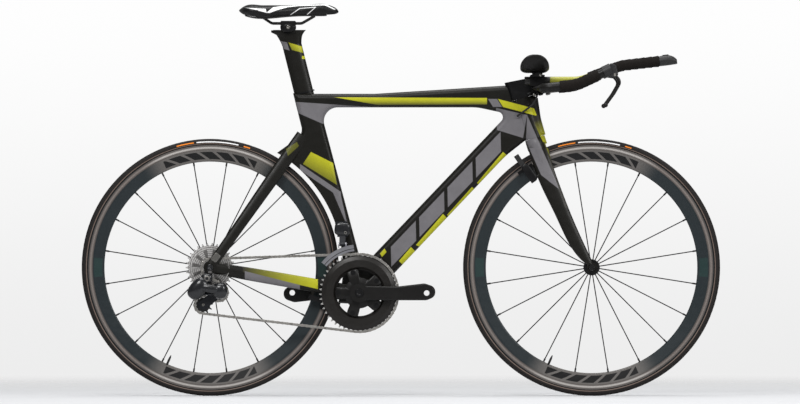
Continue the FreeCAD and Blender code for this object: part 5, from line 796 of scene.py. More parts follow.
@dataclass(frozen=True)
class CageFinish(TurnedFinish):
    """Pressed cage plates: bright alloy with painted shade along grooves that follow the chainring."""

    grooves: tuple[Pair, Pair] = ((0.1075, 0.1095), (0.1150, 0.1168))
    groove_soft: float = 0.0005

    def paint(self, wiring: Wiring) -> Socket:
        """Colour over the surface: alloy with painted shade along two grooves.

        Args:
            wiring: the material's wiring.

        Returns:
            The colour's socket.
        """
        radius = wiring.polar(self.centre)[0]
        first, second = (wiring.band(radius, groove, self.groove_soft) for groove in self.grooves)
        # painted shade along the two grooves
        return wiring.blend(wiring.math("MAXIMUM", first, second), super().paint(wiring), Tone.GROOVE.value)


@dataclass(frozen=True)
class SteelFinish(Finish):
    """Bright steel that has picked up dark oil in its hollows."""

    oil: Colour = (0.05, 0.045, 0.04, 1.0)
    oil_share: float = 0.5
    oil_scale: float = 210.0
    oil_edge: Pair = (0.5, 0.72)

    def paint(self, wiring: Wiring) -> Socket:
        """Colour over the surface: bright steel with patches of thin oil."""
        film = wiring.ramp(wiring.noise(wiring.place, self.oil_scale, Detail=4.0), *self.oil_edge)
        return wiring.blend(wiring.times(film, self.oil_share), self.mottled(wiring, self.colour), self.oil)


@dataclass(frozen=True)
class CoverFinish(PaintFinish):
    """Saddle cover: smooth grained skin with white strokes that are painted highlights."""

    cell_edge: Pair = (0.0, 0.12)

    def relief(self, wiring: Wiring) -> Socket:
        """Height over the surface: the cells of fine leather grain."""
        cells = wiring.add("TexVoronoi", feature="DISTANCE_TO_EDGE")
        return wiring.ramp(wiring.feed_all(cells, {"Vector": wiring.place, "Scale": self.grain_scale}), *self.cell_edge)


@dataclass(frozen=True)
class FoamFinish(Finish):
    """Foam pad with a knitted face."""

    knit_scale: float = 4200.0
    grain_share: float = 2.0

    def relief(self, wiring: Wiring) -> Socket:
        """Height over the surface: rows of knit loops over a soft unevenness.

        Args:
            wiring: the material's wiring.

        Returns:
            The height's socket.
        """
        knit = wiring.add("VectorMath", wiring.place, operation="SCALE")
        x, y, z = wiring.split(wiring.feed_all(knit, {"Scale": self.knit_scale}))
        loops = wiring.times(wiring.wave(x), wiring.wave(wiring.plus(y, z)))
        return wiring.plus(loops, wiring.times(self.grain(wiring), self.grain_share))


@dataclass(frozen=True)
class TapeFinish(Finish):
    """Bar tape: matt rubber with pressed dimples along each turn, read from the wrap's own map."""

    dimple: Pair = (0.18, 0.34)
    unevenness: float = 0.15
    grain_share: float = 0.6

    def relief(self, wiring: Wiring) -> Socket:
        """Height over the surface: grain with round dimples in rows on the wrap's map.

        Args:
            wiring: the material's wiring.

        Returns:
            The height's socket.
        """
        flat = wiring.add("UVMap", uv_map="wrap").outputs[0]
        cells = wiring.add("TexVoronoi", voronoi_dimensions="2D")
        gone = wiring.feed_all(cells, {"Vector": flat, "Scale": 1.0, "Randomness": self.unevenness})
        return wiring.plus(wiring.ramp(gone, *self.dimple), wiring.times(self.grain(wiring), self.grain_share))


class Mesher:
    """Builds mesh objects from whole arrays of points."""

    @staticmethod
    def placed(name: str, places: np.ndarray, faces: list[list[int]], smooth: bool = True) -> Piece:
        """Object in the scene from places and faces.

        Args:
            name: the object's name.
            places: rows of places.
            faces: rows of the places round each face.
            smooth: shades the faces as one round surface.

        Returns:
            The object.
        """
        mesh = bpy.data.meshes.new(name)
        mesh.from_pydata(places.tolist(), [], faces)
        mesh.polygons.foreach_set("use_smooth", np.full(len(mesh.polygons), smooth))
        mesh.update()
        piece = bpy.data.objects.new(name, mesh)
        bpy.context.scene.collection.objects.link(piece)
        return piece

    @staticmethod
    def grid(name: str, points: np.ndarray, map_sizes: Pair | None = None) -> Piece:
        """Closed object from a grid of points: each row is a ring, the rows follow each other, fans close the ends.

        Args:
            name: the object's name.
            points: array of rows, columns and three places.
            map_sizes: length along and around in cells, for a map of the wrap.

        Returns:
            The object, with outward faces and smooth shading.
        """
        rows, columns = points.shape[:2]
        row, column = (part.ravel() for part in np.indices((rows - 1, columns)))
        corner_rows = np.stack([row, row, row + 1, row + 1], axis=1)
        corner_columns = np.stack([column, column + 1, column + 1, column], axis=1)
        quads = corner_rows * columns + corner_columns % columns
        ring = np.arange(columns)
        ahead = np.roll(ring, -1)
        last, middle = (rows - 1) * columns, rows * columns
        first_fan = np.stack([ahead, ring, np.full(columns, middle)], axis=1)
        last_fan = np.stack([ring + last, ahead + last, np.full(columns, middle + 1)], axis=1)
        fans = np.vstack([first_fan, last_fan])
        places = np.vstack([points.reshape(-1, 3), points[0].mean(axis=0), points[-1].mean(axis=0)])
        triangles = np.vstack([quads[:, :3], quads[:, [0, 2, 3]], fans])
        spots = places[triangles] - places.mean(axis=0)
        if np.sum(spots[:, 0] * np.cross(spots[:, 1], spots[:, 2])) < 0.0:
            quads, fans = quads[:, ::-1], fans[:, ::-1]
            corner_rows, corner_columns = corner_rows[:, ::-1], corner_columns[:, ::-1]
        piece = Mesher.placed(name, places, quads.tolist() + fans.tolist())
        if map_sizes is not None:
            along, around = corner_rows / (rows - 1) * map_sizes[0], corner_columns / columns * map_sizes[1]
            whole = np.zeros((len(piece.data.loops), 2))
            whole[:quads.size] = np.stack([along, around], axis=2).reshape(-1, 2)
            piece.data.uv_layers.new(name="wrap").data.foreach_set("uv", whole.ravel())
        return piece

    @staticmethod
    def many(name: str, groups: list[np.ndarray]) -> Piece:
        """Object from many small closed shapes, each a stack of rings with flat ends.

        Args:
            name: the object's name.
            groups: arrays of shapes, rings, points in a ring and three places; rings run to a shape's left.

        Returns:
            The object, with flat faces.
        """
        places, faces, first = [], [], 0
        for shapes in groups:
            count, rings, columns = shapes.shape[:3]
            start = first + np.arange(count)[:, None, None] * (rings * columns)
            ring = np.arange(rings - 1)[None, :, None] * columns
            loop = np.arange(columns)
            ahead = np.roll(loop, -1)
            corners = (loop, loop + columns, ahead + columns, ahead)
            quads = np.stack([start + ring + corner for corner in corners], axis=3)
            ends = np.vstack([start[:, 0] + loop, start[:, 0] + (rings - 1) * columns + loop[::-1]])
            faces += quads.reshape(-1, 4).tolist() + ends.tolist()
            places.append(shapes.reshape(-1, 3))
            first += count * rings * columns
        return Mesher.placed(name, np.vstack(places), faces, smooth=False)

    @staticmethod
    def turned(name: str, profile: np.ndarray, base: Point, axis: Point, sides: int = 24,
               hexed: tuple[int, ...] = ()) -> Piece:
        """Object turned about an axis: a profile of radius and height carried round; some rows drawn to a hexagon.

        Args:
            name: the object's name.
            profile: rows of radius and height.
            base: where the height is nought.
            axis: direction of the height.
            sides: points in one turn.
            hexed: rows of the profile that are hexagons.

        Returns:
            The object.
        """
        sixth = math.pi / 6.0
        up = unit(np.array(axis))
        aside = unit(np.cross(up, (0.0, 0.0, 1.0) if abs(up[2]) < 0.9 else (1.0, 0.0, 0.0)))
        angle = turns(sides)
        shrink = np.ones((len(profile), sides))
        shrink[list(hexed)] = math.cos(sixth) / np.cos(np.mod(angle, 2.0 * sixth) - sixth)
        radius = profile[:, :1] * shrink
        points = np.array(base) + profile[:, 1][:, None, None] * up + (radius * np.cos(angle))[:, :, None] * aside
        return Mesher.grid(name, points + (radius * np.sin(angle))[:, :, None] * np.cross(up, aside))

    @staticmethod
    def pebble(name: str, centre: Point, half: Point, power: float, tilt: float) -> Piece:
        """Object like a rounded block: a ball drawn out towards its corners by a power law, stretched and tilted.

        Args:
            name: the object's name.
            centre: middle of the block.
            half: half its length, width and height before it is tilted.
            power: two gives an egg, larger numbers a squarer block.
            tilt: degrees that its front is raised, in the side view.

        Returns:
            The object.
        """
        rows, columns = 25, 48
        rise = np.linspace(-0.5, 0.5, rows + 2)[1:-1, None] * np.pi
        turn = turns(columns)[None, :]
        level, outline = ((np.abs(np.cos(angle)) ** power + np.abs(np.sin(angle)) ** power) ** (-1.0 / power)
                          for angle in (rise, turn))
        x = half[0] * level * np.cos(rise) * outline * np.cos(turn)
        y = half[1] * level * np.sin(rise) * np.ones_like(turn)
        z = half[2] * level * np.cos(rise) * outline * np.sin(turn)
        cosine, sine = math.cos(math.radians(tilt)), math.sin(math.radians(tilt))
        return Mesher.grid(name, np.stack([x * cosine - z * sine, y, x * sine + z * cosine], axis=2) + np.array(centre))

    @staticmethod
    def tube(name: str, path: np.ndarray, radius: np.ndarray, map_sizes: Pair | None = None) -> Piece:
        """Object like a hose: rings carried along a path that bends in one upright plane or nearly so.

        Args:
            name: the object's name.
            path: rows of places.
            radius: radius for each place and each point of its ring.
            map_sizes: length along and around in cells, for a map of the wrap.

        Returns:
            The object.
        """
        ahead = unit(np.gradient(path, axis=0))
        upward = unit(np.cross(ahead, ACROSS))
        angle = turns(radius.shape[1])
        points = path[:, None, :] + (radius * np.cos(angle))[:, :, None] * np.cross(upward, ahead)[:, None, :]
        return Mesher.grid(name, points + (radius * np.sin(angle))[:, :, None] * upward[:, None, :], map_sizes)

    @staticmethod
    def even(path: np.ndarray, count: int) -> np.ndarray:
        """The same path in equal steps.

        Args:
            path: rows of places.
            count: number of places wanted.

        Returns:
            Rows of places at equal distances.
        """
        gone = walked(path)
        steps = np.linspace(0.0, gone[-1], count)
        return np.stack([np.interp(steps, gone, part) for part in path.T], axis=1)


@dataclass(frozen=True)
class BentTube:
    """Centre line of a tube with arcs at its inner corners, in metres."""

    corners: tuple[Point, ...]
    radii: tuple[float, ...]
    arc_steps: int = 25
    fine_steps: int = 1200

    def line(self) -> np.ndarray:
        """Places along the centre line: straight runs joined by arcs that touch both runs.

        Returns:
            Rows of places.
        """
        corners = np.array(self.corners)
        share = np.linspace(0.0, 1.0, self.arc_steps)[:, None]
        runs = [corners[:1]]
        for index, radius in enumerate(self.radii, start=1):
            corner = corners[index]
            back, ahead = unit(corners[index - 1] - corner), unit(corners[index + 1] - corner)
            half = np.arccos(np.clip(np.dot(back, ahead), -1.0, 1.0)) / 2.0
            middle = corner + unit(back + ahead) * radius / np.sin(half)
            start, end = (corner + way * radius / np.tan(half) - middle for way in (back, ahead))
            sweep = np.pi - 2.0 * half
            arc = (np.sin((1.0 - share) * sweep) * start + np.sin(share * sweep) * end) / np.sin(sweep)
            runs.append(middle + arc)
        return np.vstack(runs + [corners[-1:]])

    def part(self, start: Point, end: Point, count: int) -> np.ndarray:
        """Stretch of the centre line between two places near it.

        Args:
            start: place where the stretch starts.
            end: place where it ends.
            count: number of places.

        Returns:
            Rows of places in equal steps.
        """
        fine = Mesher.even(self.line(), self.fine_steps)
        first, last = (int(np.argmin(np.linalg.norm(fine - np.array(spot), axis=1))) for spot in (start, end))
        return Mesher.even(fine[first:last + 1], count)


@dataclass(frozen=True)
class Wrap:
    """Tape wound on a tube: radius of the shell, pitch of the turns, lift of each overlap."""

    inner: float
    outer: float
    pitch: float
    lift: float
    crest: float = 0.86
    cell: float = 0.0030
    rows: int = 260
    columns: int = 40

    def sweep(self, name: str, path: np.ndarray, side: Way) -> Piece:
        """Closed sleeve carried along the path: radius rises along each turn and drops at its edge, as a saw wave.

        Args:
            name: the object's name.
            path: centre line in equal steps.
            side: half of the pair, which sets the hand of the winding.

        Returns:
            The sleeve.
        """
        length = float(walked(path)[-1])
        along = np.linspace(0.0, length, self.rows)[:, None]
        turn = np.mod(along / self.pitch + side.value * turns(self.columns)[None, :] / math.tau, 1.0)
        saw = np.where(turn < self.crest, turn / self.crest, (1.0 - turn) / (1.0 - self.crest))
        thick = self.outer - self.inner
        ends = quarter(1.0 - between(np.minimum(along, length - along), 0.0, thick))
        radius = self.inner + (thick + (saw - 0.5) * self.lift) * ends
        cells = (length / self.cell, math.tau * self.outer / self.cell)
        return Mesher.tube(name, Mesher.even(path, self.rows), radius, cells)


@dataclass(frozen=True)
class Winding:
    """A wound stretch of bar on each side: the bar's corners and bends in side view, and the stretch's ends."""

    name: str
    across: float
    corners: tuple[Pair, ...]
    radii: tuple[float, ...]
    start: Pair
    end: Pair
    steps: int
    wrap: Wrap

    def wound(self, side: Way) -> Piece:
        """Makes the winding of one side.

        Args:
            side: half of the pair.

        Returns:
            The object.
        """
        y = self.across * side.value
        *corners, start, end = ((x, y, z) for x, z in self.corners + (self.start, self.end))
        path = BentTube(tuple(corners), self.radii).part(start, end, self.steps)
        return self.wrap.sweep(self.name + side.label(), path, side)


@dataclass
class Assembly:
    """A group of CAD nodes and pieces of the bicycle that share their finishes."""

    BOLT_HEAD = ((1.0, -0.15), (1.0, 0.72), (0.93, 0.92), (0.84, 1.0), (0.6, 1.0), (0.55, 0.95), (0.5, 0.4),
                 (0.1, 0.35))
    BOLT_HOLLOW = (5, 6)
    frame: dict
    finishes: dict[str, bpy.types.Material]

    def dress(self, finish: str, *names: str) -> None:
        """Gives CAD nodes a finish.

        Args:
            finish: the finish's name.
            names: CAD nodes.
        """
        for name in names:
            piece = self.frame["nodes"][name]
            piece.data.materials.clear()
            piece.data.materials.append(self.finishes[finish])
            LOG.info("node %s in %s", name, finish)

    def coat(self, piece: Piece, finish: str) -> None:
        """Gives a new piece its finish."""
        piece.data.materials.append(self.finishes[finish])

    def give(self, piece: Piece, finish: str, body: str) -> Piece:
        """Gives a new piece its finish and the body it rides on.

        Args:
            piece: the new piece.
            finish: the finish's name.
            body: the body's name.

        Returns:
            The piece.
        """
        self.coat(piece, finish)
        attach(piece, body)
        LOG.info("piece %s in %s on %s", piece.name, finish, body)
        return piece

    def bolt(self, name: str, base: Point, sizes: Pair, finish: str, body: str, axis: Point | None = None) -> None:
        """Adds a socket bolt head: a chamfered cylinder with a six-sided hollow, turned about its axis.

        Args:
            name: the piece's name.
            base: middle of the head's foot.
            sizes: radius and height of the head.
            finish: the finish's name.
            body: the body's name.
            axis: direction that the head faces, or none for outward from the middle plane.
        """
        facing = axis or (0.0, math.copysign(1.0, base[1]), 0.0)
        profile = np.array(self.BOLT_HEAD) * np.array(sizes)
        self.give(Mesher.turned(name, profile, base, facing, hexed=self.BOLT_HOLLOW), finish, body)

    def paired(self, name: str, base: Point, sizes: Pair, finish: str, body: str) -> None:
        """Adds a bolt on both sides, each facing outward.

        Args:
            name: the pieces' name without its side.
            base: middle of the right head's foot.
            sizes: radius and height of the head.
            finish: the finish's name.
            body: the body's name, with braces where it has its side.
        """
        for side in Way:
            spot = (base[0], -side.value * base[1], base[2])
            self.bolt(name + "_" + side.label(), spot, sizes, finish, body.format(side.label()))


@dataclass
class FrameSet(Assembly):
    """Frame, fork, seat post and brakes."""

    def build(self) -> None:
        """Dresses the frame's pieces."""
        self.dress("frame_paint", "main_frame", "seat_stays", "chain_stays", "fork", "seatpost")
        self.dress("anodised_black", "seat_collar", "saddle_clamp", "headset_bearings", "bottom_bracket_cups")
        self.dress("mech_grey", "derailleur_hanger")
        for end in AXLES:
            self.dress("anodised_black", *(end + "_brake_arm_" + side.label() for side in Way))
        self.fittings()

    def fittings(self) -> None:
        """Adds the bolts and covers of the brakes, the seat clamp and the saddle clamp, and the post's head."""
        black, steel, front = "anodised_black", "bright_steel", "front_arm_{}"
        self.paired("front_pad_bolt", (0.3234, -0.0329, 0.5897), (0.0042, 0.0030), steel, front)
        self.paired("rear_pad_bolt", (-0.2002, -0.0329, 0.2464), (0.0042, 0.0030), steel, "rear_arm_{}")
        self.paired("front_arm_bolt", (0.3420, -0.0334, 0.5623), (0.0055, 0.0026), black, front)
        for side in Way:
            arm = Mesher.pebble("front_brake_cover_" + side.label(), (0.3340, 0.0330 * side.value, 0.5800),
                                (0.0270, 0.0045, 0.0115), 3.0, 126.0)
            self.give(arm, black, front.format(side.label()))
            barrel = Mesher.pebble("saddle_clamp_barrel_" + side.label(), (-0.2931, 0.0220 * side.value, 0.9585),
                                   (0.0205, 0.0080, 0.0135), 2.4, 0.0)
            self.give(barrel, black, "rail_clamp")
        self.give(self.post_head(), "frame_paint", "post")
        plate = Mesher.pebble("dropout_plate", (-0.4810, -0.0722, 0.3597), (0.0115, 0.0016, 0.0085), 6.0, 52.0)
        self.give(plate, steel, "frame")
        self.bolt("axle_end", (-0.4957, -0.0849, 0.3340), (0.0080, 0.0018), "mech_gloss", "frame")
        self.paired("saddle_clamp_bolt", (-0.2931, -0.0298, 0.9585), (0.0052, 0.0022), steel, "rail_clamp")

    @staticmethod
    def post_head() -> Piece:
        """Flare at the top of the post: ovals whose rear end runs out by a power law of the height.

        Returns:
            The object.
        """
        rows, columns, roundness, lid = 28, 56, 0.8, 0.86
        foot, tall, half_width, widening = 0.9165, 0.0340, 0.0122, 0.0020
        rear_foot, rear_reach, rear_power = -0.3085, 0.0292, 2.4
        front_foot, front_reach, front_power, early = -0.2585, 0.0055, 3.0, 1.2
        share = np.concatenate([[1.0], np.linspace(1.0, 0.0, rows)])[:, None]
        inset = np.concatenate([[lid], np.ones(rows)])[:, None]
        flare = np.minimum(share * early, 1.0)
        turn = turns(columns)[None, :]
        ahead, aside = (np.sign(wave) * np.abs(wave) ** roundness for wave in (np.cos(turn), np.sin(turn)))
        rear = rear_foot - rear_reach * flare ** rear_power
        front = front_foot + front_reach * flare ** front_power
        x = (rear + front) / 2.0 + (front - rear) / 2.0 * inset * ahead
        y = (half_width + widening * share) * inset * aside
        return Mesher.grid("seatpost_head", np.stack([x, y, np.broadcast_to(foot + tall * share, x.shape)], axis=2))


@dataclass
class Wheels(Assembly):
    """Rims, tyres, spokes and hubs, with the valves added."""

    VALVE = ((0.0046, 0.0), (0.0046, 0.0018), (0.0030, 0.0024), (0.0030, 0.0160), (0.0026, 0.0168),
             (0.0026, 0.0215), (0.0016, 0.0225), (0.0016, 0.0262), (0.0007, 0.0268))
    valve_angle: float = 246.0
    valve_foot: float = 0.2775

    def build(self) -> None:
        """Dresses both wheels and adds their valves."""
        for end, centre in AXLES.items():
            self.dress(end + "_rim_paint", end + "_rim")
            self.dress(end + "_tyre_rubber", end + "_tyre")
            self.dress("spoke_black", end + "_spokes")
            self.dress(end + "_hub_black", end + "_hub", end + "_axle")
            self.dress("anodised_black", end + "_qr_lever")
            self.valve(end, centre)

    def valve(self, end: str, centre: Point) -> None:
        """Adds a valve: a thin stem with a collar, a knurled nut and a cap, turned about a line to the axle.

        Args:
            end: front or rear.
            centre: the wheel's axle.
        """
        angle = math.radians(self.valve_angle)
        out = np.array([math.cos(angle), 0.0, math.sin(angle)])
        base = np.array(centre) + out * self.valve_foot
        piece = Mesher.turned(end + "_valve", np.array(self.VALVE), tuple(base), tuple(-out), sides=16)
        self.give(piece, "anodised_black", end + "_wheel")


@dataclass
class Saddle(Assembly):
    """Saddle cover made as a swelled surface over the rails and shell.

    Each station has its share of the length, then shares of width, height, skirt and crown.
    """

    tail: float = -0.421
    length: float = 0.259
    half_width: float = 0.066
    base: float = 0.990
    height: float = 0.027
    skirt: float = 0.011
    crown: float = 0.007
    stations: tuple[tuple[float, float, float, float, float], ...] = (
        (0.0, 0.62, 0.56, 0.45, 0.35), (0.06, 0.92, 0.9, 0.1, 0.8), (0.25, 1.0, 0.96, -0.55, 1.0),
        (0.45, 0.7, 0.97, -0.2, 0.9), (0.65, 0.4, 1.0, 0.05, 0.75), (0.88, 0.31, 1.05, 0.1, 0.7),
        (1.0, 0.2, 0.62, 0.3, 0.4))

    def build(self) -> None:
        """Dresses the rails and shell and makes the cover."""
        self.dress("carbon_black", "saddle_rails")
        self.dress("plastic_black", "saddle_shell")
        cover = self.give(Mesher.grid("saddle_padding", self.surface()), "saddle_skin", "saddle")
        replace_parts(cover, "saddle_cover")

    def surface(self, rows: int = 120, columns: int = 72) -> np.ndarray:
        """Cover as sections along the saddle: each a closed outline of base, bulged flanks and crowned top.

        The flank runs out from the base and back to the shoulder as a sine bulge; the top is a raised
        cosine from shoulder to shoulder; the first and last sections draw in by a quarter circle.

        Args:
            rows: sections along the saddle.
            columns: points round each section.

        Returns:
            Array of rows, columns and three places.
        """
        under_end, flank_end, top_end = 0.22, 0.36, 0.86
        foot, shoulder, swell, swell_power, arch_power = 0.86, 0.90, 0.125, 0.8, 1.2
        groove_width, groove_depth = 0.010, 0.0016
        closing_from, least_draw, tail_focus, nose_focus = 0.90, 0.1, 0.75, 0.40
        table = np.array(self.stations).T
        share = 0.5 - 0.5 * np.cos(np.linspace(0.0, np.pi, rows))[:, None]
        width, top, base, crown = (self.smooth(table[0], values, share) for values in table[1:])
        top_z = self.base + self.height * top
        base_z = self.base + self.skirt * base
        edge_z = top_z - self.crown * crown
        spot = np.linspace(0.0, 1.0, columns, endpoint=False)[None, :]
        under, flank = between(spot, 0.0, under_end), between(spot, under_end, flank_end)
        over, back = between(spot, flank_end, top_end), between(spot, top_end, 1.0)
        out, home = (foot + (shoulder - foot) * part + swell * np.sin(np.pi * part) ** swell_power
                     for part in (flank, 1.0 - back))
        side = np.select([spot < under_end, spot < flank_end, spot < top_end],
                         [foot * (2.0 * under - 1.0), out, shoulder * np.cos(np.pi * over)], -home)
        arch = np.sin(np.pi * over) ** arch_power
        y = self.half_width * width * side
        groove = np.exp(-(y / groove_width) ** 2) * np.clip(np.sin(np.pi * share), 0.0, 1.0) * arch
        z = base_z + (edge_z - base_z) * (flank - back) + (top_z - edge_z) * arch - groove_depth * groove
        draw = np.maximum(quarter(between(np.abs(2.0 * share - 1.0), closing_from, 1.0)), least_draw)
        focus = base_z + (top_z - base_z) * np.where(share < 0.5, tail_focus, nose_focus)
        x = np.broadcast_to(self.tail + self.length * share, y.shape)
        return np.stack([x, y * draw, focus + (z - focus) * draw], axis=2)

    @staticmethod
    def smooth(places: np.ndarray, values: np.ndarray, wanted: np.ndarray) -> np.ndarray:
        """Curve through a few values, each span eased by its slopes as a cubic.

        Args:
            places: where the values are.
            values: the values.
            wanted: where the curve is wanted.

        Returns:
            The curve's values.
        """
        slopes = np.gradient(values, places)
        span = np.clip(np.searchsorted(places, wanted, side="right") - 1, 0, len(places) - 2)
        width = places[span + 1] - places[span]
        part = (wanted - places[span]) / width
        left = 1.0 - part
        first = (1.0 + 2.0 * part) * left ** 2 * values[span] + part * left ** 2 * width * slopes[span]
        return first + part ** 2 * (3.0 - 2.0 * part) * values[span + 1] - part ** 2 * left * width * slopes[span + 1]


@dataclass
class Cockpit(Assembly):
    """Bars, tape, grips, arm rests, levers and the brake housing."""

    WINDINGS = (
        Winding("horn_tape_", 0.195, ((0.368, 0.799), (0.455, 0.80716), (0.541, 0.847)), (0.120,),
                (0.4115, 0.80308), (0.51348, 0.8342512), 200, Wrap(0.01215, 0.0147, 0.0145, 0.0007)),
        Winding("extension_wrap_", 0.052, ((0.322, 0.8185), (0.465, 0.8185), (0.575, 0.859), (0.672, 0.870)),
                (0.090, 0.090), (0.4892, 0.82741), (0.6716, 0.86996), 240, Wrap(0.01125, 0.0138, 0.0185, 0.0013)))
    STOPS = ((0.3330, 0.7850), (0.3480, 0.7830), (0.3640, 0.7845), (0.3830, 0.7855))
    STOP_SHAPE = ((0.0062, 0.0036, 0.0034), 3.0, 12.0)
    stop_side: float = 0.0290
    HOUSING = ((0.35604, -0.033, 0.7885), (0.35044, -0.033, 0.7633), (0.32244, -0.033, 0.74118),
               (0.30228, -0.0248, 0.72718))
    cup_side: float = 0.078
    cup_middle: float = 0.34804
    cup_axis: float = 0.8856
    cup_radius: float = 0.046

    def build(self) -> None:
        """Dresses the bars and makes the soft pieces and the housing."""
        self.dress("carbon_black", "base_bar")
        self.dress("extension_carbon", "extension_bars")
        self.dress("anodised_black", "stem", "armrest_brackets")
        self.dress("plastic_black", "shifter_bodies", "brake_lever_bodies")
        for side in Way:
            self.dress("carbon_black", side.label() + "_brake_lever")
            self.dress("black_rubber", side.label() + "_shift_button")
            for winding in self.WINDINGS:
                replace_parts(self.give(winding.wound(side), "grip_tape", "steering"), "bar_tape")
            self.arm_rest(side)
        self.housing()
        self.fittings()

    def fittings(self) -> None:
        """Adds the bolts of the arm rests, the levers and the wing, and the cable stops below the wing."""
        steel = "bright_steel"
        self.paired("arm_rest_bolt", (0.3618, -0.0909, 0.8330), (0.0034, 0.0020), steel, "steering")
        self.paired("lever_pivot_bolt", (0.5540, -0.2032, 0.8331), (0.0040, 0.0014), steel, "steering")
        for number, across in enumerate((-0.012, 0.012)):
            self.bolt("wing_clamp_bolt_%d" % number, (0.3751, across, 0.8000), (0.0042, 0.0030), steel, "steering",
                      (1.0, 0.0, 0.0))
        for number, (x, z) in enumerate(self.STOPS):
            for side in Way:
                name = "wing_stop_%d_%s" % (number, side.label())
                stop = Mesher.pebble(name, (x, self.stop_side * side.value, z), *self.STOP_SHAPE)
                self.give(stop, steel if number % 2 else "anodised_black", "steering")

    def trough(self, name: str, side: Way, sizes: Point, thick: float, edge: float) -> Piece:
        """Makes a thick sheet on an arc about the cup's axis, bowed like a dish.

        The arc's half angle shortens towards both ends along a circle, which gives the domed outline in side
        view. Its radius shrinks there along an ellipse, which rounds the underside. The thickness swells as the
        product of two rounded boxes, one along the arm and one round the arc.

        Args:
            name: start of the object's name.
            side: half of the pair.
            sizes: half length, height of the dome and radius of the outer face.
            thick: thickness in the middle.
            edge: share of the thickness left at the edges.

        Returns:
            The object.
        """
        half_length, height, outer_radius = sizes
        corner, flat, bowl, rows, columns = 0.033, 0.018, 0.011, 49, 30
        round_power, along_power = 6.0, 8.0
        reach = np.linspace(-1.0, 1.0, rows)[:, None]
        swing = np.linspace(-1.0, 1.0, columns)[None, :]
        along = half_length * np.sin(reach * np.pi / 2.0)
        dome = between(np.abs(along), half_length - corner, half_length)
        dish = between(np.abs(along), flat, half_length)
        top = height - corner * (1.0 - quarter(dome))
        outer = outer_radius - bowl * (1.0 - quarter(dish))
        outside = swing * np.arccos(np.clip((self.cup_radius - top) / (outer - thick * 0.5), -1.0, 1.0))
        swell = quarter(swing, round_power) * quarter(reach, along_power)
        inner = outer - thick * (edge + (1.0 - edge) * swell)
        angle = np.concatenate([outside, outside[:, ::-1]], axis=1)
        radius = np.concatenate([np.broadcast_to(outer, outside.shape), inner], axis=1)
        x = np.broadcast_to(self.cup_middle + along, angle.shape)
        y = self.cup_side * side.value + radius * np.sin(angle)
        z = self.cup_axis - radius * np.cos(angle)
        return Mesher.grid(name + side.label(), np.stack([x, y, z], axis=2))

    def arm_rest(self, side: Way) -> None:
        """Makes one arm cup and the cushion that lines it.

        Args:
            side: half of the pair.
        """
        cup = self.trough("arm_cup_", side, (0.0370, 0.0470, 0.0460), 0.0030, 0.6)
        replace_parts(self.give(cup, "carbon_black", "steering"), "armrest_cups")
        pad = self.trough("arm_pad_", side, (0.0338, 0.0436, 0.0426), 0.0096, 0.12)
        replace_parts(self.give(pad, "pad_foam", "steering"), "armrest_pads")

    def housing(self) -> None:
        """Makes the brake housing: a round tube carried along a curve through the route's points."""
        route, radius, steps, sides = self.HOUSING, 0.0025, 64, 16
        curve = bpy.data.curves.new("housing_route", "CURVE")
        curve.dimensions = "3D"
        curve.resolution_u = 16
        spline = curve.splines.new("NURBS")
        spline.points.add(len(route) - 1)
        spline.points.foreach_set("co", np.column_stack([np.array(route), np.ones(len(route))]).ravel())
        spline.order_u = 3
        spline.use_endpoint_u = True
        guide = bpy.data.objects.new("housing_route", curve)
        bpy.context.scene.collection.objects.link(guide)
        drawn = bpy.data.meshes.new_from_object(guide)
        line = np.zeros(len(drawn.vertices) * 3)
        drawn.vertices.foreach_get("co", line)
        bpy.data.objects.remove(guide)
        bpy.data.meshes.remove(drawn)
        path = Mesher.even(line.reshape(-1, 3), steps)
        piece = Mesher.tube("brake_cable_housing", path, np.full((steps, sides), radius))
        self.coat(piece, "black_rubber")
        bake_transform(piece)
        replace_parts(piece, "brake_housing")


@dataclass(frozen=True)
class Stretch:
    """A length of chain between two distances along its line.

    It follows one body, or lies between two bodies and stays where it is made. Begin and end are the shares of the
    change from the first body's motion to the second's that the stretch would start and end with; nothing reads them.
    """

    name: str
    low: float
    high: float
    first: str
    second: str
    begin: float = 0.0
    end: float = 1.0
    open_run: bool = False


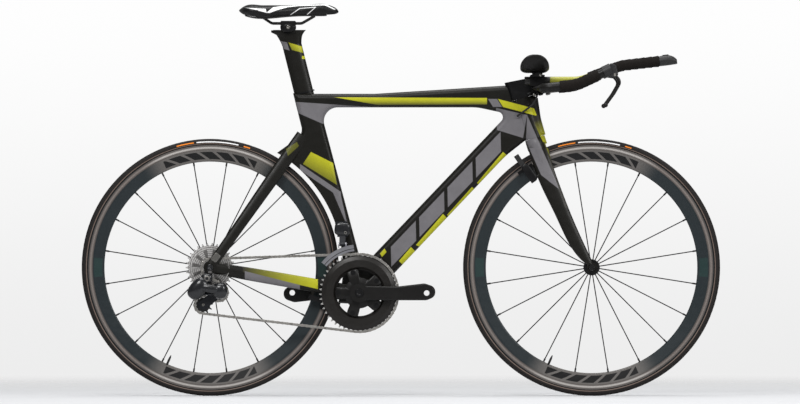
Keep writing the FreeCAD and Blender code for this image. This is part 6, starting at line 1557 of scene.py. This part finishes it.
@dataclass
class Chain(Assembly):
    """Roller chain in lengths that follow the sprockets, both derailleurs and the runs between them.

    The chain's line goes round four circles joined by straight tangents. Links stand on it at equal steps.
    """

    pitch: float = 0.0127
    ring_side: float = -0.0465
    cog_side: float = -0.0600
    arc_steps: int = 90
    rear_share: float = 0.3865
    front_share: float = 0.487
    lead: float = 0.050
    tail_length: float = 0.145
    guided_length: float = 0.100
    wheels: tuple[tuple[Pair, float, int], ...] = (
        ((-0.10804, 0.2676), 0.10113, 1), ((-0.51338, 0.23702), 0.02254, 1),
        ((-0.47200, 0.26900), 0.02254, -1), ((-0.49600, 0.33400), 0.02254, 1))

    def tangent(self, index: int) -> tuple[np.ndarray, np.ndarray]:
        """Ends of the straight run from one wheel to the next.

        Args:
            index: the wheel that the run leaves.

        Returns:
            Place where the run leaves and place where it arrives, in side view.
        """
        centre, radius, side = self.wheels[index]
        other, other_radius, other_side = self.wheels[(index + 1) % len(self.wheels)]
        across = np.array(other) - np.array(centre)
        swing = math.acos((side * radius - other_side * other_radius) / float(np.hypot(*across)))
        turn = math.atan2(across[1], across[0]) + swing
        out = np.array([math.cos(turn), math.sin(turn)])
        return np.array(centre) + out * side * radius, np.array(other) + out * other_side * other_radius

    def line(self) -> tuple[np.ndarray, np.ndarray, list[float]]:
        """The chain's line in side view.

        Returns:
            Places, their distances along the line, and the distances where arcs start and end.
        """
        runs = [self.tangent(index) for index in range(len(self.wheels))]
        arcs = []
        for index, (centre, radius, side) in enumerate(self.wheels):
            start, end = runs[index - 1][1] - centre, runs[index][0] - centre
            first, last = math.atan2(start[1], start[0]), math.atan2(end[1], end[0])
            sweep = -((first - last) % math.tau) if side > 0 else (last - first) % math.tau
            turn = first + sweep * np.linspace(0.0, 1.0, self.arc_steps)
            arcs.append(np.array(centre) + radius * np.column_stack([np.cos(turn), np.sin(turn)]))
        places = np.vstack(arcs + [arcs[0][:1]])
        distance = walked(places)
        ends = distance[:-1].reshape(-1, self.arc_steps)[:, [0, -1]].ravel().tolist()
        return places, distance, ends

    @staticmethod
    def ease(share: np.ndarray) -> np.ndarray:
        """Smooth step from nought to one that stays level near both ends."""
        level = 0.14
        return eased(between(share, level, 1.0 - level))

    def links(self, starts: np.ndarray, ends: np.ndarray, odd: np.ndarray, open_run: bool) -> list[np.ndarray]:
        """Shapes of some links: waisted plates, pin heads, and rollers where no tooth needs the room.

        A plate's outline is a circle drawn apart at both pins, drawn in between them by a parabola.

        Args:
            starts: pins where the links start.
            ends: pins where the links end.
            odd: one for each link that has its plates outside, nought for the others.
            open_run: adds rollers.

        Returns:
            Groups of shapes.
        """
        tall, thick, waist, straight, columns, sides = 0.0042, 0.00075, 0.26, 1.8, 24, 14
        inner_gap, outer_step, bevel, bevel_trim = 0.00122, 0.00083, 0.24, 0.95
        head, head_low, head_high, roller, roller_half = 0.0018, 0.00265, 0.00286, 0.00375, 0.0011
        along = unit(ends - starts)
        upward = unit(np.cross(along, ACROSS))
        frame = np.stack([along, np.cross(upward, along), upward], axis=1)
        middle = (starts + ends) / 2.0
        turn = turns(columns)
        spread = np.clip(np.cos(turn) * straight, -1.0, 1.0)
        flat_x = self.pitch / 2.0 * spread + tall * np.cos(turn)
        flat_z = tall * np.sin(turn) * (1.0 - waist * (1.0 - spread ** 2))
        depth = thick * np.array([0.0, bevel, 1.0 - bevel, 1.0])[:, None]
        trim = np.array([bevel_trim, 1.0, 1.0, bevel_trim])[:, None]
        inside = inner_gap + outer_step * odd
        groups = []
        for low in (inside, -inside - thick):
            y = low[:, None, None] + np.broadcast_to(depth, (len(trim), columns))
            x, z = (np.broadcast_to(flat * trim, y.shape) for flat in (flat_x, flat_z))
            groups.append(np.einsum("nrcj,njk->nrck", np.stack([x, y, z], axis=3), frame) + middle[:, None, None, :])
        ring = turns(sides)
        every, inner_pins = slice(None), slice(2, -2)
        drums = [(head, head_low, head_high, every), (head, -head_high, -head_low, every)]
        drums += [(roller, -roller_half, roller_half, inner_pins)] if open_run else []
        for radius, low, high, pins in drums:
            rows = np.array([[radius * np.cos(ring), np.full(sides, y), radius * np.sin(ring)] for y in (low, high)])
            groups.append(np.einsum("rjc,njk->nrck", rows, frame[pins]) + starts[pins, None, None, :])
        return groups

    def build(self) -> None:
        """Makes the chain's lengths and gives each length that follows one body that body; a length between two bodies
        stays where it is made.
        """
        places, distance, ends = self.line()
        whole = float(distance[-1])
        count = 2 * round(whole / self.pitch / 2.0)
        pins = np.arange(count) * (whole / count)
        side = self.ease((pins - ends[1]) / (ends[2] - ends[1])) - self.ease((pins - ends[7]) / (whole - ends[7]))
        x, z = (np.interp(pins, distance, part) for part in places.T)
        spots = np.column_stack([x, self.ring_side + (self.cog_side - self.ring_side) * side, z])
        following = np.roll(spots, -1, axis=0)
        for stretch in self.stretches(ends, whole):
            chosen = np.flatnonzero((pins >= stretch.low) & (pins < stretch.high))
            shapes = self.links(spots[chosen], following[chosen], chosen % 2, stretch.open_run)
            piece = Mesher.many(stretch.name, shapes)
            if stretch.first == stretch.second:
                self.give(piece, "chain_steel", stretch.first)
            else:
                self.coat(piece, "chain_steel")
                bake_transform(piece)
                LOG.info("piece %s between %s and %s", stretch.name, stretch.first, stretch.second)
            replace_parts(piece, "chain")

    def stretches(self, ends: list[float], whole: float) -> list[Stretch]:
        """Lengths of the chain and the bodies that they follow.

        A link of either derailleur turns, and its far end moves as the cage does. A run that takes only a
        share of that turn therefore meets the length that the cage carries.

        Args:
            ends: distances where the arcs start and end.
            whole: length of the chain's line.

        Returns:
            Stretches in order along the line.
        """
        fixed, outer, foot, cage = "frame", "rear_mech_outer_link", "rear_mech_knuckle", "rear_mech_cage"
        link, changer = "front_mech_link", "front_mech_cage"
        lead, tail, guided = self.lead, ends[2] - self.tail_length, whole - self.guided_length
        climb = (ends[5] + ends[6]) / 2.0
        return [
            Stretch("chain_lead", 0.0, lead, link, fixed, 1.0 - self.front_share),
            Stretch("chain_ring", lead, ends[1], fixed, fixed),
            Stretch("chain_lower_run", ends[1], tail, fixed, outer, 0.0, self.rear_share, True),
            Stretch("chain_tail_run", tail, ends[2], foot, cage, open_run=True),
            Stretch("chain_pulleys", ends[2], ends[5], cage, cage),
            Stretch("chain_short_run", ends[5], climb, cage, foot),
            Stretch("chain_climb", climb, ends[6], outer, fixed),
            Stretch("chain_cog", ends[6], ends[7], fixed, fixed),
            Stretch("chain_upper_run", ends[7], guided, fixed, link, 0.0, self.front_share, True),
            Stretch("chain_guided", guided, whole, changer, changer, open_run=True),
        ]


@dataclass
class Drivetrain(Assembly):
    """Cranks, rings, sprockets and both derailleurs."""

    ARM_COUNT = 5
    ARM_TURN = 36.0
    STAND_INS = {"rear_mech_shell": "rd_knuckle", "rear_mech_foot": "rd_lower_knuckle"}
    BOLTS = (
        ("crank_cap", (-0.10804, -0.0701, 0.2676), (0.0112, 0.0016), "anodised_black", "crankset"),
        ("left_crank_cap", (-0.10804, 0.0719, 0.2676), (0.0112, 0.0016), "anodised_black", "crankset"),
        ("hanger_bolt", (-0.5040, -0.0935, 0.3048), (0.0080, 0.0026), "bright_steel", "frame"),
        ("lower_pulley_bolt", (-0.51338, -0.0658, 0.23702), (0.0038, 0.0016), "bright_steel", "rear_mech_cage"),
        ("front_mech_bolt", (-0.1440, -0.0395, 0.4240), (0.0042, 0.0026), "bright_steel", "frame"))
    COVERS = (
        ("rear_mech_shell", "frame", (-0.5262, -0.0850, 0.2795), (0.0320, 0.0200, 0.0215), 2.5, 50.0),
        ("rear_mech_collar", "frame", (-0.5040, -0.0860, 0.3048), (0.0150, 0.0090, 0.0135), 2.4, 0.0),
        ("rear_mech_case", "rear_mech_outer_link", (-0.4960, -0.0985, 0.2790), (0.0250, 0.0085, 0.0110), 2.4, -10.0),
        ("rear_mech_foot", "rear_mech_knuckle", (-0.4695, -0.0845, 0.2740), (0.0200, 0.0205, 0.0215), 2.5, 0.0),
        ("front_mech_case", "frame", (-0.1520, -0.0320, 0.4335), (0.0205, 0.0095, 0.0170), 3.6, -6.0))
    WEB = ((0.30, -0.0558), (0.60, -0.0552), (0.97, -0.0545), (1.0, -0.0532), (0.97, -0.0519), (0.60, -0.0519),
           (0.30, -0.0519))

    def build(self) -> None:
        """Dresses the drivetrain and adds its bolts, covers and web."""
        self.dress("anodised_black", "chainring_bolts")
        self.dress("cassette_steel", "cassette")
        self.dress("ring_black", "outer_chainring", "inner_chainring")
        self.dress("carbon_black", "drive_crank", "left_crank")
        self.dress("mech_grey", "fd_body", "fd_link", "rd_knuckle", "rd_outer_link", "rd_inner_link")
        self.dress("mech_grey", "rd_lower_knuckle", "rd_cage")
        self.dress("cage_alloy", "fd_cage")
        self.dress("plastic_black", "guide_pulley", "tension_pulley")
        for bolt in self.BOLTS:
            self.bolt(*bolt)
        for name, body, *shape in self.COVERS:
            piece = self.give(Mesher.pebble(name, *shape), "mech_gloss", body)
            if name in self.STAND_INS:
                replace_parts(piece, self.STAND_INS[name])
        self.web()

    def web(self) -> None:
        """Adds the spider's web: a plate whose rim reaches out at the five arms and draws in between them.

        The rim's radius is a smooth step of the cosine of five times the angle from the nearest arm.
        """
        valley, reach, columns, crest_from, crest_to = 0.0400, 0.0225, 180, -0.30, 0.45
        turn = turns(columns)[None, :]
        crest = np.cos(self.ARM_COUNT * (turn - math.radians(self.ARM_TURN)))
        rim = valley + reach * eased(between(crest, crest_from, crest_to))
        share, depth = (column[:, None] for column in np.array(self.WEB).T)
        x = BOTTOM_BRACKET[0] + rim * share * np.cos(turn)
        z = BOTTOM_BRACKET[2] + rim * share * np.sin(turn)
        points = np.stack([x, np.broadcast_to(depth, x.shape), z], axis=2)
        self.give(Mesher.grid("spider_web", points), "carbon_black", "crankset")


@dataclass(frozen=True)
class Lamp:
    """A soft lamp: where it stands, where it looks, its size and its power."""

    name: str
    place: Point
    target: Point
    size: float
    power: float


@dataclass
class Studio:
    """Camera, floor, lamps and the pale surroundings."""

    distance: float = 40.0
    view_width: float = 2.081
    sensor: float = 36.0
    aim: Pair = (-0.0023, 0.504)
    clip_end: float = 100.0
    half_width: float = 9.0
    sheet_depth: float = 6.0
    sheet_rise: Pair = (-3.0, 5.0)
    sheet_shade: Pair = (-0.1, 1.15)
    sheet_fade: Pair = (6.5, 9.5)
    floor_cloud: float = 1.3
    floor_fade: Pair = (0.5, 5.0)
    light_strength: float = 0.55
    mirror_strength: float = 0.22
    lamps: tuple[Lamp, ...] = (
        Lamp("key_lamp", (-1.6, -4.6, 4.4), (0.0, 0.0, 0.5), 2.6, 230.0),
        Lamp("side_lamp", (3.4, -3.4, 2.6), (0.1, 0.0, 0.5), 2.2, 110.0),
        Lamp("top_lamp", (0.2, 0.4, 4.6), (0.0, 0.0, 0.4), 3.2, 150.0))

    def build(self) -> None:
        """Sets up everything round the bicycle."""
        self.camera()
        self.floor()
        self.backdrop()
        self.surroundings()
        for lamp in self.lamps:
            self.light(lamp)
        bpy.context.scene.view_settings.view_transform = "Standard"

    def camera(self) -> None:
        """Places the camera square to the bicycle's right side, far off so that the view is nearly flat."""
        data = bpy.data.cameras.new("side_camera")
        data.sensor_width = self.sensor
        data.lens = self.sensor * self.distance / self.view_width
        data.clip_end = self.clip_end
        camera = bpy.data.objects.new("side_camera", data)
        camera.location = (self.aim[0], -self.distance, self.aim[1])
        camera.rotation_euler = (math.pi / 2.0, 0.0, 0.0)
        bpy.context.scene.collection.objects.link(camera)
        bpy.context.scene.camera = camera

    def light(self, lamp: Lamp) -> None:
        """Adds one soft lamp.

        Args:
            lamp: the lamp's sizes.
        """
        data = bpy.data.lights.new(lamp.name, "AREA")
        data.shape = "DISK"
        data.size = lamp.size
        data.energy = lamp.power
        piece = bpy.data.objects.new(lamp.name, data)
        piece.location = lamp.place
        way = np.array(lamp.target) - np.array(lamp.place)
        flat = float(np.hypot(way[0], way[1]))
        piece.rotation_euler = (math.atan2(flat, -way[2]), 0.0, math.atan2(-way[0], way[1]))
        bpy.context.scene.collection.objects.link(piece)

    @staticmethod
    def sheet(name: str, low: Point, high: Point) -> tuple[bpy.types.Material, Wiring]:
        """Stages a flat sheet that is as wide as its two corners and has a material of its own.

        Args:
            name: the sheet's name.
            low: its lower left corner.
            high: its upper right corner.

        Returns:
            The material and the wiring of its nodes.
        """
        places = np.array([low, (high[0], *low[1:]), (low[0], *high[1:]), high])
        piece = Mesher.placed(name, places, [[0, 1, 3, 2]])
        material, wiring = Wiring.material(name)
        piece.data.materials.append(material)
        piece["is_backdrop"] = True
        return material, wiring

    def floor(self) -> None:
        """Lays a wide pale floor that fades to the surroundings with distance."""
        half = self.half_width
        material, wiring = self.sheet("studio_floor", (-half, -half, 0.0), (half, half, 0.0))
        cloud = wiring.noise(wiring.place, self.floor_cloud, Detail=3.0)
        shade = wiring.blend(cloud, tone(186, 187, 189), tone(192, 193, 195))
        near = wiring.rest(wiring.ramp(wiring.vector("LENGTH", wiring.place), *self.floor_fade))
        wiring.feed_all(material.node_tree.nodes["Principled BSDF"], {
            "Base Color": shade, "Roughness": 0.9, "Specular IOR Level": 0.1, "Alpha": near})

    def backdrop(self) -> None:
        """Stands a pale sheet behind the bicycle, seen from the front by the camera alone, darker at its foot."""
        half, depth, (low, high) = self.half_width, self.sheet_depth, self.sheet_rise
        material, wiring = self.sheet("studio_backdrop", (-half, depth, low), (half, depth, high))
        height = wiring.ramp(wiring.split(wiring.place)[2], *self.sheet_shade)
        shade = wiring.blend(height, tone(237, 237, 237), tone(254, 254, 254))
        front = wiring.rest(wiring.add("NewGeometry").outputs["Backfacing"])
        near = wiring.rest(wiring.ramp(wiring.vector("LENGTH", wiring.place), *self.sheet_fade))
        shown = wiring.times(wiring.times(front, near), wiring.add("LightPath").outputs["Is Camera Ray"])
        clear, glow = wiring.add("BsdfTransparent").outputs[0], wiring.add("Emission", shade).outputs[0]
        mix = wiring.add("MixShader", shown, clear, glow)
        wiring.feed(material.node_tree.nodes["Material Output"].inputs["Surface"], mix.outputs[0])

    def surroundings(self) -> None:
        """Makes the world white to the camera, dim to mirrors and a soft light for everything else."""
        white = (1.0, 1.0, 1.0, 1.0)
        world = bpy.data.worlds.new("pale_surroundings")
        world.use_nodes = True
        bpy.context.scene.world = world
        wiring = Wiring(world.node_tree)
        lit = wiring.feed_all(world.node_tree.nodes["Background"], {"Color": white, "Strength": self.light_strength})
        shiny = wiring.add("Background", white, self.mirror_strength).outputs[0]
        seen = wiring.add("Background", tone(250, 250, 250)).outputs[0]
        path = wiring.add("LightPath").outputs
        dim = wiring.add("MixShader", path["Is Glossy Ray"], lit, shiny)
        mix = wiring.add("MixShader", path["Is Camera Ray"], dim.outputs[0], seen)
        wiring.feed(world.node_tree.nodes["World Output"].inputs["Surface"], mix.outputs[0])


class Palette:
    """Every finish of the bicycle, made once and found by name."""

    PAINT = (
        Panel(((280, 41), (287, 42.5), (289.5, 50.5), (284, 49)), Tone.GREY),
        Panel(((288.5, 42.5), (302, 46.5), (303, 53), (292, 50)), Tone.YELLOW, (300, 46), (293, 54), Tone.OLIVE),
        Panel(((302, 56), (305, 56), (305, 59), (302, 59)), Tone.YELLOW),
        Panel(((296, 102), (370, 107), (323, 124), (298, 113)), Tone.GREY),
        Panel(((311, 152), (333, 163), (337, 185), (303, 164)), Tone.YELLOW, (328, 160), (318, 178), Tone.OLIVE),
        Panel(((300, 164), (341, 192), (341, 198), (300, 170)), Tone.GREY),
        Panel(((332, 190), (341, 196), (347, 223), (346, 223)), Tone.GREY),
        # the fade from yellow to black down the top tube is painted shade
        Panel(((335, 97.3), (487, 98), (487, 104.5), (378, 105)), Tone.YELLOW, (400, 99.5), (400, 106), Tone.BLACK),
        Panel(((488, 99), (497, 99), (502, 107), (493, 107)), Tone.GREY),
        Panel(((498, 99), (534, 108.5), (537, 116), (503, 107)), Tone.YELLOW),
        Panel(((496, 108), (527, 115), (523, 138), (497, 130)), Tone.GREY),
        Panel(((527, 115), (560, 190), (541, 175), (526, 141)), Tone.GREY),
        Panel(((531, 117), (541, 114), (549, 142), (543, 142)), Tone.YELLOW, (547, 146), (537, 120), Tone.BLACK),
        Panel(((543, 142), (549, 142), (570, 208), (565, 208)), Tone.YELLOW, (557, 165), (553.5, 166.5), Tone.BLACK),
        Panel(((286, 149), (297, 142), (299, 146), (288, 156)), Tone.OLIVE),
        Panel(((503, 152), (509, 157), (483, 188), (477, 183)), Tone.YELLOW),
        Panel(((472, 187), (478, 192), (453, 220), (447, 215)), Tone.YELLOW),
        Panel(((443, 214), (449, 220), (424, 249), (416, 245)), Tone.YELLOW),
        Panel(((411, 247), (416, 252), (404, 266), (399, 261)), Tone.YELLOW),
        Panel(((384.5, 248.5), (386.5, 252), (382, 257), (380, 253.5)), Tone.YELLOW),
        Panel(((243, 262), (318, 277), (318, 289), (243, 272)), Tone.YELLOW, (318, 283), (243, 267), Tone.BLACK),
        Panel(((245, 271), (300, 285), (300, 293), (245, 279)), Tone.GREY))
    BLOCK_STARTS = (48.0, 89.0, 130.0, 171.0)
    BLOCK_HALF = 7.0
    BLOCK_LENGTH = 36.0
    BLOCK_FOOT = (358.0, 291.6)
    BLOCK_AHEAD = (0.6896, -0.7242)
    # painted highlights: white strokes along the saddle's top and over its sides
    COVER = (
        Panel(((243, 7.8), (257, 8.8), (259, 11.0), (252, 9.4)), Tone.WHITE),
        Panel(((256.4, 8.8), (265.7, 9.1), (267, 13.2), (258.8, 11.0)), Tone.WHITE),
        Panel(((273.2, 7.7), (277.4, 10.3), (269.8, 13.3), (266.5, 13.2)), Tone.WHITE),
        Panel(((273.0, 7.7), (281.5, 6.3), (288.4, 7.2), (277.2, 10.4)), Tone.WHITE),
        Panel(((281.3, 6.3), (298, 5.4), (298, 6.2), (288.2, 7.3)), Tone.WHITE),
        Panel(((298, 5.2), (326, 4.4), (330, 5.2), (298, 6.1)), Tone.WHITE),
        Panel(((326, 4.6), (335.6, 9.2), (334.6, 9.8), (325, 5.5)), Tone.WHITE),
        Panel(((290.2, 15.0), (299.6, 8.3), (300.2, 8.8), (291.0, 15.0)), Tone.WHITE),
        Panel(((299.6, 8.3), (315.9, 6.9), (315.9, 7.5), (299.8, 8.9)), Tone.WHITE),
        Panel(((315.2, 7.2), (316.0, 7.2), (307.6, 14.8), (306.7, 14.8)), Tone.WHITE))
    # the fade from yellow at the top of the bar to olive below is painted shade
    BARS = (Panel(((550, 60), (592, 60), (592, 90), (550, 90)), Tone.YELLOW, (570, 74), (570, 84), Tone.OLIVE),)

    def __init__(self) -> None:
        """Makes every finish."""
        self.finishes = {finish.name: finish.make() for finish in self.listed()}

    def blocks(self) -> tuple[Panel, ...]:
        """Plain slanted blocks in a row along the down tube.

        Returns:
            The panels.
        """
        foot, ahead, half = np.array(self.BLOCK_FOOT), np.array(self.BLOCK_AHEAD), self.BLOCK_HALF
        down = np.array([-ahead[1], ahead[0]])
        panels = []
        for start in self.BLOCK_STARTS:
            end = start + self.BLOCK_LENGTH
            spots = ((start + half, -half), (end + half, -half), (end - half, half), (start - half, half))
            corners = [tuple(foot + ahead * along + down * across) for along, across in spots]
            panels.append(Panel(tuple(corners), Tone.GREY))
        return tuple(panels)

    def listed(self) -> tuple[Finish, ...]:
        """Sizes and colours of every finish.

        Returns:
            The finishes.
        """
        wheels = [finish for end, centre in AXLES.items() for finish in (
            RimFinish(end + "_rim_paint", tone(27, 34, 37), 0.36, coat=0.12, mirror=0.25, centre=centre),
            TyreFinish(end + "_tyre_rubber", tone(25, 22, 21), 0.72, mirror=0.25, centre=centre, grain_depth=0.0004),
            TurnedFinish(end + "_hub_black", tone(24, 24, 25), 0.3, metallic=0.4, centre=centre))]
        return (
            *wheels,
            PaintFinish("frame_paint", tone(16, 15, 11), 0.40, coat=0.04, mirror=0.2,
                        panels=self.PAINT + self.blocks()),
            CarbonFinish("carbon_black", tone(14, 13, 12), 0.38, coat=0.06, mirror=0.2),
            PaintFinish("extension_carbon", tone(22, 21, 20), 0.36, coat=0.1, panels=self.BARS),
            TurnedFinish("ring_black", tone(30, 28, 26), 0.34, metallic=0.3, centre=BOTTOM_BRACKET,
                         bright_from=0.0985),
            CogFinish("cassette_steel", tone(214, 212, 210), 0.36, metallic=0.75, centre=REAR_AXLE),
            SteelFinish("chain_steel", tone(168, 165, 160), 0.34, metallic=1.0),
            Finish("anodised_black", tone(14, 14, 15), 0.36, metallic=0.15, mirror=0.22),
            Finish("spoke_black", tone(20, 20, 20), 0.4, metallic=0.3),
            SteelFinish("bright_steel", tone(132, 130, 126), 0.32, metallic=1.0),
            CageFinish("cage_alloy", tone(176, 176, 182), 0.28, metallic=1.0, centre=BOTTOM_BRACKET),
            Finish("mech_grey", tone(24, 26, 31), 0.32, metallic=0.3, coat=0.15),
            Finish("mech_gloss", tone(15, 17, 21), 0.3, metallic=0.15, coat=0.5, mirror=0.4),
            FoamFinish("pad_foam", tone(66, 66, 68), 0.85, grain_depth=0.0002, sheen=0.3),
            CoverFinish("saddle_skin", tone(15, 15, 16), 0.36, mirror=0.25, panels=self.COVER, grain_depth=0.00006),
            TapeFinish("grip_tape", tone(23, 20, 18), 0.85, mirror=0.12, grain_depth=0.00025),
            Finish("black_rubber", tone(26, 26, 26), 0.6),
            Finish("plastic_black", tone(30, 30, 31), 0.46))


def corners() -> list[list[float]]:
    """Lowest and highest corners of what is shown, as plain lists."""
    return [[float(part) for part in corner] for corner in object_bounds()]


def main() -> None:
    """Builds the dressed bicycle in its studio."""
    logging.basicConfig(level=logging.INFO, format="%(name)s: %(message)s")
    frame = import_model()
    SharedEffects().build()
    finishes = Palette().finishes
    for assembly in (FrameSet, Wheels, Saddle, Cockpit, Chain, Drivetrain):
        assembly(frame, finishes).build()
    Studio().build()


if __name__ == "__main__":
    main()
